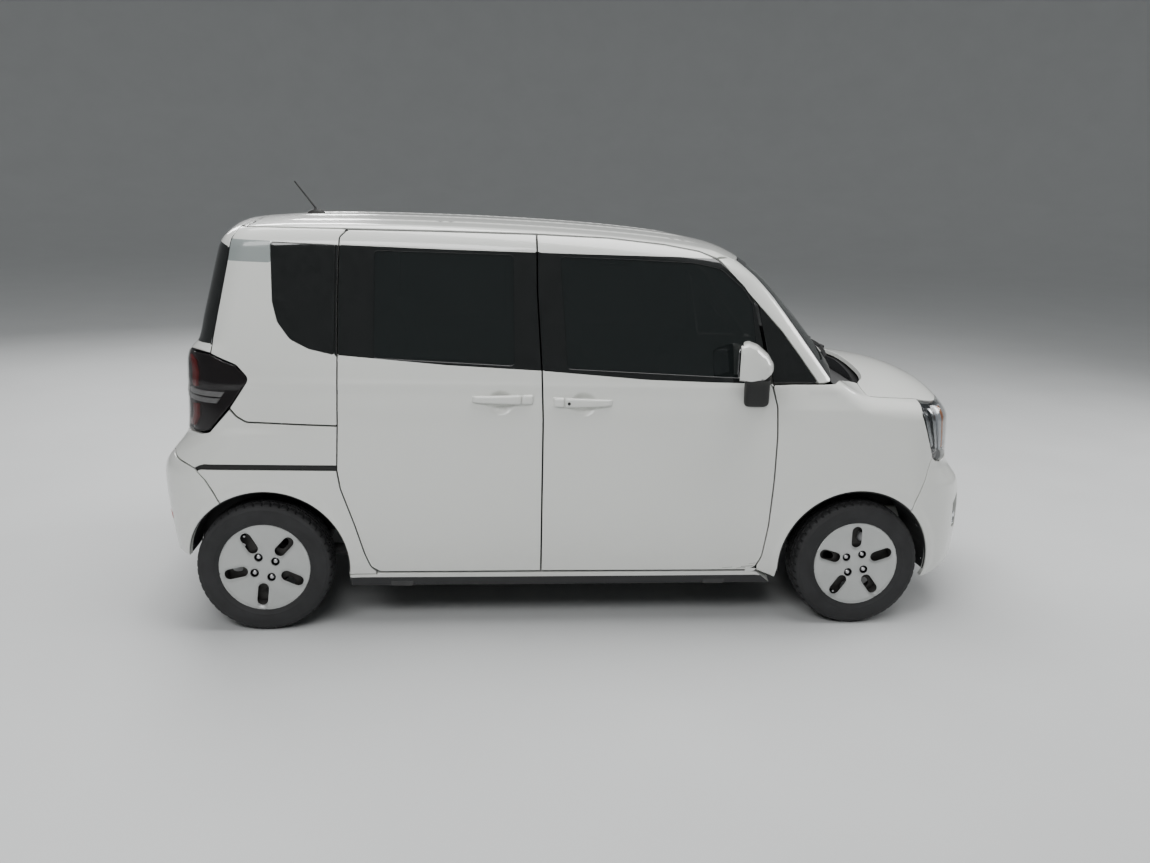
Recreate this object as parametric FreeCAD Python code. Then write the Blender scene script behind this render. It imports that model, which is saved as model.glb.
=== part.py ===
import FreeCAD, Part
import math, os

os.makedirs("parts", exist_ok=True)
V = FreeCAD.Vector

# ---------------------------------------------------------------- main sizes
# All tables are in mm, with x measured forward from the rear axle, y to the
# car's left, z up from the ground. XC moves them to the middle of the length.
XC = 1325.0
FRONT_X = 3122.5          # foremost point of the front bumper
REAR_X = -472.5           # rearmost point of the rear bumper
HALF_W = 797.5            # half of the body's width
WHEELBASE = 2520.0
AXLE_Z = 276.8            # height of the wheel centres
TRACK_Y = 710.0           # wheel centre plane, each side
TYRE_R = 276.8
TYRE_W = 165.0
RIM_R = 178.0
SHELL_T = 50.0            # whole thickness of doors and walls
GAP = 6.0                 # shut lines
LAMP_GAP = 22.0           # room for the hood's front edge, which swings forward as it lifts
ARCH_R = 337.0
PLATE_HOLES = 210.0       # distance between the two number plate screws
PLATE_HOLE_R = 3.0
GLASS_D = (4.0, 9.0)      # glass lies between these depths under the skin

# ------------------------------------------------------ loops: (a, b, radius)
SIDE = [                  # x, z, corner radius: outline seen from the side
    (-395, 215, 30), (-438, 262, 60), (-460, 430, 400), (REAR_X, 560, 200),
    (REAR_X, 650, 60), (-420, 745, 60), (-360, 826, 60), (-350, 900, 200),
    (-345, 1120, 60), (-334, 1166, 20), (-300, 1205, 60), (-254, 1424, 600),
    (-231, 1535, 400), (-212, 1625, 40), (-180, 1664, 30), (-60, 1683, 300),
    (300, 1701, 1200), (760, 1701, 1500), (1150, 1691, 1500), (1480, 1673, 900),
    (1780, 1641, 500), (1985, 1596, 160), (2112, 1510, 200), (2229, 1412, 400),
    (2450, 1160, 60), (2500, 1098, 20), (2600, 1084, 300), (2830, 1054, 300),
    (2950, 1010, 120), (3003, 945, 80), (3013, 790, 200), (3032, 700, 100),
    (3102, 622, 60), (FRONT_X, 560, 60), (FRONT_X, 400, 300), (3110, 255, 60),
    (3045, 182, 30), (2700, 176, 30), (-200, 195, 30)]
HOOD_CROWN = 0.000165     # fall of the hood to each side, per mm of y squared
SECTION = [               # y, z, corner radius: right half, then mirrored
    (700, 165, 20), (768, 185, 30), (788, 330, 300), (HALF_W + 0.2, 600, 400),
    (790, 900, 200), (776, 1045, 60), (686, 1560, 300), (664, 1630, 90),
    (560, 1683, 150), (250, 1700, 600)]
PLAN = [                  # x, y, corner radius: left half, then mirrored
    (FRONT_X + 8, 90, 1500), (3098, 420, 500), (3050, 645, 130), (2880, 815, 250),
    (-320, 815, 200), (-428, 700, 120), (-462, 400, 500), (REAR_X - 8, 90, 1500)]

SLIDE_DOOR = [            # x, z, corner radius: side outline of rear doors
    (460, 248, 20), (1139, 248, 10), (1139, 912, 300), (1127, 1113, 200),
    (1106, 1427, 200), (1104, 1652, 20), (740, 1655, 400), (330, 1655, 40),
    (319, 1560, 50), (312, 1159, 300), (305, 698, 60), (318, 610, 60),
    (370, 462, 200), (408, 332, 100)]
FRONT_DOOR = [            # x, z, corner radius: side outline of front doors
    (1149, 248, 10), (2040, 246, 60), (2100, 312, 60), (2122, 500, 300),
    (2130, 800, 200), (2122, 985, 60), (2088, 1072, 30), (2055, 1250, 300),
    (2010, 1410, 100), (1850, 1566, 80), (1640, 1618, 300), (1400, 1642, 200),
    (1114, 1652, 20), (1116, 1427, 200), (1137, 1113, 200), (1149, 912, 300)]
FRONT_DOOR_GLASS = [
    (1236, 1132, 15), (2032, 1108, 15), (2006, 1250, 200), (1968, 1404, 60),
    (1822, 1548, 40), (1600, 1578, 200), (1206, 1590, 15)]
REAR_DOOR_GLASS = [
    (460, 1160, 15), (1030, 1140, 15), (1022, 1590, 15), (466, 1592, 15)]
REAR_QUARTER_GLASS = [
    (64, 1590, 15), (296, 1584, 10), (300, 1172, 10), (205, 1196, 40),
    (136, 1232, 40), (86, 1296, 40)]
FRONT_QUARTER_GLASS = [
    (2112, 1084, 10), (2268, 1086, 10), (2128, 1262, 20), (2050, 1348, 10),
    (2078, 1250, 200)]
WINDSCREEN = [            # y, z, corner radius: outline seen from the front
    (-672, 1128, 60), (672, 1128, 60), (598, 1578, 60), (-598, 1578, 60)]
COWL = [                  # x, z: strip between hood and windscreen
    (2300, 1062, 5), (2496, 1050, 5), (2496, 1130, 5), (2440, 1135, 5), (2400, 1175, 5)]
HOOD = [                  # x, y: outline seen from above
    (2506, -705, 20), (2820, -700, 60), (2975, -500, 150), (3020, 0, 3000),
    (2975, 500, 150), (2820, 700, 60), (2506, 705, 20)]
HEADLAMP = [              # x, z: side outline of the lamp at the corner
    (2760, 1000, 20), (2990, 985, 30), (3200, 960, 10), (3200, 780, 10),
    (2960, 712, 20), (2890, 712, 20), (2835, 752, 40), (2768, 930, 40)]
HEADLAMP_Y = 455.0        # inner edge of the lamps
TAIL_LAMP = [
    (-500, 1154, 10), (-190, 1160, 20), (-83, 1118, 20), (-35, 1066, 20),
    (-108, 956, 40), (-205, 848, 20), (-500, 838, 10)]
TAIL_LAMP_Y = 612.0
REAR_BUMPER = [
    (-520, 150, 5), (-268, 150, 5), (-163, 573, 5), (-226, 660, 20), (-232, 832, 5),
    (-520, 832, 5)]
BUMPER_TOP = 655.0        # tailgate opening's lower edge
FRONT_BUMPER = [
    (2790, 150, 5), (3200, 150, 5), (3200, 985, 5), (3010, 985, 5),
    (2960, 700, 20), (2880, 700, 20), (2790, 600, 20)]
FENDER = [
    (2136, 240, 20), (2300, 240, 5), (2800, 590, 5), (2872, 705, 5),
    (2826, 748, 20), (2758, 930, 20), (2748, 1010, 10), (2748, 1200, 5),
    (2506, 1200, 5), (2506, 1048, 5), (2292, 1054, 5), (2130, 1066, 20),
    (2136, 900, 100)]
TAILGATE_UP = [           # x, z: part above the lamps, full width
    (-600, 1170, 5), (-176, 1170, 10), (-110, 1525, 100), (-85, 1612, 40),
    (-40, 1720, 5), (-600, 1720, 5)]
TAILGATE_GLASS = [        # y, z: outline seen from behind
    (-700, 1218, 30), (700, 1218, 30), (642, 1580, 40), (-642, 1580, 40)]

WHEELS = [                # name, x, side (+1 left)
    ("front_left", WHEELBASE, 1), ("front_right", WHEELBASE, -1),
    ("rear_left", 0.0, 1), ("rear_right", 0.0, -1)]


# ------------------------------------------------------------------- helpers
def rounded(pts, put):
    """closed wire of lines and arcs; put turns (a, b) into a point"""
    n = len(pts)
    ends = []
    for i in range(n):
        a0, b0 = pts[i - 1][:2]
        a, b = pts[i][:2]
        a1, b1 = pts[(i + 1) % n][:2]
        r = pts[i][2] if len(pts[i]) > 2 else 0.0
        ux, uy = a0 - a, b0 - b
        vx, vy = a1 - a, b1 - b
        lu, lv = math.hypot(ux, uy), math.hypot(vx, vy)
        ux, uy, vx, vy = ux / lu, uy / lu, vx / lv, vy / lv
        ang = math.acos(max(-1.0, min(1.0, ux * vx + uy * vy)))
        if r <= 0 or ang > math.pi - 0.004:
            ends.append(((a, b), None, (a, b)))
            continue
        cut = min(r / math.tan(ang / 2), 0.46 * lu, 0.46 * lv)
        r = cut * math.tan(ang / 2)
        hx, hy = ux + vx, uy + vy
        lh = math.hypot(hx, hy)
        mid = (r / math.sin(ang / 2) - r)
        ends.append(((a + ux * cut, b + uy * cut),
                     (a + hx / lh * mid, b + hy / lh * mid),
                     (a + vx * cut, b + vy * cut)))
    edges = []
    for i in range(n):
        p, m, q = ends[i]
        if m is not None:
            edges.append(Part.Arc(put(*p), put(*m), put(*q)).toShape())
        nxt = ends[(i + 1) % n][0]
        if math.hypot(nxt[0] - q[0], nxt[1] - q[1]) > 1e-6:
            edges.append(Part.LineSegment(put(*q), put(*nxt)).toShape())
    return Part.Wire(edges)


def solid(wire, way, grow=0.0):
    face = Part.Face(wire)
    if grow:
        face = face.makeOffset2D(grow)
    return face.extrude(way)


def side_prism(pts, y0, y1, grow=0.0):
    return solid(rounded(pts, lambda a, b: V(a, y0, b)), V(0, y1 - y0, 0), grow)


def front_prism(pts, x0, x1, grow=0.0):
    return solid(rounded(pts, lambda a, b: V(x0, a, b)), V(x1 - x0, 0, 0), grow)


def top_prism(pts, z0, z1, grow=0.0):
    return solid(rounded(pts, lambda a, b: V(a, b, z0)), V(0, 0, z1 - z0), grow)


def box(x0, x1, y0, y1, z0, z1):
    return Part.makeBox(x1 - x0, y1 - y0, z1 - z0, V(x0, y0, z0))


def rod_y(x, z, r, y0, y1):
    return Part.makeCylinder(r, y1 - y0, V(x, y0, z), V(0, 1, 0))


def tube(path, r):
    """round bars along straight lines with balls at the bends"""
    out = None
    for p, q in zip(path, path[1:]):
        p, q = V(*p), V(*q)
        s = Part.makeCylinder(r, (q - p).Length, p, q - p)
        out = s if out is None else out.fuse([s, Part.makeSphere(r, p)])
    return out.removeSplitter()


def mirror(s):
    return s.mirror(V(0, 0, 0), V(0, 1, 0))


def both(s):
    return Part.makeCompound([s, mirror(s)])


def mirrored_loop(half):
    return half + [(-a, b, r) for a, b, r in reversed(half)]


def mirrored_plan(half):
    return half + [(a, -b, r) for a, b, r in reversed(half)]


def body_at(depth):
    """the whole car's outer form, moved inwards by depth"""
    a = side_prism(SIDE, -1000, 1000, -depth)
    b = front_prism(mirrored_loop(SECTION), -700, 3400, -depth)
    c = top_prism(mirrored_plan(PLAN), 0, 1900, -depth)
    body = a.common(b).common(c)
    # the hood and the tops of the fenders fall away to the sides
    x0, z0, x1, z1 = 2506.0, 1097.0 - depth, 3200.0, 1002.0 - depth
    arc = Part.Arc(V(x0, -900, z0 - HOOD_CROWN * 810000), V(x0, 0, z0),
                   V(x0, 900, z0 - HOOD_CROWN * 810000)).toShape()
    lid = Part.Wire([arc, Part.makePolygon([V(x0, 900, z0 - HOOD_CROWN * 810000),
                                            V(x0, 900, 1400), V(x0, -900, 1400),
                                            V(x0, -900, z0 - HOOD_CROWN * 810000)])])
    return body.cut(Part.Face(lid).extrude(V(x1 - x0, 0, z1 - z0)))


def save(shape, name):
    sols = shape.Solids
    big = max(s.Volume for s in sols)
    sols = [s for s in sols if s.Volume > 0.002 * big]
    s = sols[0] if len(sols) == 1 else Part.makeCompound(sols)
    s = s.copy()
    s.translate(V(-XC, 0, 0))
    s.exportStep("parts/%s.step" % name)
    bb = s.BoundBox
    print("%-22s solids %d faces %3d valid %s  x %.0f %.0f y %.0f %.0f z %.0f %.0f" % (
        name, len(sols), len(s.Faces), s.isValid(), bb.XMin, bb.XMax, bb.YMin,
        bb.YMax, bb.ZMin, bb.ZMax))


# ---------------------------------------------------------------- body layers
OUTER = body_at(0.0)
INNER = body_at(SHELL_T)
LAYER = OUTER.cut(INNER)
PANE = body_at(GLASS_D[0]).cut(body_at(GLASS_D[1]))
ARCHES = [rod_y(x, AXLE_Z, ARCH_R, *((430, 900) if s > 0 else (-900, -430)))
          for _, x, s in WHEELS]
R_SIDE, L_SIDE = (-1000, -590), (590, 1000)


def layer_cut(*tools):
    return LAYER.common(tools[0]) if len(tools) == 1 else LAYER.common(
        tools[0].common(tools[1]))


# ---------------------------------------------------------------------- doors
def handle(x0, x1, z, s):
    """bar handle standing off the skin on two feet"""
    y0 = 770.0
    bar = box(x0, x1, 806, 822, z - 14, z + 14)
    feet = box(x0, x0 + 30, y0, 810, z - 12, z + 12).fuse(
        box(x1 - 30, x1, y0, 810, z - 12, z + 12))
    h = bar.fuse(feet)
    return h if s > 0 else mirror(h)


def mirror_arm(s):
    """outside mirror: foot on the door's corner, arm and housing"""
    arm = box(1985, 2060, 735, 850, 1000, 1045)
    neck = box(1985, 2050, 840, 880, 1000, 1075)
    head = box(1950, 2075, 815, 985, 1065, 1225)
    m = arm.fuse([neck, head]).removeSplitter()
    return m if s > 0 else mirror(m)


def door(outline, glass, s, span, handle_at, mirror_on):
    d = layer_cut(side_prism(outline, *span))
    d = d.cut(side_prism(glass, *span))
    d = max(d.Solids, key=lambda q: q.Volume)
    cx, cz = (handle_at[0] + handle_at[1]) / 2, handle_at[2]
    cup = Part.makeSphere(62, V(cx, s * 832, cz))
    d = d.cut(cup)
    d = d.fuse(handle(*handle_at, s))
    if mirror_on:
        d = d.fuse(mirror_arm(s))
    pane = PANE.common(side_prism(glass, *span))
    return d, pane


for name, outline, glass, s, hnd, mir in [
        # name, side outline, window, side, handle x0 x1 z, carries a mirror
        ("front_right_door", FRONT_DOOR, FRONT_DOOR_GLASS, -1, (1179, 1409, 986), True),
        ("front_left_door", FRONT_DOOR, FRONT_DOOR_GLASS, 1, (1179, 1409, 986), True),
        ("sliding_door", SLIDE_DOOR, REAR_DOOR_GLASS, -1, (862, 1097, 1000), False),
        ("rear_left_door", SLIDE_DOOR, REAR_DOOR_GLASS, 1, (352, 587, 1000), False)]:
    d, pane = door(outline, glass, s, L_SIDE if s > 0 else R_SIDE, hnd, mir)
    save(d, name)
    save(pane, name + "_glass")

# ---------------------------------------------------- outer panels, each side
def arched(s):
    return s.cut(Part.makeCompound(ARCHES))


def hood_block(grow):
    """the hood's outline from above, deeper behind the nose"""
    top = top_prism(HOOD, 955 - grow, 1210, grow)
    deep = top_prism(HOOD, 860, 960, grow).common(
        box(2400, 2838 + 1.8 * grow, -800, 800, 850, 970))
    return top.fuse(deep)


hood_tool = hood_block(0.0)
hood = LAYER.common(hood_tool).cut(side_prism(COWL, -1000, 1000, GAP))
hood = max(hood.Solids, key=lambda q: q.Volume)
save(hood, "hood")

lamp_tools = []
for s, nm in ((1, "left"), (-1, "right")):
    span = (HEADLAMP_Y, 1000) if s > 0 else (-1000, -HEADLAMP_Y)
    t = side_prism(HEADLAMP, *span)
    g = side_prism(HEADLAMP, span[0] - GAP, span[1] + GAP, GAP)
    lamp_tools.append(g)
    save(LAYER.common(t).cut(hood_block(LAMP_GAP)), "headlamp_" + nm)
tail_tools = []
for s, nm in ((1, "left"), (-1, "right")):
    span = (TAIL_LAMP_Y, 1000) if s > 0 else (-1000, -TAIL_LAMP_Y)
    t = side_prism(TAIL_LAMP, *span)
    tail_tools.append(side_prism(TAIL_LAMP, span[0] - GAP, span[1] + GAP, GAP))
    save(LAYER.common(t), "tail_lamp_" + nm)
LAMPS = Part.makeCompound(lamp_tools + tail_tools)

HOOD_GAP = hood_block(GAP + 2.0)
COWL_GAP = side_prism(COWL, -1000, 1000, GAP)
front_bumper = arched(LAYER.common(side_prism(FRONT_BUMPER, -1000, 1000)))
for t in lamp_tools + [HOOD_GAP]:
    front_bumper = front_bumper.cut(t)
front_bumper = front_bumper.cut(box(3000, 3300, -470, 470, 250, 420))
front_bumper = front_bumper.fuse([box(3040, 3085, -472, 472, z, z + 14)
                                  for z in (285, 330, 375)])
front_bumper = front_bumper.fuse(box(3070, 3119, -265, 265, 440, 550))
for y0 in (-PLATE_HOLES / 2, PLATE_HOLES / 2):
    front_bumper = front_bumper.cut(Part.makeCylinder(PLATE_HOLE_R, 20, V(3100, y0, 495), V(1, 0, 0)))
save(front_bumper, "front_bumper")

fender = LAYER.common(side_prism(FENDER, 560, 1000))
for t in lamp_tools + [HOOD_GAP, COWL_GAP, side_prism(FRONT_BUMPER, -1000, 1000, GAP),
                       side_prism(FRONT_DOOR, -1000, 1000, GAP)]:
    fender = fender.cut(t)
fender = arched(fender)
fender = max(fender.Solids, key=lambda q: q.Volume)
save(fender, "front_left_fender")
save(mirror(fender), "front_right_fender")

bump_tool = side_prism(REAR_BUMPER, -1000, 1000)
low_gate = box(-600, -250, -TAIL_LAMP_Y + 12, TAIL_LAMP_Y - 12, 851, 1172)
low_gate_gap = box(-600, -250, -TAIL_LAMP_Y, TAIL_LAMP_Y, BUMPER_TOP - GAP, 1172)
rear_bumper = arched(LAYER.common(bump_tool)).cut(low_gate_gap)
for t in tail_tools:
    rear_bumper = rear_bumper.cut(t)
rear_bumper = max(rear_bumper.Solids, key=lambda q: q.Volume)
rear_bumper = rear_bumper.cut(box(-412, 0, -700, 700, 100, 600))
shelf = box(-450, -330, -TAIL_LAMP_Y, TAIL_LAMP_Y, BUMPER_TOP - GAP - 30, BUMPER_TOP - GAP)
rear_bumper = rear_bumper.fuse(shelf.common(OUTER)).removeSplitter()
save(rear_bumper, "rear_bumper")

gate_tool = side_prism(TAILGATE_UP, -1000, 1000)
panel = box(-366, -316, -TAIL_LAMP_Y + 12, TAIL_LAMP_Y - 12, BUMPER_TOP, 875)
gate = LAYER.common(gate_tool).fuse([LAYER.common(low_gate), panel]).removeSplitter()
gate_glass_tool = front_prism(TAILGATE_GLASS, -700, -60)
gate = gate.cut(gate_glass_tool)
gate = gate.cut(box(-600, -341, -275, 275, 700, 850))
for y0 in (-PLATE_HOLES / 2, PLATE_HOLES / 2):
    gate = gate.cut(Part.makeCylinder(PLATE_HOLE_R, 16, V(-342, y0, 775), V(1, 0, 0)))
save(gate, "tailgate")
save(PANE.common(gate_glass_tool).common(gate_tool), "tailgate_glass")

cowl = LAYER.common(side_prism(COWL, -1000, 1000)).cut(box(2200, 2600, -1000, -690, 900, 1300))
cowl = cowl.cut(box(2200, 2600, 690, 1000, 900, 1300))
cowl = max(cowl.Solids, key=lambda q: q.Volume)
save(cowl, "cowl_panel")

screen_tool = front_prism(WINDSCREEN, 1880, 2470)
save(PANE.common(screen_tool).cut(COWL_GAP), "windscreen")

# ----------------------------------------------------------------- body shell
shell = LAYER
shell = shell.cut(box(-700, 3400, -1000, 1000, 0, 190))
cuts = [side_prism(FRONT_DOOR, -1000, 1000, GAP),
        side_prism(SLIDE_DOOR, -1000, 1000, GAP),
        box(2470, 3400, -1000, 1000, 0, 1900),
        side_prism(FENDER, -1000, 1000, GAP), COWL_GAP, screen_tool,
        side_prism(TAILGATE_UP, -1000, 1000, GAP), low_gate_gap,
        side_prism(REAR_BUMPER, -1000, 1000, GAP),
        side_prism(REAR_QUARTER_GLASS, -1000, 1000),
        side_prism(FRONT_QUARTER_GLASS, -1000, 1000),
        box(-700, 3400, -690, 690, 0, 600)] + tail_tools
for c in cuts:
    shell = shell.cut(c)
shell = arched(shell)
rail = box(-222, 297, -792, -777, 697, 717)
shell = shell.cut(box(-228, 299, -1000, -775, 694, 720))
post = body_at(SHELL_T + 8).cut(body_at(SHELL_T + 48)).common(
    box(1080, 1200, 500, 900, 200, 1640)).cut(box(1000, 1300, 400, 692, 0, 400))
pads = [box(x - 45, x + 45, y0 - 20, y0 + 20, 180, 200)
        for x in (560, 1900) for y0 in (-733, 733)]
shell = shell.fuse(pads + [post, box(1080, 1200, 692, 770, 196, 238),
                    box(1080, 1200, 692, 719, 230, 266),
                    box(1080, 1200, 480, 580, 1560, 1680).common(body_at(10))])
mast = tube([(142, 0, 1690), (142, 0, 1712), (40, 0, 1835)], 4)
shell = shell.fuse([mast, Part.makeCone(26, 14, 26, V(142, 0, 1690), V(0, 0, 1))])
save(shell, "body_shell")
save(rail, "slide_rail")
quarters = PANE.common(side_prism(REAR_QUARTER_GLASS, 300, 1000)).fuse(
    PANE.common(side_prism(FRONT_QUARTER_GLASS, 300, 1000)))
save(both(quarters), "fixed_side_windows")

# ------------------------------------------------- floor, arches, engine bay
floor = box(400, 2200, -684, 684, 262, 290)
floor = floor.fuse([box(2170, 2200, -684, 684, 262, 900),
                    box(-330, 430, -684, 684, 402, 430), box(400, 430, -684, 684, 262, 430)])
wells = [rod_y(x, AXLE_Z, ARCH_R + 22, *((440, 900) if s > 0 else (-900, -440)))
         for _, x, s in WHEELS]
floor = floor.cut(Part.makeCompound(wells))
floor = floor.common(body_at(SHELL_T + GAP))
rails = [box(2190, 2930, y0, y0 + 50, 300, 380) for y0 in (-440, 390)]
floor = floor.fuse(rails + [box(2900, 2940, -620, 620, 290, 400)])
save(floor.removeSplitter(), "floor_pan")

liners = []
for _, x, s in WHEELS:
    y0, y1 = (446, 742) if s > 0 else (-742, -446)
    ring = rod_y(x, AXLE_Z, ARCH_R + 14, y0, y1).cut(rod_y(x, AXLE_Z, ARCH_R + 8, y0, y1))
    wall = rod_y(x, AXLE_Z, ARCH_R + 14, *((446, 450) if s > 0 else (-450, -446)))
    one = ring.fuse(wall).cut(box(x - 400, x + 400, -900, 900, -100, 330))
    one = one.cut(rod_y(x, AXLE_Z, 120, -900, 900))
    liners.append(one.common(body_at(SHELL_T + GAP)))
save(Part.makeCompound(liners), "wheel_arch_liners")

# ---------------------------------------------------------------- below, bay
engine = box(2350, 2780, -330, 330, 300, 720).fuse(box(2420, 2600, -380, 380, AXLE_Z - 70, AXLE_Z + 60))
engine = engine.fuse([rod_y(WHEELBASE, AXLE_Z, 18, 370, 560), rod_y(WHEELBASE, AXLE_Z, 18, -560, -370)])
save(engine, "engine_and_gearbox")
sub = box(2330, 2400, -420, 420, 205, 250).fuse(box(2640, 2710, -420, 420, 205, 250))
for y0 in (-420, 340):
    sub = sub.fuse(box(2330, 2710, y0, y0 + 80, 205, 250))
arm = top_prism([(2340, 415, 5), (2400, 415, 5), (2500, 530, 5), (2540, 530, 5),
                 (2640, 415, 5), (2700, 415, 5), (2550, 588, 20), (2490, 588, 20)], 180, 205)
sub = sub.cut(box(2415, 2625, -390, 390, 150, 260))
sub = sub.fuse([arm, mirror(arm), box(2335, 2395, -425, 425, 195, 210),
                box(2645, 2705, -425, 425, 195, 210)])
save(sub.removeSplitter(), "front_subframe")
axle = box(150, 220, -520, 520, 255, 320)
for s in (1, -1):
    a = box(-40, 392, 520, 570, 250, 310) if s > 0 else box(-40, 392, -570, -520, 250, 310)
    axle = axle.fuse([a, rod_y(0, AXLE_Z, 60, *((540, 640) if s > 0 else (-640, -540))),
                      Part.makeCylinder(38, 96, V(-10, s * 497, 300), V(0, 0, 1))])
save(axle.removeSplitter(), "rear_axle")
save(box(480, 1000, -520, 140, 190, 256), "fuel_tank")
pipe = tube([(2230, -60, 226), (1150, -60, 226), (1050, 250, 226), (480, 300, 226),
             (180, 300, 214), (-60, 330, 230), (-140, 330, 270)], 24)
muffler = box(-330, -120, 110, 420, 215, 330).fuse(
    tube([(-300, 380, 250), (-372, 380, 250), (-385, 380, 205)], 20))
save(pipe.fuse(muffler).removeSplitter(), "exhaust")

# ------------------------------------------------------------------- cabin
dash = side_prism([(2140, 640, 20), (2150, 1035, 30), (2080, 1062, 40), (1985, 1040, 50),
                   (1950, 900, 50), (2010, 700, 60), (2060, 640, 20)], -655, 655)
dash = dash.fuse(box(1900, 2100, -110, 110, 560, 800))
column = tube([(2060, 340, 880), (1868, 340, 948)], 26)
save(dash.fuse(column).common(body_at(SHELL_T + 12)), "dashboard")
tilt = V(-0.942, 0, 0.335)
hub = Part.makeTorus(180, 15, V(1838, 340, 960), tilt)
hub = hub.fuse(Part.makeCylinder(45, 40, V(1826, 340, 964), V(0.942, 0, -0.335)))
for a in (0, 180, 270):
    c = Part.makeCylinder(11, 172, V(0, 0, 0), V(math.cos(math.radians(a)), math.sin(math.radians(a)), 0))
    c.rotate(V(0, 0, 0), V(0, 0, 1), 90)
    c.rotate(V(0, 0, 0), V(0, 1, 0), -70.4)
    c.translate(V(1840, 340, 959))
    hub = hub.fuse(c)
save(hub.removeSplitter(), "steering_wheel")


def seat(x, y0, y1, h):
    cushion = box(x, x + 500, y0, y1, 470, 640)
    back = side_prism([(x + 20, 600, 30), (x + 140, 600, 30), (x + 20, h, 40), (x - 90, h, 40)], y0, y1)
    m = (y0 + y1) / 2
    head = side_prism([(x - 95, h + 40, 30), (x + 15, h + 40, 30), (x, h + 210, 40), (x - 100, h + 210, 40)], m - 130, m + 130)
    posts = box(x - 60, x - 46, m - 60, m - 46, h - 40, h + 60).fuse(box(x - 60, x - 46, m + 46, m + 60, h - 40, h + 60))
    base = box(x + 40, x + 460, y0 + 40, y1 - 40, 290, 475)
    return cushion.fuse([back, head, posts, base]).removeSplitter()


save(Part.makeCompound([seat(1330, 105, 600, 1130), seat(1330, -600, -105, 1130)]), "front_seats")
bench = box(560, 1060, -600, 600, 470, 640).fuse([
    side_prism([(580, 600, 0), (700, 600, 0), (580, 1090, 0), (470, 1090, 0)], -600, 600),
    box(600, 1020, -560, 560, 290, 475)])
for y0 in (-434, 174):
    bench = bench.fuse(side_prism([(500, 1080, 0), (570, 1080, 0), (560, 1290, 0), (465, 1290, 0)],
                                  y0, y0 + 260))
save(bench.removeSplitter(), "rear_seat")

# ------------------------------------------------------------------- wheels
def turned(rz, x, s):
    """rz: table of radius, distance outwards from the wheel's centre plane"""
    pts = [V(r, s * t, 0) for r, t in rz]
    f = Part.Face(Part.makePolygon(pts + [pts[0]]))
    r = f.revolve(V(0, 0, 0), V(0, 1, 0), 360)
    r.translate(V(x, s * TRACK_Y, AXLE_Z))
    return r


TYRE = [(RIM_R, -68), (RIM_R + 14, -78), (230, -82.5), (260, -79), (274, -62), (TYRE_R, -50),
        (TYRE_R, 50), (274, 62), (260, 79), (230, 82.5), (RIM_R + 14, 78), (RIM_R, 68)]
RIM = [(RIM_R, -68), (RIM_R, 68), (170, 66), (168, 58), (150, 52), (60, 56), (54, 52), (30, 48), (30, 36),
       (60, 40), (148, 38), (160, 30), (160, -60), (170, -66)]
for name, x, s in WHEELS:
    save(turned(TYRE, x, s), name + "_tyre")
    rim = turned(RIM, x, s)
    for k in range(5):
        a = math.radians(90 + 72 * k + (36 if x < 100 else 0))
        c = Part.makeCylinder(20, 80, V(x + 118 * math.cos(a), s * (TRACK_Y + 30) - 40, AXLE_Z + 118 * math.sin(a)), V(0, 1, 0))
        rim = rim.cut(c)
    save(rim, name + "_rim")

KING_Y = 680.0
for name, s in (("left", 1), ("right", -1)):
    k = rod_y(WHEELBASE, AXLE_Z, 70, 640, 700).fuse(rod_y(WHEELBASE, AXLE_Z, 24, 690, 738))
    k = k.fuse(box(2485, 2555, 600, 650, 215, 390)).fuse(rod_y(WHEELBASE, AXLE_Z, 118, 655, 668))
    k = k.fuse(tube([(WHEELBASE, 612, 340), (WHEELBASE, 575, 600)], 26))
    k = k.cut(rod_y(WHEELBASE, AXLE_Z, 26, 500, 640))
    save(k if s > 0 else mirror(k), "front_%s_knuckle" % name)
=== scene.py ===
import math
import random

import bpy
import bmesh
import numpy as np
from mathutils import Vector, Matrix
from mathutils.geometry import delaunay_2d_cdt


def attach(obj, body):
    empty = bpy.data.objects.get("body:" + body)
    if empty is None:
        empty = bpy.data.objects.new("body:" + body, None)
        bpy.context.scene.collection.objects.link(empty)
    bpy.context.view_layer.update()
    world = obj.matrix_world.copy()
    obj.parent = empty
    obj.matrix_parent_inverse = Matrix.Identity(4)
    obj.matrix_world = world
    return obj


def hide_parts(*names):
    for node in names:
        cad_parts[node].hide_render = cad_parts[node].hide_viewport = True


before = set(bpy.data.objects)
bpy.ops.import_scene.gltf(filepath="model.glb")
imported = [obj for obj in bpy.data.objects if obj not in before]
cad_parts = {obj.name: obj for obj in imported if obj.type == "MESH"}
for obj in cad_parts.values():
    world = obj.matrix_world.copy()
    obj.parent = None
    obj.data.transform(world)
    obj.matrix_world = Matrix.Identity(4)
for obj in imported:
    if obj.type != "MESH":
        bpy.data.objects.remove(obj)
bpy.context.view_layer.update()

# ------------------------------------------------------------------ helpers
XC = 1325.0          # the tables below are in mm, x forward from the rear axle


def M(p):
    """mm from the rear axle on the ground -> metres in the row frame"""
    p = np.asarray(p, float)
    out = p / 1000.0
    out[..., 0] = (p[..., 0] - XC) / 1000.0
    return out


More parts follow.
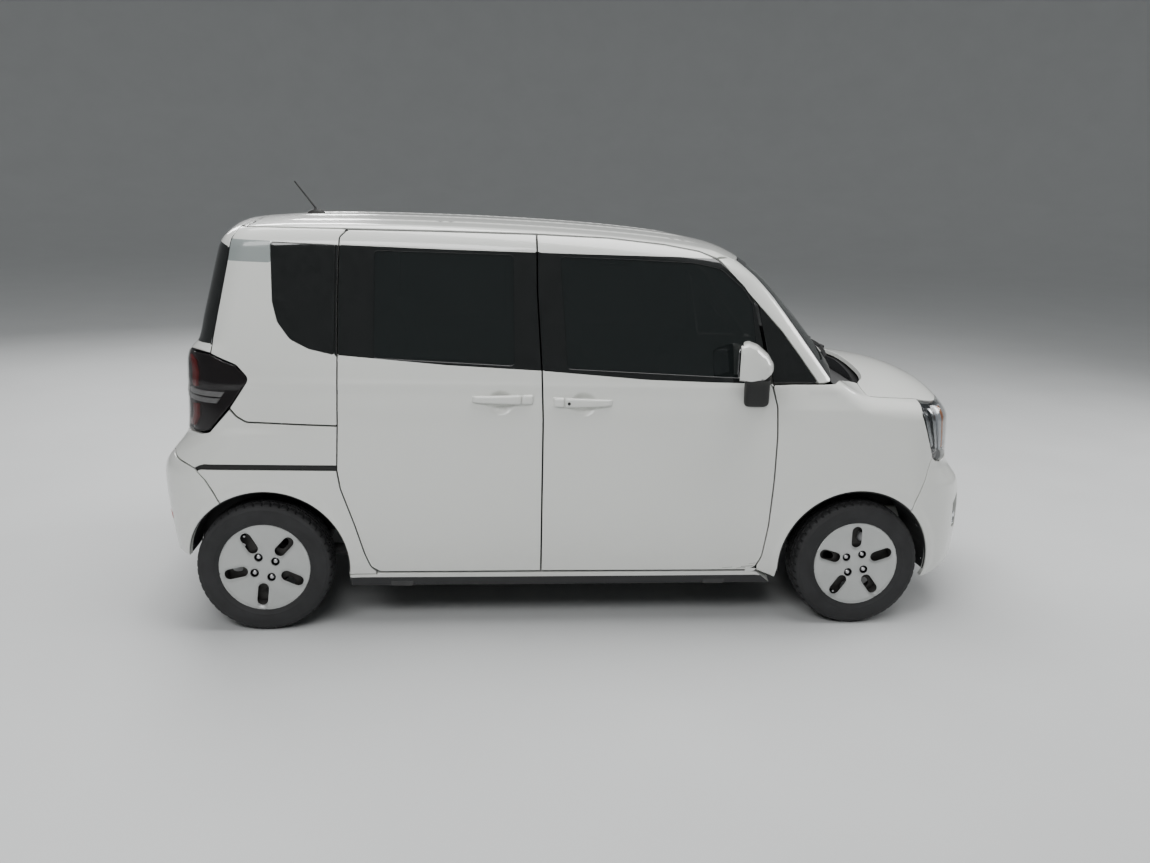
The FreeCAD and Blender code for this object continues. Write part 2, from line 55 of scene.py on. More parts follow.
def pchip(table, col=1):
    xs = np.array([r[0] for r in table], float)
    ys = np.array([r[col] for r in table], float)
    h = np.diff(xs)
    d = np.diff(ys) / h
    m = np.zeros(len(xs))
    m[0], m[-1] = d[0], d[-1]
    for i in range(1, len(xs) - 1):
        if d[i - 1] * d[i] > 0:
            w1, w2 = 2 * h[i] + h[i - 1], h[i] + 2 * h[i - 1]
            m[i] = (w1 + w2) / (w1 / d[i - 1] + w2 / d[i])

    def f(x):
        x = np.clip(x, xs[0], xs[-1])
        i = np.clip(np.searchsorted(xs, x) - 1, 0, len(xs) - 2)
        t = (x - xs[i]) / h[i]
        t2, t3 = t * t, t * t * t
        return ((2 * t3 - 3 * t2 + 1) * ys[i] + (t3 - 2 * t2 + t) * h[i] * m[i]
                + (-2 * t3 + 3 * t2) * ys[i + 1] + (t3 - t2) * h[i] * m[i + 1])
    return f


def rmin(a, b, r):
    """intersection of two distances with a round edge of radius r"""
    u, v = np.maximum(r - a, 0), np.maximum(r - b, 0)
    return np.where((u > 0) & (v > 0), r - np.hypot(u, v), np.minimum(a, b))


# ------------------------------------------------------------- body surface
LOOPS = [  # z, front x, rear x, half width, front bow, front corner, rear bow, rear corner
    (140, 2985, -372, 728, 60, 190, 40, 185),
    (190, 3062, -405, 750, 60, 205, 42, 190),
    (250, 3106, -430, 766, 60, 222, 45, 195),
    (340, 3119, -447, 778, 62, 230, 46, 200),
    (430, 3122, -459, 785, 64, 232, 47, 200),
    (540, 3121, -470, 790, 66, 232, 47, 200),
    (610, 3110, -474, 792, 68, 230, 47, 200),
    (655, 3078, -472, 792, 68, 222, 46, 198),
    (700, 3040, -456, 792, 66, 212, 45, 192),
    (747, 3022, -420, 791, 64, 204, 44, 186),
    (790, 3014, -384, 790, 62, 198, 43, 180),
    (830, 3011, -360, 789, 62, 194, 42, 175),
    (900, 3007, -351, 786, 64, 188, 40, 170),
    (950, 3002, -349, 782, 66, 180, 40, 165),
    (1000, 2992, -348, 775, 70, 172, 40, 160),
    (1060, 2980, -347, 768, 74, 165, 40, 155),
    (1112, 2975, -345, 760, 74, 160, 40, 150),
    (1160, 2975, -336, 751, 74, 160, 42, 142),
    (1205, 2975, -300, 743, 74, 160, 44, 134),
    (1300, 2975, -280, 725, 74, 160, 46, 128),
    (1424, 2975, -254, 701, 74, 160, 48, 124),
    (1535, 2975, -231, 680, 74, 160, 50, 120),
    (1600, 2975, -214, 667, 74, 160, 50, 115),
    (1660, 2975, -196, 653, 74, 160, 50, 110),
    (1720, 2975, -180, 640, 74, 160, 50, 110)]
F_X, R_X, HALF, F_BOW, F_COR, R_BOW, R_COR = [pchip(LOOPS, c) for c in range(1, 8)]
SCREEN = pchip([(1040, 2552), (1112, 2494), (1205, 2419), (1320, 2323), (1424, 2229),
                (1500, 2154), (1560, 2088), (1620, 2010), (1700, 1880), (1760, 1740)])
ROOF = pchip([(-420, 1600), (-300, 1640), (-232, 1657), (-150, 1671), (-60, 1682),
              (110, 1695), (477, 1702), (764, 1700), (1083, 1692), (1418, 1676),
              (1731, 1648), (1900, 1620), (2050, 1580), (2150, 1540), (2300, 1460)])
HOOD = pchip([(2300, 1112), (2400, 1104), (2484, 1096), (2592, 1084), (2700, 1073),
              (2820, 1056), (2900, 1036), (2960, 1010), (3010, 972), (3060, 900)])
ARCHES = ((0.0, 276.8), (2520.0, 276.8))


HAUNCH = pchip([(-480, 640), (-400, 690), (-330, 735), (-215, 800), (-90, 832), (310, 836)])
CUPS = {-1: ((1308, 979), (967, 982)), 1: ((1308, 979), (474, 984))}


def step(t):
    t = np.clip(t, 0, 1)
    return t * t * (3 - 2 * t)


def soft(t, e):
    return 0.5 * (t + np.sqrt(t * t + e * e))


def relief(x, ys, z):
    """how far the side is drawn in: haunch line, fender shoulder, handle cups"""
    d = 9.0 * step((z - HAUNCH(x)) / 46.0) * (1 - step((z - 960) / 220.0)) * (1 - step((x + 60) / 300.0))
    d = d + (0.150 * (soft(z - 960.0, 6) - soft(z - 1058.0, 10)) * step((x - 2128) / 50.0)
             * (1 - step((z - 1085) / 140.0)))
    for sg in (-1, 1):
        for cx, cz in CUPS[sg]:
            r = np.hypot((x - cx) / 61.0, (z - cz) / 55.0)
            d = d + 23.0 * (1 - step((r - 0.22) / 0.78)) * (ys * sg > 0)
    # bright facet under the headlamp's outer corner
    s_ = (x - 2832) * 0.788 + (z - 751) * 0.616
    d = d + 12.0 * step(s_ / 26.0) * step((z - 560) / 110.0) * (1 - step((z - 735) / 40.0)) * (x > 2600)
    return d


def half_width(x, z):
    w = HALF(z) - 9.0 * np.abs((x - 1300.0) / 1500.0) ** 3
    # a soft shoulder under the windows and a tucked-in foot of the doors
    w = w + 2.5 * np.exp(-((z - 1046.0) / 16.0) ** 2)
    for ax, az in ARCHES:
        r = np.hypot(x - ax, z - az)
        w = w + 7.5 * np.exp(-(np.maximum(r - 344.0, 0) / 20.0) ** 2)
    return w


def car(p, part="all"):
    """> 0 inside the body's outer skin"""
    x, y, z = p[..., 0], np.abs(p[..., 1]), p[..., 2]
    side = half_width(x, z) - relief(x, p[..., 1], z) - y
    hw = HALF(z)
    fb, rb = F_BOW(z), R_BOW(z)
    rear = x - R_X(z) - rb * (y / (hw - R_COR(z))) ** 2
    low = None
    if part != "cabin":
        front = F_X(z) - fb * (y / (hw - F_COR(z))) ** 2 - x
        low = rmin(side, front, F_COR(z))
        top = HOOD(x) - 0.000165 * y ** 2 * step((x - 2310) / 230.0) - z
        low = rmin(low, top, 58.0)
        low = rmin(low, rear, R_COR(z))
    cab = None
    if part != "nose":
        screen = (SCREEN(z) - 128.0 * (y / 640.0) ** 2 - x) * 0.76
        roof = ROOF(x) - 24.0 * (y / 560.0) ** 2 - z
        roof = roof + (3.6 * (np.exp(-((y - 430.0) / 15.0) ** 2) + np.exp(-((y - 190.0) / 15.0) ** 2))
                       * step((x - 70) / 90.0) * (1 - step((x - 1730) / 110.0)))
        cab = rmin(side, screen, 58.0)
        cab = rmin(cab, rear, R_COR(z))
        cab = rmin(cab, roof, 74.0)
    if low is None:
        return cab
    if cab is None:
        return low
    return np.maximum(low, cab)


def grad(p, part="all", e=0.6):
    g = np.zeros_like(p)
    for k in range(3):
        d = np.zeros(3)
        d[k] = e
        g[..., k] = car(p + d, part) - car(p - d, part)
    n = -g
    return n / np.maximum(np.linalg.norm(n, axis=-1, keepdims=True), 1e-9)


def hit(o, d, part="all", far=1500.0, n=90):
    """first point of the skin along each ray"""
    o, d = np.asarray(o, float), np.asarray(d, float)
    d = d / np.linalg.norm(d, axis=-1, keepdims=True)
    lo = np.zeros(len(o))
    hi = np.full(len(o), far)
    found = np.zeros(len(o), bool)

    last = 0.0
    for t in np.linspace(0, far, n + 1)[1:]:
        left_ = np.where(~found)[0]
        if not len(left_):
            break
        new = left_[car(o[left_] + d[left_] * t, part) > 0]
        hi[new] = t
        lo[new] = last
        found[new] = True
        last = t
    for _ in range(15):
        mid = (lo + hi) / 2
        v = car(o + d * mid[:, None], part) > 0
        hi = np.where(v, mid, hi)
        lo = np.where(v, lo, mid)
    return o + d * hi[:, None]


# ------------------------------------------------------------------- charts
class Side:
    def __init__(self, s, part="all"):
        self.s, self.part = s, part

    def rays(self, uv):
        n = len(uv)
        o = np.stack([uv[:, 0], np.full(n, self.s * 1100.0), uv[:, 1]], 1)
        return o, np.tile([0.0, -self.s, 0.0], (n, 1))

    def uv(self, p):
        return np.stack([p[:, 0], p[:, 2]], 1)


class Top:
    def __init__(self, part="all"):
        self.part = part

    def rays(self, uv):
        n = len(uv)
        o = np.stack([uv[:, 0], uv[:, 1], np.full(n, 2000.0)], 1)
        return o, np.tile([0.0, 0.0, -1.0], (n, 1))

    def uv(self, p):
        return p[:, :2].copy()


class Look:
    """rays from outside towards a point far inside: c is the point, ax the way out"""

    def __init__(self, c, ax, scale=1000.0, part="all"):
        self.c, self.ax, self.k, self.part = np.array(c, float), ax, scale, part

    def rays(self, uv):
        n = len(uv)
        one = np.full(n, 1.0)
        if self.ax[0]:
            d = np.stack([self.ax[0] * one, uv[:, 0] / self.k, uv[:, 1] / self.k], 1)
        else:
            d = np.stack([uv[:, 0] / self.k, self.ax[1] * one, uv[:, 1] / self.k], 1)
        ln = np.linalg.norm(d, axis=1, keepdims=True)
        d = d / ln
        return self.c + d * 2380.0, -d

    def uv(self, p):
        q = p - self.c
        if self.ax[0]:
            dd = q[:, 0] * self.ax[0]
            return np.stack([q[:, 1] / dd * self.k, q[:, 2] / dd * self.k], 1)
        dd = q[:, 1] * self.ax[1]
        return np.stack([q[:, 0] / dd * self.k, q[:, 2] / dd * self.k], 1)


class Column:
    """rays level, towards an upright line at (x, y); u is the arc at radius R"""

    def __init__(self, x, y, R, face, part="all"):
        self.x, self.y, self.R, self.face, self.part = x, y, R, face, part

    def rays(self, uv):
        a = uv[:, 0] / self.R
        d = np.stack([self.face * np.cos(a), np.sin(a), np.zeros(len(a))], 1)
        c = np.stack([np.full(len(a), self.x), np.full(len(a), self.y), uv[:, 1]], 1)
        return c + d * 1400.0, -d

    def uv(self, p):
        a = np.arctan2(p[:, 1] - self.y, (p[:, 0] - self.x) * self.face)
        return np.stack([a * self.R, p[:, 2]], 1)


class Spine:
    """rays square to a line along x at (y, z); v is the arc at radius R"""

    def __init__(self, y, z, R, s, part="all"):
        self.y, self.z, self.R, self.s, self.part = y, z, R, s, part

    def rays(self, uv):
        a = uv[:, 1] / self.R
        d = np.stack([np.zeros(len(a)), self.s * np.cos(a), np.sin(a)], 1)
        c = np.stack([uv[:, 0], np.full(len(a), self.s * self.y), np.full(len(a), self.z)], 1)
        return c + d * 1100.0, -d

    def uv(self, p):
        a = np.arctan2(p[:, 2] - self.z, (p[:, 1] - self.s * self.y) * self.s)
        return np.stack([p[:, 0], a * self.R], 1)


def on_side(pts, s, part="all"):
    a = np.array([q[:2] for q in pts], float)
    c = Side(s, part)
    o, d = c.rays(a)
    return hit(o, d, part)


def on_top(pts, part="all"):
    a = np.array([q[:2] for q in pts], float)
    o, d = Top(part).rays(a)
    return hit(o, d, part)


def dense(pts, step=10.0, closed=True):
    out = []
    n = len(pts)
    for i in range(n if closed else n - 1):
        a, b = np.array(pts[i], float), np.array(pts[(i + 1) % n], float)
        k = max(1, int(math.ceil(np.linalg.norm(b - a) / step)))
        for j in range(k):
            out.append(a + (b - a) * j / k)
    if not closed:
        out.append(np.array(pts[-1], float))
    return out


def rounded(pts, step=4.0):
    """(a, b, radius) corners -> polyline with arcs, anticlockwise or as given"""
    out = []
    n = len(pts)
    for i in range(n):
        p0 = np.array(pts[i - 1][:2], float)
        p = np.array(pts[i][:2], float)
        p1 = np.array(pts[(i + 1) % n][:2], float)
        r = pts[i][2] if len(pts[i]) > 2 else 0
        u, v = p0 - p, p1 - p
        lu, lv = np.linalg.norm(u), np.linalg.norm(v)
        u, v = u / lu, v / lv
        ang = math.acos(max(-1, min(1, float(u @ v))))
        if r <= 0 or ang > math.pi - 0.01:
            out.append(p)
            continue
        cut = min(r / math.tan(ang / 2), 0.48 * lu, 0.48 * lv)
        rr = cut * math.tan(ang / 2)
        h = (u + v) / np.linalg.norm(u + v)
        c = p + h * rr / math.sin(ang / 2)
        a0, a1 = p + u * cut - c, p + v * cut - c
        t0 = math.atan2(a0[1], a0[0])
        t1 = math.atan2(a1[1], a1[0])
        dt = (t1 - t0 + math.pi) % (2 * math.pi) - math.pi
        k = max(2, int(abs(dt) * rr / step), int(abs(dt) / 0.2))
        for j in range(k + 1):
            t = t0 + dt * j / k
            out.append(c + rr * np.array([math.cos(t), math.sin(t)]))
    return out


def area2(p):
    p = np.asarray(p)
    x, y = p[:, 0], p[:, 1]
    return float(np.sum(x * np.roll(y, -1) - np.roll(x, -1) * y) / 2)


def inset(poly, e):
    """each point moved e to the left of the way round (inwards if anticlockwise)"""
    p = np.asarray(poly, float)
    a = p - np.roll(p, 1, 0)
    b = np.roll(p, -1, 0) - p
    a /= np.maximum(np.linalg.norm(a, axis=1, keepdims=True), 1e-9)
    b /= np.maximum(np.linalg.norm(b, axis=1, keepdims=True), 1e-9)
    na = np.stack([-a[:, 1], a[:, 0]], 1)
    nb = np.stack([-b[:, 1], b[:, 0]], 1)
    m = na + nb
    ln = np.linalg.norm(m, axis=1, keepdims=True)
    m = m / np.maximum(ln, 1e-6)
    cosh = np.clip(np.sum(m * na, 1, keepdims=True), 0.5, 1)
    return p + m * e / cosh


def clean(poly, tol=0.8):
    out = [poly[0]]
    for q in poly[1:]:
        if np.linalg.norm(np.asarray(q) - out[-1]) > tol:
            out.append(q)
    if np.linalg.norm(np.asarray(out[0]) - out[-1]) < tol:
        out.pop()
    return np.array(out, float)


def inside(poly, pts):
    poly, pts = np.asarray(poly), np.asarray(pts)
    x, y = pts[:, 0], pts[:, 1]
    res = np.zeros(len(pts), bool)
    j = len(poly) - 1
    for i in range(len(poly)):
        xi, yi = poly[i]
        xj, yj = poly[j]
        if yi != yj:
            c = ((yi > y) != (yj > y)) & (x < (xj - xi) * (y - yi) / (yj - yi) + xi)
            res ^= c
        j = i
    return res


def edge_dist(poly, pts):
    poly = np.asarray(poly)
    best = np.full(len(pts), 1e9)
    for i in range(len(poly)):
        a, b = poly[i], poly[(i + 1) % len(poly)]
        ab = b - a
        t = np.clip(((pts - a) @ ab) / max(float(ab @ ab), 1e-9), 0, 1)
        d = np.hypot(*(pts - (a + t[:, None] * ab)).T)
        best = np.minimum(best, d)
    return best


# ---------------------------------------------------------------- materials
MATS = {}


def node_tree(name):
    m = bpy.data.materials.new(name)
    m.use_nodes = True
    nt = m.node_tree
    nt.nodes.clear()
    out = nt.nodes.new("ShaderNodeOutputMaterial")
    b = nt.nodes.new("ShaderNodeBsdfPrincipled")
    nt.links.new(b.outputs[0], out.inputs[0])
    MATS[name] = m
    return m, nt, b


def noise(nt, scale, detail=3.0, rough=0.55, stretch=(1, 1, 1)):
    tc = nt.nodes.new("ShaderNodeTexCoord")
    mp = nt.nodes.new("ShaderNodeMapping")
    mp.inputs["Scale"].default_value = stretch
    nt.links.new(tc.outputs["Object"], mp.inputs["Vector"])
    n = nt.nodes.new("ShaderNodeTexNoise")
    n.inputs["Scale"].default_value = scale
    n.inputs["Detail"].default_value = detail
    n.inputs["Roughness"].default_value = rough
    nt.links.new(mp.outputs[0], n.inputs["Vector"])
    return n, tc


def ramp(nt, src, a, b, ca, cb):
    r = nt.nodes.new("ShaderNodeValToRGB")
    r.color_ramp.elements[0].position = a
    r.color_ramp.elements[1].position = b
    r.color_ramp.elements[0].color = (*ca, 1)
    r.color_ramp.elements[1].color = (*cb, 1)
    nt.links.new(src, r.inputs[0])
    return r


def plain(name, col, rough, metal=0.0, spot=0.12, scale=30.0, bump=0.0, coat=0.0,
          spec=0.5, rvar=0.08, emit=None):
    """a procedural finish: colour and roughness both wander a little"""
    m, nt, b = node_tree(name)
    n, tc = noise(nt, scale)
    lo = tuple(max(0, c * (1 - spot)) for c in col)
    hi = tuple(min(1, c * (1 + spot)) for c in col)
    r = ramp(nt, n.outputs[0], 0.3, 0.7, lo, hi)
    nt.links.new(r.outputs[0], b.inputs["Base Color"])
    mr = nt.nodes.new("ShaderNodeMapRange")
    mr.inputs["To Min"].default_value = max(0.02, rough - rvar)
    mr.inputs["To Max"].default_value = min(1, rough + rvar)
    nt.links.new(n.outputs[0], mr.inputs["Value"])
    nt.links.new(mr.outputs[0], b.inputs["Roughness"])
    b.inputs["Metallic"].default_value = metal
    b.inputs["Specular IOR Level"].default_value = spec
    if coat:
        b.inputs["Coat Weight"].default_value = coat
        b.inputs["Coat Roughness"].default_value = 0.04
    if bump:
        n2, _ = noise(nt, scale * 12, 2.0)
        bp = nt.nodes.new("ShaderNodeBump")
        bp.inputs["Strength"].default_value = bump
        bp.inputs["Distance"].default_value = 0.001
        nt.links.new(n2.outputs[0], bp.inputs["Height"])
        nt.links.new(bp.outputs[0], b.inputs["Normal"])
    if emit:
        b.inputs["Emission Color"].default_value = (*emit[:3], 1)
        b.inputs["Emission Strength"].default_value = emit[3]
    return m


def paint(name, col=(0.80, 0.81, 0.775)):
    """white enamel with clear coat, a patchy brownish darkening towards the bottom and fine scuffs"""
    m, nt, b = node_tree(name)
    n, tc = noise(nt, 2.2, 4.0)
    r = ramp(nt, n.outputs[0], 0.35, 0.65, tuple(c * 0.985 for c in col), col)
    # a patchy brownish darkening from 0.52 m down to 0.20 m above the ground
    sep = nt.nodes.new("ShaderNodeSeparateXYZ")
    nt.links.new(tc.outputs["Object"], sep.inputs[0])
    low = nt.nodes.new("ShaderNodeMapRange")
    low.inputs["From Min"].default_value = 0.20
    low.inputs["From Max"].default_value = 0.52
    low.inputs["To Min"].default_value = 1.0
    low.inputs["To Max"].default_value = 0.0
    nt.links.new(sep.outputs["Z"], low.inputs["Value"])
    n2, _ = noise(nt, 9.0, 6.0, 0.7)
    mul = nt.nodes.new("ShaderNodeMath")
    mul.operation = "MULTIPLY"
    nt.links.new(low.outputs[0], mul.inputs[0])
    nt.links.new(n2.outputs[0], mul.inputs[1])
    mul2 = nt.nodes.new("ShaderNodeMath")
    mul2.operation = "MULTIPLY"
    mul2.inputs[1].default_value = 0.22
    nt.links.new(mul.outputs[0], mul2.inputs[0])
    mix = nt.nodes.new("ShaderNodeMix")
    mix.data_type = "RGBA"
    nt.links.new(mul2.outputs[0], mix.inputs["Factor"])
    nt.links.new(r.outputs[0], mix.inputs[6])
    mix.inputs[7].default_value = (0.33, 0.31, 0.27, 1)
    nt.links.new(mix.outputs[2], b.inputs["Base Color"])
    rr = nt.nodes.new("ShaderNodeMapRange")
    rr.inputs["To Min"].default_value = 0.24
    rr.inputs["To Max"].default_value = 0.40
    nt.links.new(n2.outputs[0], rr.inputs["Value"])
    nt.links.new(rr.outputs[0], b.inputs["Roughness"])
    b.inputs["Coat Weight"].default_value = 1.0
    b.inputs["Coat Roughness"].default_value = 0.035
    n3, _ = noise(nt, 420.0, 1.0)
    bp = nt.nodes.new("ShaderNodeBump")
    bp.inputs["Strength"].default_value = 0.02
    bp.inputs["Distance"].default_value = 0.0006
    nt.links.new(n3.outputs[0], bp.inputs["Height"])
    nt.links.new(bp.outputs[0], b.inputs["Coat Normal"])
    return m


def glassy(name, col, alpha, rough=0.02):
    m, nt, b = node_tree(name)
    n, tc = noise(nt, 5.0)
    r = ramp(nt, n.outputs[0], 0.3, 0.7, tuple(c * 0.9 for c in col), col)
    nt.links.new(r.outputs[0], b.inputs["Base Color"])
    b.inputs["Roughness"].default_value = rough
    b.inputs["Specular IOR Level"].default_value = 0.6
    b.inputs["Coat Weight"].default_value = 0.6
    b.inputs["Alpha"].default_value = alpha
    return m


PAINT = paint("white_paint")
# darker copy of the white paint for panel walls, panel backs and the engine bay: its duller finish is real, its darker
# colour is painted shade
PAINT_IN_SHADE = plain("white_paint_inside_painted_shade", (0.62, 0.63, 0.60), 0.45, spot=0.03, scale=4)
INSERT = plain("grey_insert", (0.30, 0.335, 0.33), 0.30, spot=0.02, scale=4, coat=0.6)
GLASS = glassy("dark_glass", (0.012, 0.015, 0.015), 0.86)
SCREEN_GLASS = glassy("screen_glass", (0.02, 0.028, 0.026), 0.62)
BAND = plain("black_gloss_band", (0.010, 0.011, 0.011), 0.10, spot=0.2, coat=0.8)
FRIT = plain("black_frit", (0.008, 0.008, 0.008), 0.16, spot=0.2)
RUBBER = plain("black_rubber", (0.012, 0.012, 0.012), 0.62, spot=0.25, bump=0.1)
PLASTIC = plain("black_grained_plastic", (0.022, 0.022, 0.023), 0.55, spot=0.15, bump=0.35)
GLOSSBLK = plain("black_gloss_plastic", (0.010, 0.010, 0.011), 0.12, spot=0.15, coat=0.5)
TYRE = plain("tyre_rubber", (0.020, 0.020, 0.021), 0.72, spot=0.3, bump=0.25, scale=14)
SILVER = plain("wheel_silver", (0.50, 0.51, 0.50), 0.36, metal=0.55, spot=0.05, scale=12)
DARKMETAL = plain("dark_metal", (0.06, 0.058, 0.055), 0.55, metal=0.6, spot=0.4, scale=18, bump=0.2)
CHROME = plain("bright_trim", (0.80, 0.82, 0.84), 0.10, metal=1.0, spot=0.04)
BOLT = plain("zinc_bolt", (0.55, 0.55, 0.56), 0.30, metal=1.0, spot=0.1)
UNDER = plain("underbody_coat", (0.045, 0.045, 0.045), 0.75, spot=0.35, scale=8, bump=0.5)
CAST = plain("engine_casting", (0.33, 0.33, 0.34), 0.55, metal=0.7, spot=0.2, scale=22, bump=0.4)
CLOTH = plain("seat_cloth", (0.055, 0.056, 0.060), 0.92, spot=0.25, scale=60, bump=0.6)
CLOTH2 = plain("seat_insert_cloth", (0.10, 0.10, 0.105), 0.95, spot=0.3, scale=90, bump=0.7)
CARPET = plain("carpet", (0.030, 0.030, 0.032), 0.98, spot=0.4, scale=120, bump=0.8)
TRIM = plain("cabin_trim", (0.050, 0.050, 0.053), 0.62, spot=0.1, scale=24, bump=0.3)
TRIM2 = plain("cabin_trim_light", (0.22, 0.215, 0.205), 0.70, spot=0.06, scale=24, bump=0.2)
HEADLINER = plain("headliner", (0.42, 0.41, 0.39), 0.95, spot=0.06, scale=70, bump=0.3)
RED = plain("tail_red", (0.42, 0.012, 0.010), 0.14, spot=0.15, coat=1.0)
AMBER = plain("amber", (0.75, 0.22, 0.02), 0.16, spot=0.12, coat=1.0)
LENSGREY = plain("lamp_grey", (0.66, 0.66, 0.66), 0.35, spot=0.1, coat=0.6)
LED = plain("lamp_white", (0.80, 0.84, 0.90), 0.15, metal=0.2, spot=0.04, coat=1.0)
LENS = glassy("lamp_clear", (0.05, 0.055, 0.06), 0.24, 0.02)
SMOKE = glassy("lamp_smoked", (0.016, 0.012, 0.013), 0.34, 0.02)
SCUFF = plain("scuff", (0.16, 0.155, 0.145), 0.7, spot=0.3, scale=60)
PLATE = plain("blank_plate", (0.72, 0.73, 0.71), 0.40, spot=0.03, scale=10)
SCREENDARK = plain("display_dark", (0.006, 0.007, 0.009), 0.08, spot=0.1, coat=0.5)


# ------------------------------------------------------------- mesh building
def make(name, verts, faces, mats, idx=None, normals=None, metres=False, smooth=True):
    me = bpy.data.meshes.new(name)
    v = np.asarray(verts, float)
    if not metres:
        v = M(v)
    me.from_pydata([tuple(p) for p in v], [], [tuple(int(i) for i in f) for f in faces])
    for m in mats:
        me.materials.append(m)
    if idx is not None:
        me.polygons.foreach_set("material_index", np.asarray(idx, np.int32))
    me.polygons.foreach_set("use_smooth", np.full(len(me.polygons), smooth))
    me.update()
    if normals is not None:
        ln = []
        for f in normals:
            ln.extend(f)
        me.normals_split_custom_set([tuple(q) for q in ln])
    ob = bpy.data.objects.new(name, me)
    bpy.context.scene.collection.objects.link(ob)
    return ob


def panel(name, chart, outline, body, replaces=None, holes=(), grid=17.0, rim=22.0,
          edge=2.2, mats=None, zones=(), back=True, back_dir=None, lift=0.0,
          gap=0.0, extra=(), back_mat=None):
    """a pressed panel cut from the skin: rolled edge, side walls and a back face.
    outline and holes are closed lines in the chart; zones are (line, material no.)"""
    mats = mats or [PAINT, PAINT_IN_SHADE]
    part = chart.part
    out = np.asarray(outline, float)
    if area2(out) < 0:
        out = out[::-1]
    loops = [clean(list(out))]
    for h in holes:
        h = np.asarray(h, float)
        if area2(h) > 0:
            h = h[::-1]
        loops.append(clean(list(h)))
    outer = [inset(l, gap) if gap else l for l in loops]
    inner = [inset(l, edge) for l in outer]
    V2, E2 = [], []
    ring_ids = []
    for l in inner:
        base = len(V2)
        V2.extend(l)
        n = len(l)
        E2.extend((base + i, base + (i + 1) % n) for i in range(n))
        ring_ids.append(np.arange(base, base + n))
    for z, _ in zones:
        z = np.asarray(z, float)
        keep = inside(inner[0], z)
        for h in inner[1:]:
            keep &= ~inside(h, z)
        base = len(V2)
        ids = {}
        for i, q in enumerate(z):
            if keep[i]:
                ids[i] = len(V2)
                V2.append(q)
        n = len(z)
        E2.extend((ids[i], ids[(i + 1) % n]) for i in range(n) if i in ids and (i + 1) % n in ids)
    allp = np.array(V2)
    lo, hi = inner[0].min(0), inner[0].max(0)
    gx, gy = np.meshgrid(np.arange(lo[0] + grid / 2, hi[0], grid),
                         np.arange(lo[1] + grid / 2, hi[1], grid))
    gx[1::2] += grid / 2
    g = np.stack([gx.ravel(), gy.ravel()], 1)
    ok = inside(inner[0], g) & (edge_dist(inner[0], g) > grid * 0.45)
    for h in inner[1:]:
        ok &= ~inside(h, g)
        near = edge_dist(h, g) > grid * 0.45
        ok &= near
    g = g[ok]
    if len(extra):
        ex = np.asarray(extra, float)
        ok = inside(inner[0], ex) & (edge_dist(inner[0], ex) > 4.5)
        for h in inner[1:]:
            ok &= ~inside(h, ex) & (edge_dist(h, ex) > 4.5)
        ex = ex[ok]
        if len(ex):
            far_ = np.array([np.min(np.abs(ex - q).sum(1)) > grid * 0.6 for q in g])
            g = np.vstack([g[far_], ex])
    for z, _ in zones:
        g = g[edge_dist(np.asarray(z, float), g) > min(grid * 0.35, 5)]
    V2 = [Vector(q) for q in allp] + [Vector(q) for q in g]
    rv, _, rf, ov, _, _ = delaunay_2d_cdt(V2, E2, [], 0, 1e-4)
    rv = np.array([tuple(q) for q in rv])
    back_of = {}
    for i, src in enumerate(ov):
        for s_ in src:
            back_of[s_] = i
    cen = np.array([np.mean([rv[i] for i in f], axis=0) for f in rf])
    ok = inside(inner[0], cen)
    for h in inner[1:]:
        ok &= ~inside(h, cen)
    tris = [f for f, k in zip(rf, ok) if k]
    cen = cen[ok]
    zone = np.zeros(len(tris), int)
    for z, mi in zones:
        zone[inside(z, cen)] = mi
    o, d = chart.rays(rv)
    S = hit(o, d, part)
    N = grad(S, part)
    if lift:
        S = S + N * lift
    verts = list(S)
    faces, idx, nrm = [], [], []
    for f, zi in zip(tris, zone):
        f = list(f)
        a, b, c = S[f[0]], S[f[1]], S[f[2]]
        if np.dot(np.cross(b - a, c - a), N[f[0]] + N[f[1]] + N[f[2]]) < 0:
            f = f[::-1]
        faces.append(f)
        idx.append(zi)
        nrm.append([N[i] for i in f])
    ntri = len(faces)
    # rolled edge, wall
    bd = np.array(back_dir, float) if back_dir is not None else None
    # the walls and back take the last material, on most panels the inside paint darkened as painted shade
    wall_mi = len(mats) - 1 if back_mat is None else back_mat
    ring_back = {}
    for ids, ol in zip(ring_ids, outer):
        ids = np.array([back_of[i] for i in ids])
        o, d = chart.rays(ol)
        P = hit(o, d, part)
        NP = grad(P, part)
        if lift:
            P = P + NP * lift
        n = len(ids)
        Pi, Ni = S[ids], N[ids]
        outw = P - Pi
        ln = np.linalg.norm(outw, axis=1, keepdims=True)
        outw = outw / np.maximum(ln, 1e-6)
        e = np.minimum(ln, edge * 2.5)
        rings = [ids]
        rn = [Ni]
        for t in (0.5, 1.0):
            a = t * math.pi / 2
            q = Pi + (P - Pi) * math.sin(a) - Ni * e * (1 - math.cos(a))
            base = len(verts)
            verts.extend(q)
            rings.append(np.arange(base, base + n))
            w = Ni * math.cos(a) + outw * math.sin(a)
            rn.append(w / np.linalg.norm(w, axis=1, keepdims=True))
        if bd is None:
            q = verts[rings[-1][0]:rings[-1][0] + n] - Ni * (rim - e)
        else:
            q = np.array(verts[rings[-1][0]:rings[-1][0] + n]) + bd * (rim - e)
        base = len(verts)
        verts.extend(q)
        rings.append(np.arange(base, base + n))
        rn.append(outw)
        ring_back.update({int(i): int(base + k) for k, i in enumerate(ids)})
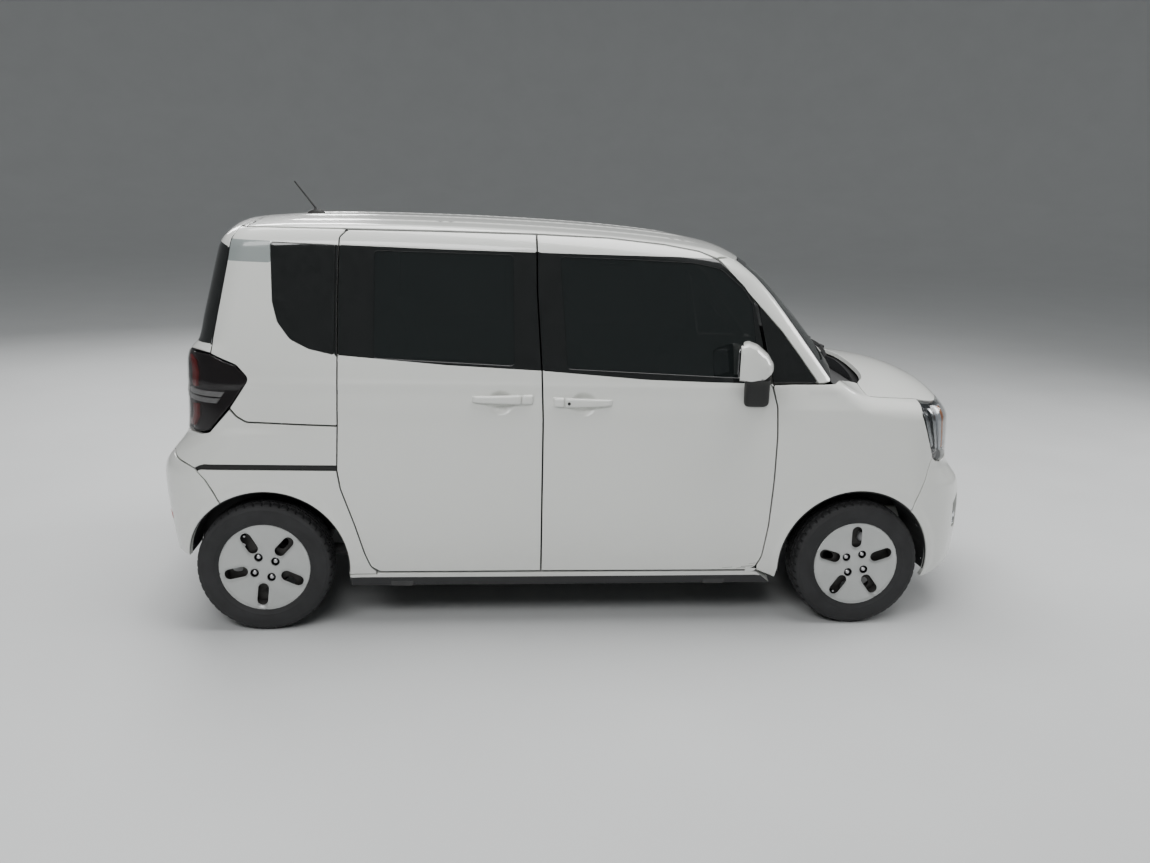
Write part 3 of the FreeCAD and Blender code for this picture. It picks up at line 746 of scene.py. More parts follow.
        # find the zone of each boundary edge for the rolled part
        mi_of = {}
        for f, zi in zip(faces[:ntri], idx[:ntri]):
            for a_, b_ in ((f[0], f[1]), (f[1], f[2]), (f[2], f[0])):
                mi_of[(a_, b_)] = zi
        for k in range(n):
            k2 = (k + 1) % n
            a_, b_ = int(ids[k]), int(ids[k2])
            zi = mi_of.get((a_, b_), mi_of.get((b_, a_), 0))
            rev = (a_, b_) not in mi_of
            for lv in range(3):
                A, B = rings[lv], rings[lv + 1]
                na, nb = rn[lv], rn[lv + 1]
                if lv == 2:
                    na = nb
                f = [int(B[k]), int(B[k2]), int(A[k2]), int(A[k])]
                fn = [nb[k], nb[k2], na[k2], na[k]]
                if rev:
                    f, fn = f[::-1], fn[::-1]
                faces.append(f)
                nrm.append(fn)
                idx.append(zi if lv < 2 else wall_mi)
    if back:
        m = {}
        for f in list(faces[:ntri]):
            g_ = []
            for i in f:
                if i in ring_back:
                    g_.append(ring_back[i])
                else:
                    if i not in m:
                        m[i] = len(verts)
                        verts.append(S[i] + (bd if bd is not None else -N[i]) * rim)
                    g_.append(m[i])
            faces.append(g_[::-1])
            nv = -np.array([N[i] for i in f])[::-1]
            nrm.append(list(nv))
            idx.append(wall_mi)
    used = sorted({i for f in faces for i in f})
    rem = {i: k for k, i in enumerate(used)}
    verts = np.array(verts)[used]
    faces = [[rem[i] for i in f] for f in faces]
    ob = make(name, verts, faces, mats, idx, nrm)
    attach(ob, body)
    if replaces:
        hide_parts(*([replaces] if isinstance(replaces, str) else replaces))
    return ob

# ------------------------------------------------------------ seams (x, z)
MID = [(1145, 248), (1142, 585), (1141, 912), (1134, 1113), (1113, 1427), (1109, 1653)]
FRONT_EDGE = [(2031, 245, 0), (2076, 259, 30), (2101, 312, 60), (2118, 452, 200),
              (2127, 659, 300), (2129, 844, 300), (2122, 975, 120), (2098, 1056, 60),
              (2084, 1076, 20), (2052, 1240, 200), (2018, 1390, 120), (1975, 1466, 80),
              (1856, 1571, 60)]
DOOR_TOP = [(1784, 1600, 100), (1640, 1624, 200), (1406, 1645, 300), (1109, 1653, 0)]
REAR_EDGE = [(740, 1656, 400), (352, 1656, 30), (321, 1625, 20), (318, 1560, 60),
             (313, 1378, 300), (312, 1159, 300), (310, 882, 300), (304, 698, 40),
             (316, 621, 60), (370, 462, 200), (408, 332, 100), (432, 272, 40),
             (471, 248, 20)]
FRONT_DOOR = [(1145, 248, 6), (2031, 245, 40)] + FRONT_EDGE[1:] + DOOR_TOP[:-1] + [
    (1109, 1653, 6), (1113, 1427, 200), (1134, 1113, 300), (1141, 912, 300), (1142, 585, 300)]
REAR_DOOR = [(1145, 248, 6), (1142, 585, 300), (1141, 912, 300), (1134, 1113, 300),
             (1113, 1427, 200), (1109, 1653, 6)] + REAR_EDGE
BAND_LINE = [(296, 1167), (318, 1164), (751, 1130), (1132, 1112), (1570, 1080),
             (1850, 1072), (2085, 1069), (2310, 1064), (2310, 1180), (2300, 1500),
             (1900, 1568), (1856, 1571), (1700, 1576), (1294, 1579), (743, 1586), (304, 1595)]
FRONT_GLASS = [(1242, 1124, 14), (2034, 1092, 14), (2018, 1250, 300), (2000, 1392, 60),
               (1966, 1446, 40), (1868, 1528, 60), (1760, 1549, 200), (1500, 1558, 300),
               (1208, 1563, 14)]
REAR_GLASS = [(460, 1158, 14), (1018, 1134, 14), (1010, 1566, 14), (462, 1572, 14)]
QUARTER_GLASS = [(54, 1599, 12), (306, 1593, 8), (300, 1166, 8), (201, 1188, 60),
                 (129, 1224, 60), (80, 1290, 60), (60, 1370, 100)]
CORNER_GLASS = [(2100, 1072, 8), (2298, 1071, 8), (2135, 1281, 200), (2003, 1418, 60),
                (1900, 1522, 10), (1985, 1466, 40), (2028, 1392, 60), (2062, 1240, 200)]
A_OUT = [(1942, 1577), (2030, 1500), (2104, 1424), (2205, 1290), (2300, 1166), (2380, 1070)]


def arc_pts(ax, az, r, a0, a1, n=40):
    """points of a wheel arch, angles in degrees, 0 forward and 90 up"""
    t = np.radians(np.linspace(a0, a1, n))
    return [(ax + r * math.cos(q), az + r * math.sin(q)) for q in t]


ARCH_F = (2511.0, 272.0, 336.0)
ARCH_R = (12.0, 272.0, 334.0)


def line(*pts):
    return [q for q in rounded([p if len(p) > 2 else (*p, 0) for p in pts])]


def chart_line(chart, pts, s, step=9.0, closed=False):
    """a line given in the side view, put into another chart"""
    d = np.array(dense([p[:2] for p in pts], step, closed))
    return chart.uv(on_side(d, s, chart.part))


def cup_points(cx, cz):
    """rings of points that carry the hollow behind a handle"""
    out = [(cx, cz)]
    for r, n in ((0.16, 10), (0.3, 18), (0.44, 26), (0.56, 32), (0.68, 38), (0.79, 44), (0.89, 48), (0.98, 52), (1.08, 52)):
        out += [(cx + 61 * r * math.cos(t), cz + 55 * r * math.sin(t))
                for t in np.linspace(0, 2 * math.pi, n, endpoint=False)]
    return out


# ------------------------------------------------------------------- doors
SIDES = ((-1, "right"), (1, "left"))
for s, nm in SIDES:
    ch = Side(s)
    inward = (0, -s, 0)
    fname = "front_%s_door" % nm
    rname = "sliding_door" if s < 0 else "rear_left_door"
    rbody = "car_body" if s < 0 else "rear_left_door"
    band = dense(BAND_LINE, 14)
    cups = [cup_points(*q) for q in CUPS[s]]
    panel(fname + "_panel", ch, dense(rounded(FRONT_DOOR), 9), fname, fname,
          holes=[dense(rounded(FRONT_GLASS), 9)], rim=44, gap=3.2, back_dir=inward,
          mats=[PAINT, BAND, TRIM], zones=[(band, 1)], extra=cups[0])
    panel(fname + "_window", ch, inset(dense(rounded(FRONT_GLASS), 12), -9), fname,
          fname + "_glass", rim=5, lift=-5, mats=[GLASS], grid=24)
    panel(rname + "_panel", ch, dense(rounded(REAR_DOOR), 9), rbody, rname,
          holes=[dense(rounded(REAR_GLASS), 9)], rim=44, gap=3.2, back_dir=inward,
          mats=[PAINT, BAND, TRIM], zones=[(band, 1)], extra=cups[1])
    panel(rname + "_window", ch, inset(dense(rounded(REAR_GLASS), 12), -9), rbody,
          rname + "_glass", rim=5, lift=-5, mats=[GLASS], grid=24)

# ------------------------------------------------------------- body shell
TG_SEAM = [(-60, 1681), (-76, 1658), (-106, 1607), (-118, 1525), (-150, 1360),
           (-176, 1222), (-182, 1163)]
LAMP_FRONT = [(-182, 1163, 0), (-83, 1120, 24), (-35, 1066, 26), (-108, 956, 30)]
QUARTER_Y = 604.0


def rear_pts(yz, part="all"):
    a = np.array(yz, float)
    o = np.stack([np.full(len(a), -1200.0), a[:, 0], a[:, 1]], 1)
    return hit(o, np.tile([1.0, 0, 0], (len(a), 1)), part)


def rear_line_uv(chart, yz, step_=9):
    return chart.uv(rear_pts(dense(yz, step_, False)))


for s, nm in SIDES:
    ch = Side(s)
    up = [(310, 883, 4), (-47, 893, 30), (-84, 915, 30), (-112, 948, 0)] + [
        (-35, 1066, 26), (-83, 1120, 24), (-182, 1162, 4), (-176, 1222, 60),
        (-118, 1525, 200), (-106, 1607, 60), (-84, 1650, 10), (-74, 1657, 0),
        (352, 1657, 0), (321, 1625, 20), (318, 1560, 60), (313, 1378, 300),
        (312, 1159, 300)]
    panel("quarter_upper_" + nm, ch, dense(rounded(up), 9), "car_body",
          "body_shell", holes=[dense(rounded(QUARTER_GLASS), 8)], rim=24, gap=1.9,
          mats=[PAINT, INSERT, BAND, PAINT_IN_SHADE],
          zones=[(dense([(-140, 1524), (57, 1520), (52, 1604), (-140, 1609)], 12), 1),
                 (dense([(299, 1165), (330, 1165), (330, 1594), (301, 1595)], 12), 2)])
    panel("quarter_window_" + nm, ch, inset(dense(rounded(QUARTER_GLASS), 9), 0.8),
          "car_body", None, rim=6, lift=-1.2, mats=[BAND], grid=16)
    # the haunch goes round the corner under the lamp, the arch piece is below the rail slot
    qc = Column(600, 0, 640, -1)
    r1 = rear_line_uv(qc, [(s * 720, 722), (s * 690, 730), (s * 640, 741), (s * QUARTER_Y, 744)])
    r2 = rear_line_uv(qc, [(s * QUARTER_Y, 744), (s * QUARTER_Y, 836), (s * 668, 834)])
    mid = np.vstack([chart_line(qc, [(310, 879), (305, 717), (-222, 718), (-244, 711), (-262, 701)], s), r1, r2,
                     chart_line(qc, rounded([(-236, 836, 0), (-200, 846, 10), (-114, 944, 4),
                                             (-84, 911, 30), (-47, 889, 30), (309, 879, 0)]), s)])
    crease = [(x, float(HAUNCH(x)) + d) for x in np.arange(-400, 230, 13) for d in (-7, 0, 8, 16, 24, 32, 40, 47)]
    crease = qc.uv(on_side(crease, s))
    panel("quarter_haunch_" + nm, qc, clean(list(mid), 2.0), "car_body", None, rim=20,
          gap=1.4, mats=[PAINT, PAINT_IN_SHADE], grid=14, extra=crease)
    low = rounded([(304, 695, 0), (316, 621, 60), (370, 462, 200), (408, 332, 100), (432, 272, 40),
                   (455, 250, 10), (455, 247, 0), (455, 238, 0), (345, 238, 0)])
    low = np.vstack([chart_line(qc, low, s), chart_line(qc, arc_pts(*ARCH_R, -5, 122, 50), s),
                     chart_line(qc, rounded([(-170, 566, 0), (-222, 655, 40), (-258, 692, 6), (-236, 697, 10), (303, 695, 0)]), s)])
    panel("quarter_arch_" + nm, qc, clean(list(low), 2.0), "car_body", None, rim=20,
          gap=1.4, mats=[PAINT, PAINT_IN_SHADE], grid=14)
    # dark channel of the sliding door's rail
    rl = chart_line(qc, [(316, 730), (-226, 731), (-276, 712), (-276, 684), (-236, 683), (316, 683)], s)
    panel("door_rail_channel_" + nm, qc, clean(list(rl), 2.0), "car_body", "slide_rail" if s < 0 else None, rim=6,
          lift=-9.0, mats=[RUBBER], grid=20)
    # the sill below z 222 is black plastic standing for the shadow under the doors: painted shadow
    sill = [(350, 180, 0), (346, 236, 0), (457, 236, 0), (457, 243, 6), (2031, 240, 40), (2084, 236, 0), (2150, 180, 0)]
    panel("sill_" + nm, ch, dense(rounded(sill), 14), "car_body", None, rim=46,
          gap=0.6, mats=[PAINT, PLASTIC, PAINT_IN_SHADE], grid=24,
          zones=[(dense([(300, 120), (2200, 120), (2200, 221), (300, 223)], 30), 1)])
    pil = [(1862, 1572, 0), (1942, 1578, 10), (2030, 1500, 300), (2104, 1424, 300),
           (2205, 1290, 300), (2300, 1166, 300), (2372, 1072, 10), (2302, 1070, 10),
           (2135, 1283, 300), (2003, 1420, 100)]
    chc = Side(s, "cabin")
    panel("windscreen_pillar_" + nm, chc, dense(rounded(pil), 9), "car_body", None,
          rim=26, gap=0.8, mats=[PAINT, PAINT_IN_SHADE], grid=14)
    panel("corner_window_" + nm, chc, dense(rounded(CORNER_GLASS), 9), "car_body",
          "fixed_side_windows", rim=8, lift=-1.0, gap=0.8, mats=[BAND], grid=30)

top = Top()
rear_line = [(-46, y) for y in np.linspace(-520, 520, 60)]


def top_of_side(pts, s):
    return [tuple(q[:2]) for q in on_side(pts, s)]


door_top = [(x, z) for x, z in dense([(1856, 1573), (1784, 1601), (1640, 1625),
                                      (1406, 1646), (1109, 1655), (740, 1658), (352, 1658), (-72, 1658)], 12, False)]
seam_r = top_of_side([(-60, 1681), (-66, 1672)], -1)
seam_l = top_of_side([(-60, 1681), (-66, 1672)], 1)
HEADER = [(2052 - 106 * (y / 600.0) ** 2, y) for y in np.linspace(-596, 596, 60)]
roof_out = ([(-46, -530)] + [(-52, -575)] + seam_r + [q for q in top_of_side(door_top[::-1], -1)]
            + HEADER + [q for q in top_of_side(door_top, 1)] + seam_l[::-1] + [(-52, 575), (-46, 530)])
ribs = [(x, sg * (yc + d)) for x in np.arange(60, 1860, 45.0) for sg in (-1, 1) for yc in (190, 430)
        for d in (-30, -22, -15, -8, 0, 8, 15, 22, 30)]
panel("roof_panel", top, dense(roof_out, 10), "car_body", None, rim=22, gap=1.8,
      mats=[PAINT, PAINT_IN_SHADE], grid=22, back_dir=(0, 0, -1), extra=ribs)

# ------------------------------------------------------------------ fenders
# the hood's side seam and rear edge seen from above: x, distance from the middle
HOOD_SEAM = [(2766, 668), (2700, 682), (2640, 692), (2595, 698), (2562, 703), (2541, 703), (2532, 696), (2530, 676),
             (2531, 620), (2535, 572)]
HOOD_REAR = [(2535, 572), (2544, 542), (2560, 514), (2578, 484), (2594, 440), (2605, 389), (2615, 274), (2622, 143), (2628, 0)]
SCUTTLE_X = pchip([(b, a) for a, b in HOOD_REAR[::-1]])
for s, nm in SIDES:
    sp = Spine(540, 740, 230, s, "nose")
    edge_pts = [(q[0] + 1.0, q[1]) for q in rounded(FRONT_EDGE[:8] + [(2088, 1067, 0)])]
    a = chart_line(sp, edge_pts, s)
    toe = np.vstack([chart_line(sp, [(2098, 1067), (2200, 1068), (2376, 1069)], s),
                     sp.uv(on_top(dense([(x, s * y) for x, y in [(2388, 720), (2396, 709), (2420, 660), (2448, 612),
                                                                (2484, 572), (2515, 556), (2533, 562)]], 7, False), "nose"))])
    hs = sp.uv(on_top(dense([(x, s * y) for x, y in HOOD_SEAM[::-1]], 7, False), "nose"))
    lamp = chart_line(sp, [(2766, 989), (2762, 936), (2800, 838), (2831, 757)], s)
    seam = chart_line(sp, [(2831, 753), (2800, 660), (2742, 515)], s)
    arch = chart_line(sp, arc_pts(*ARCH_F, 47, 183, 60), s)
    foot = chart_line(sp, [(2168, 200), (2084, 236), (2040, 243)], s)
    ol = np.vstack([a, toe, hs, lamp, seam, arch, foot])
    sh = sp.uv(on_side([(x, z) for x in np.arange(2125, 2800, 14.0)
                        for z in (948, 954, 959, 964, 970, 977, 1046, 1054, 1061)], s, "nose"))
    panel("front_fender_" + nm, sp, clean(list(ol), 2.0), "car_body",
          "front_%s_fender" % nm, rim=20, gap=2.0, mats=[PAINT, PAINT_IN_SHADE],
          grid=14, extra=sh)

# --------------------------------------------------------------------- hood
nose_top = Top("nose")
hood_r = [(q[0], -q[1]) for q in dense(HOOD_SEAM, 7, False)]
hood_l = [(q[0], q[1]) for q in dense(HOOD_SEAM, 7, False)]
hood_back = [(float(SCUTTLE_X(abs(y))), y) for y in np.linspace(-572, 572, 120)]


def front_pts(yz, part="nose"):
    a = np.array(yz, float)
    o = np.stack([np.full(len(a), 3600.0), a[:, 0], a[:, 1]], 1)
    return hit(o, np.tile([-1.0, 0, 0], (len(a), 1)), part)


def front_line_uv(chart, yz, step_=9):
    return chart.uv(front_pts(dense(yz, step_, False)))


def nose_line(s, stop=0.0):
    """the seam under the hood's front edge, from the fender to the middle, in 3-D"""
    a = on_side(dense([(2769, 990), (2800, 985), (2840, 981), (2872, 979)], 9, False), s, "nose")
    yz = [(s * 600, 980), (s * 560, 980), (s * 470, 979), (s * 440, 977), (s * 200, 980), (0, 981)]
    b = front_pts(dense(yz, 9, False))
    p = np.vstack([a, b])
    keep = np.abs(p[:, 1]) >= stop
    return p[keep]


NOSE_R, NOSE_L = nose_line(-1), nose_line(1)
hood_front = [tuple(q[:2]) for q in NOSE_L] + [tuple(q[:2]) for q in NOSE_R[::-1]]
hood_out = clean(hood_r[1:] + hood_back[1:-1] + hood_l[::-1][:-1] + hood_front, 3.0)
panel("hood_panel", nose_top, hood_out, "hood", "hood", rim=18, gap=3.2,
      mats=[PAINT, PAINT_IN_SHADE], grid=15, back_dir=(-0.55, 0, -0.835))

# --------------------------------------------------------------- windscreen
ws = Look((1000, 0, 1250), (1, 0, 0), 1000.0, "cabin")
hdr = on_top([(q[0] + 1, q[1]) for q in HEADER], "cabin")
pr = on_side(dense([(1944, 1576), (2030, 1500), (2104, 1424), (2205, 1290), (2300, 1166), (2368, 1078)], 10, False), -1, "cabin")
pl = on_side(dense([(1944, 1576), (2030, 1500), (2104, 1424), (2205, 1290), (2300, 1166), (2368, 1078)], 10, False), 1, "cabin")
base = on_side([(2372, 1074)], -1, "cabin")[0]
bot = [ws.uv(np.array([[2470 - 100 * (y / base[1]) ** 2, y, 1118 - 42 * (y / base[1]) ** 2]]))[0]
       for y in np.linspace(base[1], -base[1], 50)]
ws_out = np.vstack([ws.uv(hdr), ws.uv(pl), np.array(bot)[::-1][1:-1], ws.uv(pr)[::-1]])
ws_out = clean(list(ws_out), 2.0)
wo = ws_out if area2(ws_out) > 0 else ws_out[::-1]
panel("windscreen_glass", ws, wo, "car_body", "windscreen", rim=6, lift=-2.0, gap=1.0,
      mats=[FRIT, SCREEN_GLASS], grid=26, zones=[(inset(wo, 34), 1)], back_mat=1)

# -------------------------------------------------------------- rear bumper
rb = Column(150, 0, 640, -1)
ends = []
for s in (-1, 1):
    up = chart_line(rb, arc_pts(*ARCH_R, 173, 122, 30) + rounded(
        [(-170, 566, 0), (-222, 655, 40), (-262, 698, 0)]), s)
    ends.append(up)


def arcade(yz):
    return rear_line_uv(rb, yz)


r_end, l_end = ends
TOPS = [(720, 719), (690, 727), (640, 738), (QUARTER_Y, 741), (602, 668), (590, 656)]
under_r = arcade([(-a, b) for a, b in TOPS] + TOPS[::-1])
RB_LOW = 232.0
U_END = abs(float(l_end[0][0]))
bottom = np.array([(u, RB_LOW + 76.0 * step((abs(u) / U_END - 0.60) / 0.34))
                   for u in np.linspace(float(l_end[0][0]), float(r_end[0][0]), 90)])
rb_out = np.vstack([r_end, under_r, l_end[::-1], bottom])
u_crease = rb.uv(rear_pts([(y, z) for y in np.arange(-700, 701, 16.0) for z in (690, 697, 704, 640, 648, 656)]))
panel("rear_bumper_cover", rb, clean(list(rb_out), 2.0), "car_body", "rear_bumper",
      rim=18, gap=1.4, mats=[PAINT, PLASTIC, PAINT_IN_SHADE], grid=15,
      zones=[(rear_line_uv(rb, [(-470, 200), (-500, 300), (-520, 340), (-490, 372), (490, 372), (520, 340), (500, 300), (470, 200)]), 1)],
      extra=u_crease)

# ---------------------------------------------------------------- tail lamps
for s, nm in SIDES:
    fr = chart_line(rb, [(-238, 842), (-206, 850), (-108, 958), (-40, 1060), (-40, 1072), (-86, 1117), (-184, 1159)], s)
    rr = rear_line_uv(rb, [(s * 668, 1164), (s * 614, 1166), (s * 605, 1158), (s * 605, 846), (s * 614, 840), (s * 668, 838)])
    ol = clean(list(np.vstack([fr, rr])), 2.0)
    panel("tail_lamp_cover_" + nm, rb, ol, "car_body",
          "tail_lamp_" + nm, rim=4, gap=1.6, lift=2.0, edge=4, mats=[SMOKE, SMOKE],
          grid=14)
    panel("tail_lamp_housing_" + nm, rb, ol, "car_body", None, rim=22, gap=3.0, lift=-16.0, edge=3,
          mats=[GLOSSBLK], grid=16)

    def lamp_bar(name_, side_pts, rear_yz, mat, lift_, rim_, s=s, nm=nm):
        parts_ = [chart_line(rb, side_pts, s)] if len(side_pts) else []
        o_ = np.vstack(parts_ + [rear_line_uv(rb, [(s * a, b) for a, b in rear_yz])])
        panel(name_ + nm, rb, clean(list(o_), 1.5), "car_body", None, rim=rim_, lift=lift_, edge=2.0,
              mats=[mat], grid=12)

    lamp_bar("tail_lamp_grey_bar_upper_", [(-256, 990), (-150, 990), (-134, 1010), (-256, 1010)],
             [(690, 1010), (624, 1010), (624, 990), (690, 990)], LENSGREY, -7.0, 10)
    lamp_bar("tail_lamp_grey_bar_lower_", [(-256, 964), (-170, 964), (-154, 984), (-256, 984)],
             [(690, 984), (624, 984), (624, 964), (690, 964)], LENSGREY, -7.0, 10)
    lamp_bar("tail_lamp_red_strip_upper_", [], [(700, 1022), (704, 1082), (684, 1130), (622, 1146), (622, 1122),
                                               (662, 1112), (674, 1078), (672, 1022)], RED, -5.0, 10)
    lamp_bar("tail_lamp_red_strip_lower_", [], [(672, 952), (674, 912), (662, 886), (622, 876), (622, 854),
                                               (684, 860), (708, 900), (706, 952)], RED, -5.0, 10)

# ------------------------------------------------------------------ tailgate
tg = Look((900, 0, 1200), (-1, 0, 0), 1000.0)
sr = tg.uv(on_side(dense(TG_SEAM, 9, False), -1))
sl = tg.uv(on_side(dense(TG_SEAM, 9, False), 1))
tt = tg.uv(on_top([(-46, y) for y in np.linspace(530, -530, 90)]))
lowr = rear_line_uv(tg, [(-640, 1168), (-604, 1166), (-602, 1150), (-600, 668), (-588, 660), (588, 660), (600, 668), (602, 1150), (604, 1166), (640, 1168)])
tg_out = np.vstack([sr, lowr, sl[::-1], tt])
plate_hole = rear_line_uv(tg, [(-283, 703), (283, 703), (295, 714), (295, 846), (281, 858), (-281, 858),
                               (-295, 846), (-295, 714), (-283, 703)])[:-1]
panel("tailgate_panel", tg, clean(list(tg_out), 2.0), "tailgate", "tailgate",
      holes=[np.array(rear_line_uv(tg, [(-580, 1252), (580, 1252), (550, 1570), (-550, 1570), (-580, 1252)])[:-1]),
             np.array(plate_hole)],
      rim=36, gap=3.2, mats=[PAINT, BAND, TRIM], grid=15,
      zones=[(np.array(dense([(-700, -1.0), (700, -1.0), (700, 372), (-700, 372)], 9)), 1)])
panel("tailgate_window", tg, inset(clean(list(rear_line_uv(tg, [(-580, 1252), (580, 1252), (550, 1570), (-550, 1570), (-580, 1252)])[:-1]), 1), -9),
      "tailgate", "tailgate_glass", rim=5, lift=-4, mats=[GLASS], grid=40)

# ---------------------------------------------------------- headlamps, bumper
fbc = Column(2380, 0, 700, 1, "nose")
for s, nm in SIDES:
    back = chart_line(fbc, [(2836, 752), (2802, 838), (2765, 936), (2769, 987)], s)
    tp = fbc.uv(nose_line(s, 466.0))
    fr = front_line_uv(fbc, [(s * 462, 968), (s * 470, 800), (s * 486, 772), (s * 560, 742), (s * 700, 722)])
    tip = chart_line(fbc, [(2888, 722), (2846, 738)], s)
    ol = clean(list(np.vstack([back, tp, fr, tip])), 2.0)
    panel("headlamp_cover_" + nm, fbc, ol, "car_body", "headlamp_" + nm, rim=4, gap=1.8, lift=1.0,
          edge=3.5, mats=[LENS, LENS], grid=13)
    hood_ = np.array(ol)
    panel("headlamp_housing_" + nm, fbc, hood_, "car_body", None, rim=16, gap=3.4, lift=-30.0,
          edge=2, mats=[GLOSSBLK], grid=16)

    def beam(name_, uv_, mat, lift_, rim_, nm=nm, s=s):
        """a strip inside the lamp: (u, z) points, u measured from the car's front middle"""
        o_ = np.array([(s * a, b) for a, b in uv_], float)
        panel(name_ + nm, fbc, dense(o_, 9), "car_body", None, rim=rim_, lift=lift_, edge=2.0,
              mats=[mat], grid=12)

    # two silver ribs, the bright strip and the amber strip beside it, then the projector plate
    beam("headlamp_rib_rear_", [(752, 962), (765, 962), (742, 868), (716, 790), (705, 797), (729, 872)], CHROME, -12, 12)
    beam("headlamp_rib_front_", [(716, 968), (729, 968), (712, 868), (690, 778), (678, 782), (698, 872)], CHROME, -10, 12)
    beam("headlamp_bright_strip_", [(668, 972), (694, 972), (686, 868), (668, 770), (652, 772), (662, 870)], LED, -6, 14)
    beam("headlamp_amber_strip_", [(636, 966), (656, 966), (651, 870), (640, 776), (628, 778), (634, 870)], AMBER, -8, 12)
    beam("headlamp_inner_strip_", [(486, 962), (620, 968), (620, 954), (500, 948), (500, 800), (620, 776), (620, 764),
                                   (508, 786), (486, 800)], LED, -8, 12)
ends = []
for s in (-1, 1):
    ends.append(chart_line(fbc, arc_pts(*ARCH_F, -8, 47, 30) + [(2742, 517), (2800, 661), (2831, 752), (2846, 736), (2888, 720)], s))
r_end, l_end = ends
under_r = front_line_uv(fbc, [(-700, 720), (-560, 740), (-484, 770), (-468, 800), (-460, 968)])
under_l = front_line_uv(fbc, [(460, 968), (468, 800), (484, 770), (560, 740), (700, 720)])
mid_r = fbc.uv(np.array([q for q in NOSE_R if abs(q[1]) < 458]))
mid_l = fbc.uv(np.array([q for q in NOSE_L if abs(q[1]) < 458]))
under = np.vstack([under_r, mid_r, mid_l[::-1], under_l])
bottom = np.array([(u, 178.0 + 20 * (u / float(l_end[0][0])) ** 2) for u in np.linspace(float(l_end[0][0]), float(r_end[0][0]), 90)])
fb_out = np.vstack([r_end, under, l_end[::-1], bottom])
INTAKE = [(-470, 262), (470, 262), (560, 318), (588, 372), (508, 452), (-508, 452), (-588, 372), (-560, 318), (-470, 262)]
FOGS = [[(s * a, b) for a, b in ((612, 392), (660, 404), (676, 520), (640, 560), (598, 470), (612, 392))] for s in (-1, 1)]
facet = [(x, z) for x in np.arange(2700, 2905, 13.0) for z in np.arange(600, 770, 13.0)]
facet = np.vstack([fbc.uv(on_side(facet, s, "nose")) for s in (-1, 1)])
panel("front_bumper_cover", fbc, clean(list(fb_out), 2.0), "car_body", "front_bumper",
      rim=18, gap=1.8, mats=[PAINT, PLASTIC, PAINT_IN_SHADE], grid=15, extra=facet,
      holes=[front_line_uv(fbc, INTAKE)[:-1]] + [front_line_uv(fbc, q)[:-1] for q in FOGS],
      zones=[(front_line_uv(fbc, [(-690, 120), (-620, 236), (620, 236), (690, 120)]), 1)])

# =================================================================== details
class Bag:
    """a piece built from several closed meshes, one material number each"""

    def __init__(self):
        self.v, self.f, self.m = [], [], []

    def add(self, vf, mi=0):
        v, f = vf
        base = len(self.v)
        self.v.extend([tuple(map(float, p)) for p in v])
        self.f.extend([tuple(int(i) + base for i in q) for q in f])
        self.m.extend([mi] * len(f) if isinstance(mi, int) else list(mi))
        return self

    def out(self, name, mats, body, replaces=None, slot=None, sharp=38.0):
        ob = make(name, self.v, self.f, mats, self.m)
        ob.data.set_sharp_from_angle(angle=math.radians(sharp))
        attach(ob, body)
        if replaces:
            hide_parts(*([replaces] if isinstance(replaces, str) else replaces))
        return ob


def loft(secs, cap=True, ring=False):
    """closed loops of equal length joined in order; ring joins last to first"""
    secs = [np.asarray(s_, float) for s_ in secs]
    n = len(secs[0])
    v = np.vstack(secs)
    f = []
    m = len(secs)
    for k in range(m if ring else m - 1):
        a, b = k * n, ((k + 1) % m) * n
        for i in range(n):
            j = (i + 1) % n
            f.append((a + i, a + j, b + j, b + i))
    if cap and not ring:
        f.append(tuple(range(n))[::-1])
        f.append(tuple(range((m - 1) * n, m * n)))
    return fix(v, f)


def fix(v, f):
    """turn the faces outwards by the sign of the enclosed volume"""
    v = np.asarray(v, float)
    c = v.mean(0)
    vol = 0.0
    for q in f:
        a = v[q[0]] - c
        for i in range(1, len(q) - 1):
            vol += float(np.dot(a, np.cross(v[q[i]] - c, v[q[i + 1]] - c)))
    if vol < 0:
        f = [tuple(q[::-1]) for q in f]
    return v, f


def lathe(prof, place, n=96, closed=True):
    """prof: (radius, t) points, closed loop; place(r, angle, t) gives the points"""
    ang = np.linspace(0, 2 * math.pi, n, endpoint=False)
    secs = []
    for r, t in prof:
        secs.append(np.array([place(r, a, t) for a in ang]))
    if closed:
        return loft(secs, cap=False, ring=True)
    return loft(secs, cap=True)


def tube(path, r, n=12, cap=True, ring=False):
    path = [np.asarray(p, float) for p in path]
    m = len(path)
    rr = r if hasattr(r, "__len__") else [r] * m
    tang = []
    for i in range(m):
        if ring:
            t = path[(i + 1) % m] - path[i - 1]
        else:
            t = path[min(i + 1, m - 1)] - path[max(i - 1, 0)]
        tang.append(t / np.linalg.norm(t))
    u = np.cross(tang[0], (0, 0, 1.0))
    if np.linalg.norm(u) < 0.1:
        u = np.cross(tang[0], (0, 1.0, 0))
    u /= np.linalg.norm(u)
    secs = []
    for i in range(m):
        u = u - tang[i] * (u @ tang[i])
        u /= np.linalg.norm(u)
        w = np.cross(tang[i], u)
        secs.append([path[i] + rr[i] * (math.cos(a) * u + math.sin(a) * w)
                     for a in np.linspace(0, 2 * math.pi, n, endpoint=False)])
    return loft(secs, cap=cap, ring=ring)


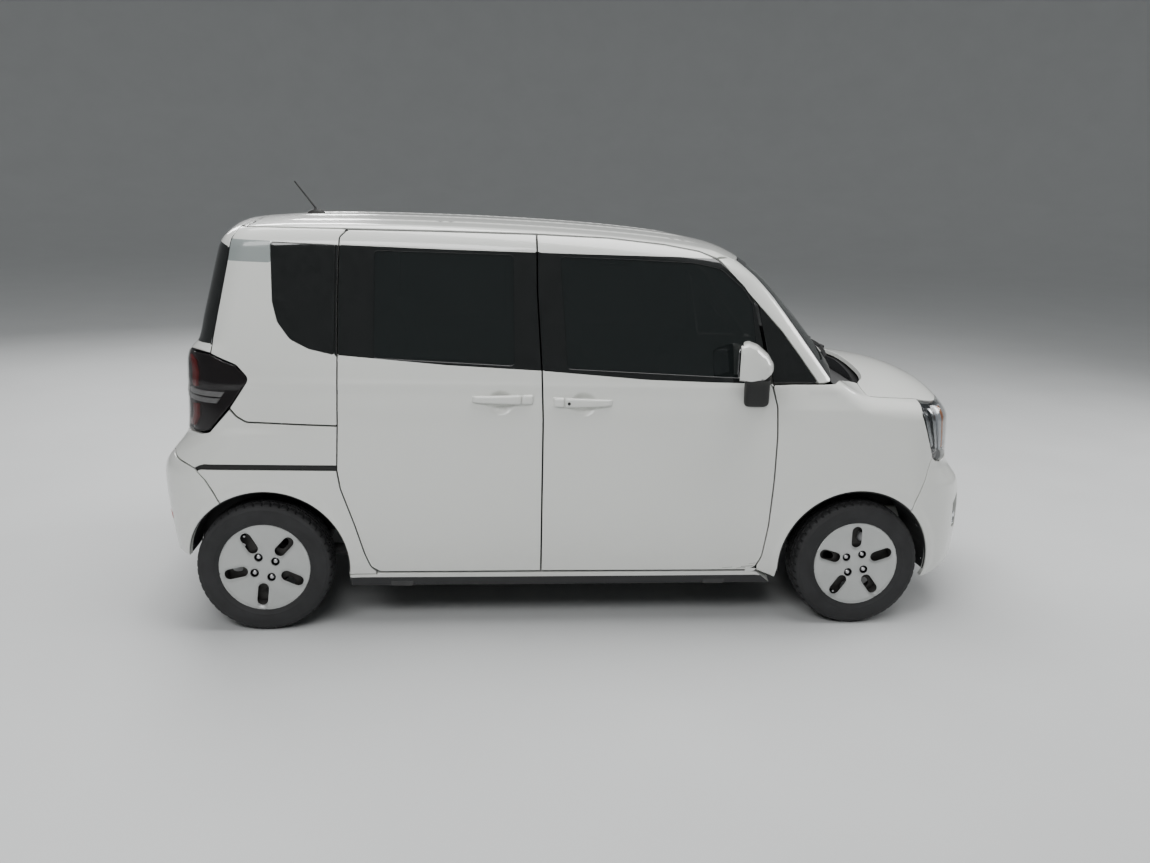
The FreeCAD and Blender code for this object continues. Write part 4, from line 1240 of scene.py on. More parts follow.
def smooth_path(pts, per=8, ring=False):
    """points on a soft curve through the given ones"""
    p = np.asarray(pts, float)
    n = len(p)
    out = []
    rng = range(n) if ring else range(n - 1)
    for i in rng:
        p0 = p[i - 1] if (i > 0 or ring) else p[0]
        p1, p2 = p[i], p[(i + 1) % n]
        p3 = p[(i + 2) % n] if (ring or i + 2 < n) else p[-1]
        for k in range(per):
            t = k / per
            out.append(0.5 * ((2 * p1) + (-p0 + p2) * t + (2 * p0 - 5 * p1 + 4 * p2 - p3) * t * t
                              + (-p0 + 3 * p1 - 3 * p2 + p3) * t ** 3))
    if not ring:
        out.append(p[-1])
    return out


def rbox(x0, x1, y0, y1, z0, z1, r=6.0, seg=3):
    """block with every edge rounded"""
    bm = bmesh.new()
    bmesh.ops.create_cube(bm, size=1.0)
    for q in bm.verts:
        q.co = Vector(((x0 + x1) / 2 + q.co.x * (x1 - x0), (y0 + y1) / 2 + q.co.y * (y1 - y0),
                       (z0 + z1) / 2 + q.co.z * (z1 - z0)))
    r = min(r, 0.49 * min(abs(x1 - x0), abs(y1 - y0), abs(z1 - z0)))
    bmesh.ops.bevel(bm, geom=list(bm.edges), offset=r, segments=seg, affect="EDGES", profile=0.5)
    bm.verts.index_update()
    v = [tuple(q.co) for q in bm.verts]
    f = [tuple(q.index for q in g.verts) for g in bm.faces]
    bm.free()
    return fix(v, f)


def prism(outline, place, t0, t1, bev=1.5, seg=2):
    """outline (a, b) pushed from t0 to t1 with rounded rims; place(a, b, t)"""
    o = np.asarray(outline, float)
    if area2(o) < 0:
        o = o[::-1]
    secs = []
    d = 1 if t1 > t0 else -1
    steps = [(math.pi / 2 * k / seg) for k in range(seg + 1)]
    for a in steps:
        q = inset(o, bev * (1 - math.sin(a)))
        secs.append([place(p[0], p[1], t0 + d * bev * (1 - math.cos(a))) for p in q])
    for a in steps[::-1]:
        q = inset(o, bev * (1 - math.sin(a)))
        secs.append([place(p[0], p[1], t1 - d * bev * (1 - math.cos(a))) for p in q])
    return loft(secs)


def circle(cx, cy, r, n=24, a0=0.0):
    return [(cx + r * math.cos(a0 + 2 * math.pi * k / n), cy + r * math.sin(a0 + 2 * math.pi * k / n))
            for k in range(n)]


def capsule(cx, cy, length, width, ang, n=9):
    """rounded slot, long axis at ang"""
    r = width / 2
    h = length / 2 - r
    out = []
    for k in range(n):
        a = -math.pi / 2 + math.pi * k / (n - 1)
        out.append((h + r * math.cos(a), r * math.sin(a)))
    for k in range(n):
        a = math.pi / 2 + math.pi * k / (n - 1)
        out.append((-h + r * math.cos(a), r * math.sin(a)))
    c, s_ = math.cos(ang), math.sin(ang)
    return [(cx + c * p[0] - s_ * p[1], cy + s_ * p[0] + c * p[1]) for p in out]


def plate(outline, holes, height, place, grid=8.0, edge=1.5, deep=6.0, extra=()):
    """sheet over a 2-D outline with holes, raised by height(a, b), with rolled
    edges and walls; returns verts, faces and analytic normals are left to shading"""
    o = np.asarray(outline, float)
    if area2(o) < 0:
        o = o[::-1]
    loops = [o]
    for h in holes:
        h = np.asarray(h, float)
        loops.append(h[::-1] if area2(h) > 0 else h)
    inner = [inset(l, edge) for l in loops]
    V2, E2, rings = [], [], []
    for l in inner:
        b = len(V2)
        V2.extend(l)
        E2.extend((b + i, b + (i + 1) % len(l)) for i in range(len(l)))
        rings.append(list(range(b, b + len(l))))
    lo, hi = o.min(0), o.max(0)
    gx, gy = np.meshgrid(np.arange(lo[0] + grid / 2, hi[0], grid), np.arange(lo[1] + grid / 2, hi[1], grid))
    gx[1::2] += grid / 2
    g = np.stack([gx.ravel(), gy.ravel()], 1)
    if len(extra):
        g = np.vstack([g, np.asarray(extra, float)])
    ok = inside(inner[0], g) & (edge_dist(inner[0], g) > grid * 0.4)
    for h in inner[1:]:
        ok &= ~inside(h, g)
        ok &= edge_dist(h, g) > grid * 0.4
    g = g[ok]
    rv, _, rf, ov, _, _ = delaunay_2d_cdt([Vector(q) for q in V2] + [Vector(q) for q in g], E2, [], 0, 1e-5)
    rv = np.array([tuple(q) for q in rv])
    back = {}
    for i, src in enumerate(ov):
        for s_ in src:
            back[s_] = i
    cen = np.array([np.mean([rv[i] for i in f], axis=0) for f in rf])
    keep = inside(inner[0], cen)
    for h in inner[1:]:
        keep &= ~inside(h, cen)
    tris = [tuple(f) for f, k in zip(rf, keep) if k]
    ht = np.array([height(p[0], p[1]) for p in rv])
    v = [place(p[0], p[1], t) for p, t in zip(rv, ht)]
    f = []
    for t in tris:
        a, b, c = (rv[i] for i in t)
        ccw = (b[0] - a[0]) * (c[1] - a[1]) - (b[1] - a[1]) * (c[0] - a[0]) > 0
        f.append(t if ccw else t[::-1])
    nfront = len(f)
    for ids, ol in zip(rings, loops):
        ids = [back[i] for i in ids]
        n = len(ids)
        ii = np.array([rv[i] for i in ids])
        hh = np.array([ht[i] for i in ids])
        prev = ids
        for a in (math.pi / 4, math.pi / 2):
            q = ii + (ol - ii) * math.sin(a)
            b = len(v)
            v.extend(place(p[0], p[1], h - edge * (1 - math.cos(a))) for p, h in zip(q, hh))
            cur = list(range(b, b + n))
            for k in range(n):
                k2 = (k + 1) % n
                f.append((prev[k], cur[k], cur[k2], prev[k2]))
            prev = cur
        b = len(v)
        v.extend(place(p[0], p[1], h - deep) for p, h in zip(ol, hh))
        cur = list(range(b, b + n))
        for k in range(n):
            k2 = (k + 1) % n
            f.append((prev[k], cur[k], cur[k2], prev[k2]))
    # back face
    b = len(v)
    v.extend(place(p[0], p[1], t - deep) for p, t in zip(rv, ht))
    f.extend(tuple(b + i for i in t[::-1]) for t in f[:nfront])
    v = np.array(v, float)
    t = f[0]
    return v, f


def turn(vf):
    return vf[0], [tuple(q[::-1]) for q in vf[1]]


def facing(vf, n_front, way):
    """flip all the faces if the first ones don't look along way"""
    v, f = vf
    s_ = 0.0
    for q in f[:n_front]:
        s_ += float(np.dot(np.cross(v[q[1]] - v[q[0]], v[q[2]] - v[q[0]]), way))
    return (v, f) if s_ > 0 else turn(vf)


# ------------------------------------------------------------------- wheels
WHEELS = [  # name, x, side, turn of the slots, turn of the nuts, slot with the valve
    ("front_right", 2520.0, -1, 19.0, 55.0, 3), ("rear_right", 0.0, -1, 48.0, 30.0, 1),
    ("front_left", 2520.0, 1, 31.0, 12.0, 2), ("rear_left", 0.0, 1, 5.0, 40.0, 4)]
TY = 710.0
TYRE_PROF = [(181, 62), (184, 68), (189, 71.5), (195, 73.0), (203, 76.5), (205, 77.6), (207, 77.4), (216, 80.0),
             (228, 82.0), (240, 82.4), (250, 81.0), (252, 81.4), (254, 80.4), (261, 77.5), (263.5, 76.6),
             (266, 73.6)]
CROWN = [(269.5, 71.0), (272.2, 66.0), (273.9, 60.0), (275.0, 51.0)]
TREAD = [(275.3, 46.0), (275.6, 43.0), (268.0, 42.0), (268.0, 36.5), (275.9, 35.5), (276.3, 27.0),
         (276.5, 18.5), (268.6, 17.5), (268.6, 11.5), (276.6, 10.5), (276.8, 4.0)]
for name, wx, s, a_slot, a_nut, valve in WHEELS:
    body = name + "_wheel"

    def wheel_at(r, a, t, wx=wx, s=s):
        return (wx + r * math.cos(a), s * (TY + t), 276.8 + r * math.sin(a))

    # tyre: sidewalls, shoulder blocks and ribs with cross cuts
    half = TYRE_PROF + CROWN + TREAD
    prof = half + [(r, -t) for r, t in half[::-1]]
    n = 288
    v, secs = [], []
    ang = np.linspace(0, 2 * math.pi, n, endpoint=False)
    for k, (r, t) in enumerate(prof):
        at, ring_ = abs(t), []
        for i in range(n):
            rr, q = r, i % 6
            if 43.5 < at < 72.0 and r > 266.5 and q == (0 if t > 0 else 3):
                rr = r - 6.0 * min(1.0, (72.5 - at) / 4.0 + 0.3)
            elif at < 36.0 and r > 270 and q == ((2 if at > 20 else 5) + (1 if t < 0 else 0)) % 6:
                rr = r - 4.5
            ring_.append(wheel_at(rr, ang[i], t))
        secs.append(np.array(ring_))
    bag = Bag().add(loft(secs, cap=False, ring=True), 0)
    bag.out(name + "_tyre_tread", [TYRE], body, name + "_tyre", "tyre_rubber", sharp=28)

    # pressed steel wheel and drop-centre rim behind the trim
    rim = [(180, 62), (186, 66), (190.5, 68.5), (190.5, 65.5), (184, 61), (178, 56), (172, 50), (168, 30), (160, 18),
           (160, -20), (168, -34), (174, -50), (180, -60), (188, -66), (190.5, -69), (190.5, -71.5),
           (184, -68), (177, -62), (170, -52), (164, -36), (156, -22), (156, 16), (163, 32), (167, 50), (172, 58)]
    bag = Bag().add(lathe(rim, wheel_at, 96), 0)
    holes = [capsule(118 * math.cos(a), 118 * math.sin(a), 46, 34, a) for a in
             [math.radians(a_nut + 22 + 45 * k) for k in range(8)]]
    disc = plate(circle(0, 0, 160, 96), holes + [circle(0, 0, 27, 32)],
                 lambda a, b: 28 + 12 * math.exp(-((math.hypot(a, b) - 82) / 26.0) ** 2),
                 lambda a, b, t: (wx + a, s * (TY + t), 276.8 + b), grid=13, edge=1.5, deep=4)
    bag.add(facing(disc, 50, (0, s, 0)), 0)
    # hub end behind the middle
    bag.add(lathe([(28, 46), (30, 40), (30, 8), (12, 8), (12, 46), (20, 49)], wheel_at, 32), 0)
    bag.out(name + "_steel_wheel", [DARKMETAL], body, name + "_rim", "wheel_silver")

    # wheel trim: shallow dish, five rounded slots and four nut wells
    slots, bevels = [], []
    for k in range(5):
        a = math.radians(a_slot + 72 * k)
        if s > 0:
            a = math.pi - a
        slots.append((capsule(120 * math.cos(a), 120 * math.sin(a), 96, 44, a), a))
    nuts = [(50 * math.cos(q), 50 * math.sin(q)) for q in
            [math.radians(a_nut + 90 * k) for k in range(4)]]

    def dish(a, b, slots=slots, nuts=nuts):
        r = math.hypot(a, b)
        t = 69.5 - 3.0 * (1 - min(1, r / 188)) - 2.2 * math.exp(-(r / 40.0) ** 2)
        t += 3.0 * math.exp(-((r - 182) / 5.0) ** 2)
        t -= 9.0 * max(0.0, (r - 186) / 5.0) ** 1.5
        for _, ang_ in slots:
            c, q = math.cos(ang_), math.sin(ang_)
            u, w = a * c + b * q, -a * q + b * c
            du = max(abs(u - 120) - 26, 0)
            d = math.hypot(du, w) - 22
            if d < 11:
                t -= 4.2 * (1 - max(d, 0) / 11.0) ** 1.6
            # shallow flute towards the middle
            if u > 30 and u < 76:
                t -= 1.2 * math.exp(-(w / 13.0) ** 2)
        for p in nuts:
            d = math.hypot(a - p[0], b - p[1]) - 17.5
            if d < 4:
                t -= 1.6 * (1 - max(d, 0) / 4.0)
        return t

    extra = []
    for sl, ang_ in slots:
        for grow in (3.0, 7.0, 11.0, 15.0):
            extra.extend(capsule(120 * math.cos(ang_), 120 * math.sin(ang_), 96 + 2 * grow, 44 + 2 * grow, ang_, 12))
    for p in nuts:
        for r in (21, 25):
            extra.extend(circle(p[0], p[1], r, 20))
    for r in (170, 176, 180, 184, 187):
        extra.extend(circle(0, 0, r, 110))
    trim = plate(circle(0, 0, 191, 132), [q[0] for q in slots] + [circle(p[0], p[1], 16.5, 24) for p in nuts],
                 dish, lambda a, b, t: (wx + a, s * (TY + t), 276.8 + b), grid=9, edge=1.6, deep=3.2, extra=extra)
    bag = Bag().add(facing(trim, 80, (0, s, 0)), 0)
    # wells with their nuts
    for p in nuts:
        def well(r, a, t, p=p):
            return (wx + p[0] + r * math.cos(a), s * (TY + t), 276.8 + p[1] + r * math.sin(a))
        bag.add(lathe([(16.6, 66), (17.6, 66), (17.6, 46), (16.0, 46)], well, 20), 1)
        hexa = [(0, 62.5), (7.5, 62.0), (9.6, 60.0), (9.6, 44)]
        secs = []
        for r, t in [(0.4, 63), (6.5, 62.6), (9.2, 60.5), (9.8, 58), (9.8, 46)]:
            secs.append([well(r * (1.0 if (r < 9.5) else 1.06 if i % 4 == 0 else 0.98), 2 * math.pi * i / 24, t) for i in range(24)])
        bag.add(loft(secs), 2)
    # valve in the end of one slot
    va = slots[valve][1]
    px, pz = 158 * math.cos(va), 158 * math.sin(va)
    bag.add(tube([(wx + px * 1.02, s * (TY + 40), 276.8 + pz * 1.02), (wx + px, s * (TY + 52), 276.8 + pz),
                  (wx + px * 0.99, s * (TY + 64), 276.8 + pz * 0.99)], [5.0, 4.6, 4.2], 12), 1)
    bag.add(tube([(wx + px * 0.99, s * (TY + 63), 276.8 + pz * 0.99),
                  (wx + px * 0.985, s * (TY + 67.5), 276.8 + pz * 0.985)], [4.6, 3.8], 12), 2)
    bag.out(name + "_wheel_trim", [SILVER, GLOSSBLK, BOLT], body, None, "wheel_silver", sharp=32)

# -------------------------------------------------------------------- brakes
for s, nm in SIDES:
    for wx, kn in ((2520.0, "front_%s_knuckle" % nm), (0.0, "car_body")):
        def at(r, a, t, wx=wx, s=s):
            return (wx + r * math.cos(a), s * (TY + t), 276.8 + r * math.sin(a))
        bag = Bag()
        if wx > 100:
            bag.add(lathe([(120, -44), (120, -38), (66, -38), (62, -30), (62, 4), (54, 4), (54, -44)], at, 64), 1)
            bag.add(lathe([(120, -52), (120, -47), (60, -47), (60, -52)], at, 64), 1)
            for k in range(36):
                a = 2 * math.pi * k / 36
                bag.add(tube([at(66, a, -45.5), at(117, a + 0.06, -45.5)], 2.2, 5), 1)
            sec = []
            for ang_ in np.linspace(math.radians(150), math.radians(210), 9):
                sec.append([at(r, ang_, t) for r, t in ((74, -66), (128, -66), (132, -58), (132, -36), (126, -28), (74, -28), (72, -36), (72, -60))])
            bag.add(loft(sec), 0)
            bag.add(lathe([(34, -62), (34, -84), (22, -88), (10, -88), (10, -62)],
                          lambda r, a, t: (wx - 100 + r * math.cos(a), s * (TY + t), 276.8 + r * math.sin(a)), 24), 0)
        else:
            bag.add(lathe([(104, -66), (108, -62), (110, -30), (106, -4), (98, 2), (30, 2), (30, -5), (94, -9), (98, -15), (98, -62)], at, 64), 0)
            bag.add(lathe([(116, -70), (116, -66), (40, -66), (40, -70)], at, 64), 0)
            for k in range(24):
                a = 2 * math.pi * k / 24
                bag.add(tube([at(108, a, -52), at(111, a, -40), at(108, a, -12)], 2.4, 6), 0)
        bag.out(("front_%s_brake" if wx > 100 else "rear_%s_brake_drum") % nm, [DARKMETAL, BOLT], kn)

# ---------------------------------------------------------- outside mirrors
for s, nm in SIDES:
    body = "front_%s_door" % nm
    OUT = [(1937, 1078, 10), (1990, 1072, 60), (2046, 1080, 30), (2078, 1108, 26), (2079, 1136, 40),
           (2052, 1176, 60), (2006, 1212, 50), (1966, 1226, 26), (1938, 1219, 10)]
    base_sec = np.array(rounded(OUT, 3.0))
    # same number of points, evenly spaced
    loop = dense([tuple(p) for p in base_sec], 4.0)
    loop = np.array(loop)[::max(1, len(loop) // 96)]
    mid = np.array([1968.0, 1140.0])
    secs, mids = [], []
    for k in range(19):
        t = k / 18.0
        y = 818 + (986 - 818) * t
        u = abs(2 * t - 1)
        e = (1 - u ** 3.4) ** (1 / 3.4) if u < 1 else 0.0
        e = 0.28 + 0.72 * e
        sx = e if t < 0.5 else e * (1 - 0.10 * (t - 0.5))
        q = loop - mid
        lean = 10 * (t - 0.5)
        p = np.stack([mid[0] + q[:, 0] * sx * (0.96 + 0.04 * (1 - t)) - 40 * t, np.full(len(q), s * y),
                      mid[1] + 36 + q[:, 1] * 1.03 * (0.35 + 0.65 * e) + lean * 0.3], 1)
        # the glass side stays one plane, turned toward the driver
        rear = q[:, 0] < -26
        p[rear, 0] = 1950 - 58 * t + (1 - e) * 22
        secs.append(p)
    vf = loft(secs)
    cen = [np.mean([vf[0][i] for i in q], axis=0) for q in vf[1]]
    hi = [max(vf[0][i][2] for i in q) for q in vf[1]]
    mi = [1 if (h < 1130 + 3 * math.sin(c[0] / 30.0) or c[0] < 1956 - 58 * (abs(c[1]) - 818) / 168.0) else 0
          for c, h in zip(cen, hi)]
    bag = Bag().add(vf, mi)
    glass_out = rounded([(836, 1130, 18), (958, 1124, 22), (964, 1234, 26), (940, 1246, 24), (850, 1240, 22)], 3)
    bag.add(prism(glass_out, lambda a, b, t: (t + 12 - 58 * (a - 818) / 168.0, s * a, b), 1941, 1932.5, 2.0), 1)
    bag.add(prism(inset(np.array(glass_out), 6), lambda a, b, t: (t + 12 - 58 * (a - 818) / 168.0, s * a, b),
                  1938, 1931.6, 0.6), 2)
    # arm from the door, broadest where it meets the skin
    foot, arm_secs = None, []
    for k in range(11):
        t = k / 10.0
        w0, w1 = 54 - 4 * t, 38 - 8 * t
        cx = 2026 - 24 * t
        # centre line rises while it leaves the skin
        y = 786 + 94 * (t ** 1.25)
        z = 1012 + 102 * math.sin(t * math.pi / 2) ** 1.6
        tilt = t * math.radians(72)
        sec = []
        for q in range(28):
            a = 2 * math.pi * q / 28
            ca, sa = math.cos(a), math.sin(a)
            px = math.copysign(abs(ca) ** 0.45, ca) * w0
            pz = math.copysign(abs(sa) ** 0.5, sa) * (w1 if t < 0.01 else w1 * (1 - 0.12 * t))
            sec.append((cx + px, s * (y - pz * math.sin(tilt)), z + pz * math.cos(tilt)))
        arm_secs.append(sec)
    bag.add(loft(arm_secs), 3)
    bag.out("%s_outside_mirror" % nm, [PAINT, GLOSSBLK, CHROME, RUBBER], body, None, "white_paint", sharp=34)

# ------------------------------------------------------------------ handles
HANDLES = [  # side, body, piece, x of the fixed end, x of the free end, z
    (-1, "front_right_door", "front_right_door_handle", 1181, 1425, 986, True),
    (-1, "car_body", "sliding_door_handle", 1099, 850, 996, False),
    (1, "front_left_door", "front_left_door_handle", 1181, 1425, 986, True),
    (1, "rear_left_door", "rear_left_door_handle", 352, 598, 1000, False)]
for s, body, pname, xa, xb, z, key in HANDLES:
    d = 1 if xb > xa else -1
    L = abs(xb - xa)
    skin = on_side([(xa + d * L * t, z) for t in (0, 0.12, 0.25, 0.4, 0.6, 0.8, 1.0)], s)
    ybase = float(np.mean(np.abs(skin[:, 1])))
    bag = Bag()
    # fixed end cap
    def bar(t0, t1, n=14):
        secs = []
        for k in range(n + 1):
            t = t0 + (t1 - t0) * k / n
            x = xa + d * L * t
            h = 19.5 - 6.5 * t ** 1.5
            end = min((t - t0), (t1 - t)) * L
            rnd = math.sqrt(max(0.0, 1 - (1 - min(1, end / 7.0)) ** 2)) * 0.55 + 0.45
            off = 30 * (0.62 + 0.38 * math.sin(math.pi * min(1, max(0, t))) ** 0.6)
            th = (13.5 - 2.5 * t) * rnd
            hh = h * (0.78 + 0.22 * rnd)
            sec = []
            for q in range(24):
                a = 2 * math.pi * q / 24
                ca, sa = math.cos(a), math.sin(a)
                py = math.copysign(abs(ca) ** 0.7, ca) * th / 1.0
                pz = math.copysign(abs(sa) ** 0.62, sa) * hh
                sec.append((x, s * (ybase + off - 12 + py), z + pz + 1.5 * (1 - t)))
            secs.append(sec)
        return loft(secs)
    bag.add(bar(0.0, 0.185, 8), 0)
    bag.add(bar(0.197, 1.0, 26), 0)
    # feet and gaskets on the skin
    for t0, t1 in ((0.02, 0.17), (0.84, 0.975)):
        x0, x1 = sorted((xa + d * L * t0, xa + d * L * t1))
        hh = 17 if t0 < 0.5 else 11
        bag.add(rbox(x0, x1, *sorted((s * (ybase - 6), s * (ybase + 20))), z - hh, z + hh, 5), 0)
        bag.add(rbox(x0 - 4, x1 + 4, *sorted((s * (ybase - 4), s * (ybase + 2.0))), z - hh - 3, z + hh + 3, 1.5), 1)
    if key:
        def kp(r, a, t):
            return (xa + d * L * 0.262 + r * math.cos(a), s * (ybase + 26 + t), z - 2 + r * math.sin(a))
        bag.add(lathe([(0.5, 6.2), (5.2, 6.0), (6.4, 5.0), (6.4, -6), (0.5, -6)], kp, 24, closed=False), 1)
    bag.out(pname, [PAINT, RUBBER], body, None, "white_paint", sharp=40)

# ------------------------------------------------------------------ antenna
bag = Bag()
bag.add(loft([[(142 + (rx * math.cos(a)) * (1 + 0.35 * (math.cos(a) < 0)), ry * math.sin(a), 1694 + h)
               for a in np.linspace(0, 2 * math.pi, 24, endpoint=False)]
              for rx, ry, h in ((34, 22, 0), (33, 21, 6), (27, 17, 12), (18, 12, 17), (10, 8, 20), (4, 4, 21.5))]), 0)
mast = [(136, 0, 1708), (130, 0, 1722), (44, 0, 1832)]
bag.add(tube([mast[0], mast[1]], [6.5, 5.2], 12), 0)
steps = 40
path = [np.array(mast[1]) + (np.array(mast[2]) - np.array(mast[1])) * k / steps for k in range(steps + 1)]
bag.add(tube(path, [3.9 + 0.5 * (k % 2) - 0.9 * k / steps for k in range(steps + 1)], 10), 0)
bag.add(tube([path[-1], np.array(path[-1]) + (-2.5, 0, 3.2)], [4.0, 2.6], 10), 0)
bag.out("roof_antenna", [RUBBER], "car_body", None, "black_plastic")

# ----------------------------------------------- cowl, wipers, front and rear
def cowl_section(y):
    t = min(1.0, (y / 600.0) ** 2)
    tb = min(1.0, (y / abs(base[1])) ** 2)
    xs, zs = 2470 - 100 * tb, 1118 - 42 * tb
    xh = float(SCUTTLE_X(min(abs(y), 572.0)))
    zh = float(HOOD(xh)) - 0.000165 * y * y - 14 * t ** 3
    return [(xs - 16, zs + 2), (xs + 6, zs - 12 - 8 * t), (xh - 26, zh - 20 - 34 * t), (xh + 8, zh - 27 - 40 * t),
            (xh + 36, zh - 30 - 44 * t)]


def sheet_of(lines, thick):
    """closed skin over a grid of 3-D lines, thick down"""
    a = np.array(lines, float)
    n, m = a.shape[:2]
    v = np.vstack([a.reshape(-1, 3), (a - np.array([0, 0, thick])).reshape(-1, 3)])
    f, o = [], n * m
    for i in range(n - 1):
        for j in range(m - 1):
            q = (i * m + j, i * m + j + 1, (i + 1) * m + j + 1, (i + 1) * m + j)
            f.append(q)
            f.append(tuple(k + o for k in q[::-1]))
    ring_ = [j for j in range(m)] + [i * m + m - 1 for i in range(1, n)] + \
            [(n - 1) * m + j for j in range(m - 2, -1, -1)] + [i * m for i in range(n - 2, 0, -1)]
    for k in range(len(ring_)):
        p, q = ring_[k], ring_[(k + 1) % len(ring_)]
        f.append((q, p, p + o, q + o))
    return fix(v, f)


lines = []
for y in np.linspace(-672, 672, 113):
    sec = cowl_section(y)
    pts = smooth_path([(x, y, z) for x, z in sec], 4)
    lines.append(pts)
bag = Bag().add(sheet_of(lines, 3.0), 0)
for y in np.arange(-430, 431, 13.0):          # air slots over the blower
    if abs(y) > 60:
        sec = cowl_section(y)
        (xa, za), (xb, zb) = sec[1], sec[2]
        p, q = np.array([xa + 6, y, za + 1.0]), np.array([xb - 4, y, zb + 1.5])
        bag.add(tube([p, (p + q) / 2 + (0, 0, 1.0), q], 2.2, 6), 1)
for yp in (520.0, -10.0):
    x, z = cowl_section(yp)[1]
    bag.add(tube([(x + 14, yp, z - 10), (x + 12, yp, z + 10)], [15, 12], 20), 1)
bag.out("scuttle_cover", [PLASTIC, GLOSSBLK], "car_body", "cowl_panel", "black_plastic")


def screen_pt(y, z, off):
    p = front_pts([(y, z)], "cabin")
    n = grad(p, "cabin")
    return (p + n * off)[0]


for nm, yp, ya, yb in (("left", 520.0, 452.0, -92.0), ("right", -10.0, -60.0, -506.0)):
    x, z = cowl_section(yp)[1]
    bag = Bag()
    zb_ = lambda y: 1118 - 42 * (y / abs(base[1])) ** 2
    blade = [screen_pt(y, zb_(y) + 30 + 10 * abs(y - yp) / 400.0, 7.5) for y in np.linspace(ya, yb, 15)]
    top_ = [screen_pt(y, zb_(y) + 30 + 10 * abs(y - yp) / 400.0, 15.0) for y in np.linspace(ya, yb, 15)]
    bag.add(tube(blade, [3.0] + [4.6] * 13 + [3.0], 8), 0)
    bag.add(tube(top_, [3.0] + [6.5 - 0.5 * abs(k - 6) for k in range(13)] + [3.0], 8), 0)
    mid_ = top_[7] + np.array([2, 0, 3])
    piv = np.array([x + 12, yp, z + 14])
    arm = smooth_path([piv, piv + (mid_ - piv) * 0.2 + (-3, 0, 8), piv + (mid_ - piv) * 0.62 + (0, 0, 9), mid_], 6)
    bag.add(tube(arm, list(np.linspace(8.5, 5.0, len(arm))), 10), 1)
    bag.add(tube([piv - (0, 0, 10), piv + (0, 0, 8)], [12, 9], 18), 1)
    bag.add(rbox(mid_[0] - 8, mid_[0] + 8, mid_[1] - 26, mid_[1] + 26, mid_[2] - 7, mid_[2] + 6, 4), 1)
    bag.out("windscreen_wiper_" + nm, [RUBBER, PLASTIC], "car_body", None, "black_plastic")


def front_panel(name_, yz, mat, lift_, rim_, grid_=18, holes_=(), edge_=2.0):
    return panel(name_, fbc, clean(list(front_line_uv(fbc, list(yz) + [yz[0]])[:-1]), 1.5), "car_body", None, rim=rim_,
                 lift=lift_, edge=edge_, mats=[mat], grid=grid_,
                 holes=[front_line_uv(fbc, list(h) + [h[0]])[:-1] for h in holes_])


# lower intake: dark back, lattice bars, silver lip
front_panel("intake_back", [(-490, 250), (490, 250), (600, 320), (612, 380), (520, 466), (-520, 466), (-612, 380), (-600, 320)],
            PLASTIC, -34.0, 6)
for k, (z0, w0) in enumerate(((302, 548), (338, 574), (376, 584), (412, 548))):
    front_panel("intake_bar_%d" % (k + 1), [(-w0, z0 - 6), (w0, z0 - 6), (w0 - 2, z0 + 6), (-w0 + 2, z0 + 6)],
                GLOSSBLK, -13.0, 16, grid_=16)
for k, y0 in enumerate(np.linspace(-420, 420, 8)):
    front_panel("intake_post_%d" % (k + 1), [(y0 - 5, 268), (y0 + 5, 268), (y0 + 5, 446), (y0 - 5, 446)],
                GLOSSBLK, -20.0, 10)
front_panel("front_skid_lip", [(-440, 246), (440, 246), (470, 258), (452, 284), (-452, 284), (-470, 258)], SILVER, 1.5, 16)
for s, nm in SIDES:
    yz = [(s * a, b) for a, b in ((608, 388), (664, 400), (680, 524), (640, 566), (592, 470))]
    front_panel("fog_recess_" + nm, yz, GLOSSBLK, -22.0, 6)
    c = front_pts([(s * 638, 440)])[0]
    n = grad(np.array([c]), "nose")[0]
    u = np.cross(n, (0, 0, 1.0))
    u /= np.linalg.norm(u)
    w_ = np.cross(u, n)

    def fog(r, a, t, c=c, n=n, u=u, w_=w_):
        return c + n * t + u * (r * math.cos(a)) + w_ * (r * math.sin(a))
    bag = Bag()
    bag.add(lathe([(30, -22), (31, -8), (28, -6), (25, -12), (25, -22)], fog, 40), 0)
    bag.add(lathe([(0.5, -8), (12, -8.6), (22, -11), (26, -15), (26, -21), (0.5, -21)], fog, 40, closed=False), 1)
    bag.out("fog_lamp_" + nm, [CHROME, LED], "car_body", None, "lamp_cover")


def number_plate(name_, x, s_, z, body, w=520.0, h=110.0):
    """blank pressed plate with a raised rim and two screws; s_ is +1 facing forward"""
    o_ = rounded([(-w / 2, z - h / 2, 9), (w / 2, z - h / 2, 9), (w / 2, z + h / 2, 9), (-w / 2, z + h / 2, 9)], 3)
    bag = Bag()
    at_ = lambda a, b, t: (x + s_ * t, a, b)
    bag.add(prism(np.array(inset(np.array(o_), -6)), at_, -9, 0.0, 2.0), 1)
    bag.add(prism(o_, at_, -1, 1.6, 0.5), 0)
    ring_ = plate(o_, [inset(np.array(o_), 6)], lambda a, b: 2.6, at_, grid=60, edge=0.6, deep=2.0)
    bag.add(facing(ring_, 20, (s_, 0, 0)), 0)
    for y0 in (-105.0, 105.0):
        def head(r, a, t, y0=y0):
            return (x + s_ * t, y0 + r * math.cos(a), z + r * math.sin(a))
        bag.add(lathe([(0.5, 5.0), (5.0, 4.6), (7.6, 3.4), (8.2, 1.2), (0.5, 1.2)], head, 20, closed=False), 2)
        bag.add(lathe([(0.5, 5.4), (2.2, 5.4), (2.2, 4.2), (0.5, 4.2)], head, 6, closed=False), 1)
    bag.out(name_, [PLATE, PLASTIC, BOLT], body, None, "black_plastic")


number_plate("front_number_plate", 3121.0, 1, 495.0, "car_body")
number_plate("rear_number_plate", -346.0, -1, 777.0, "tailgate")

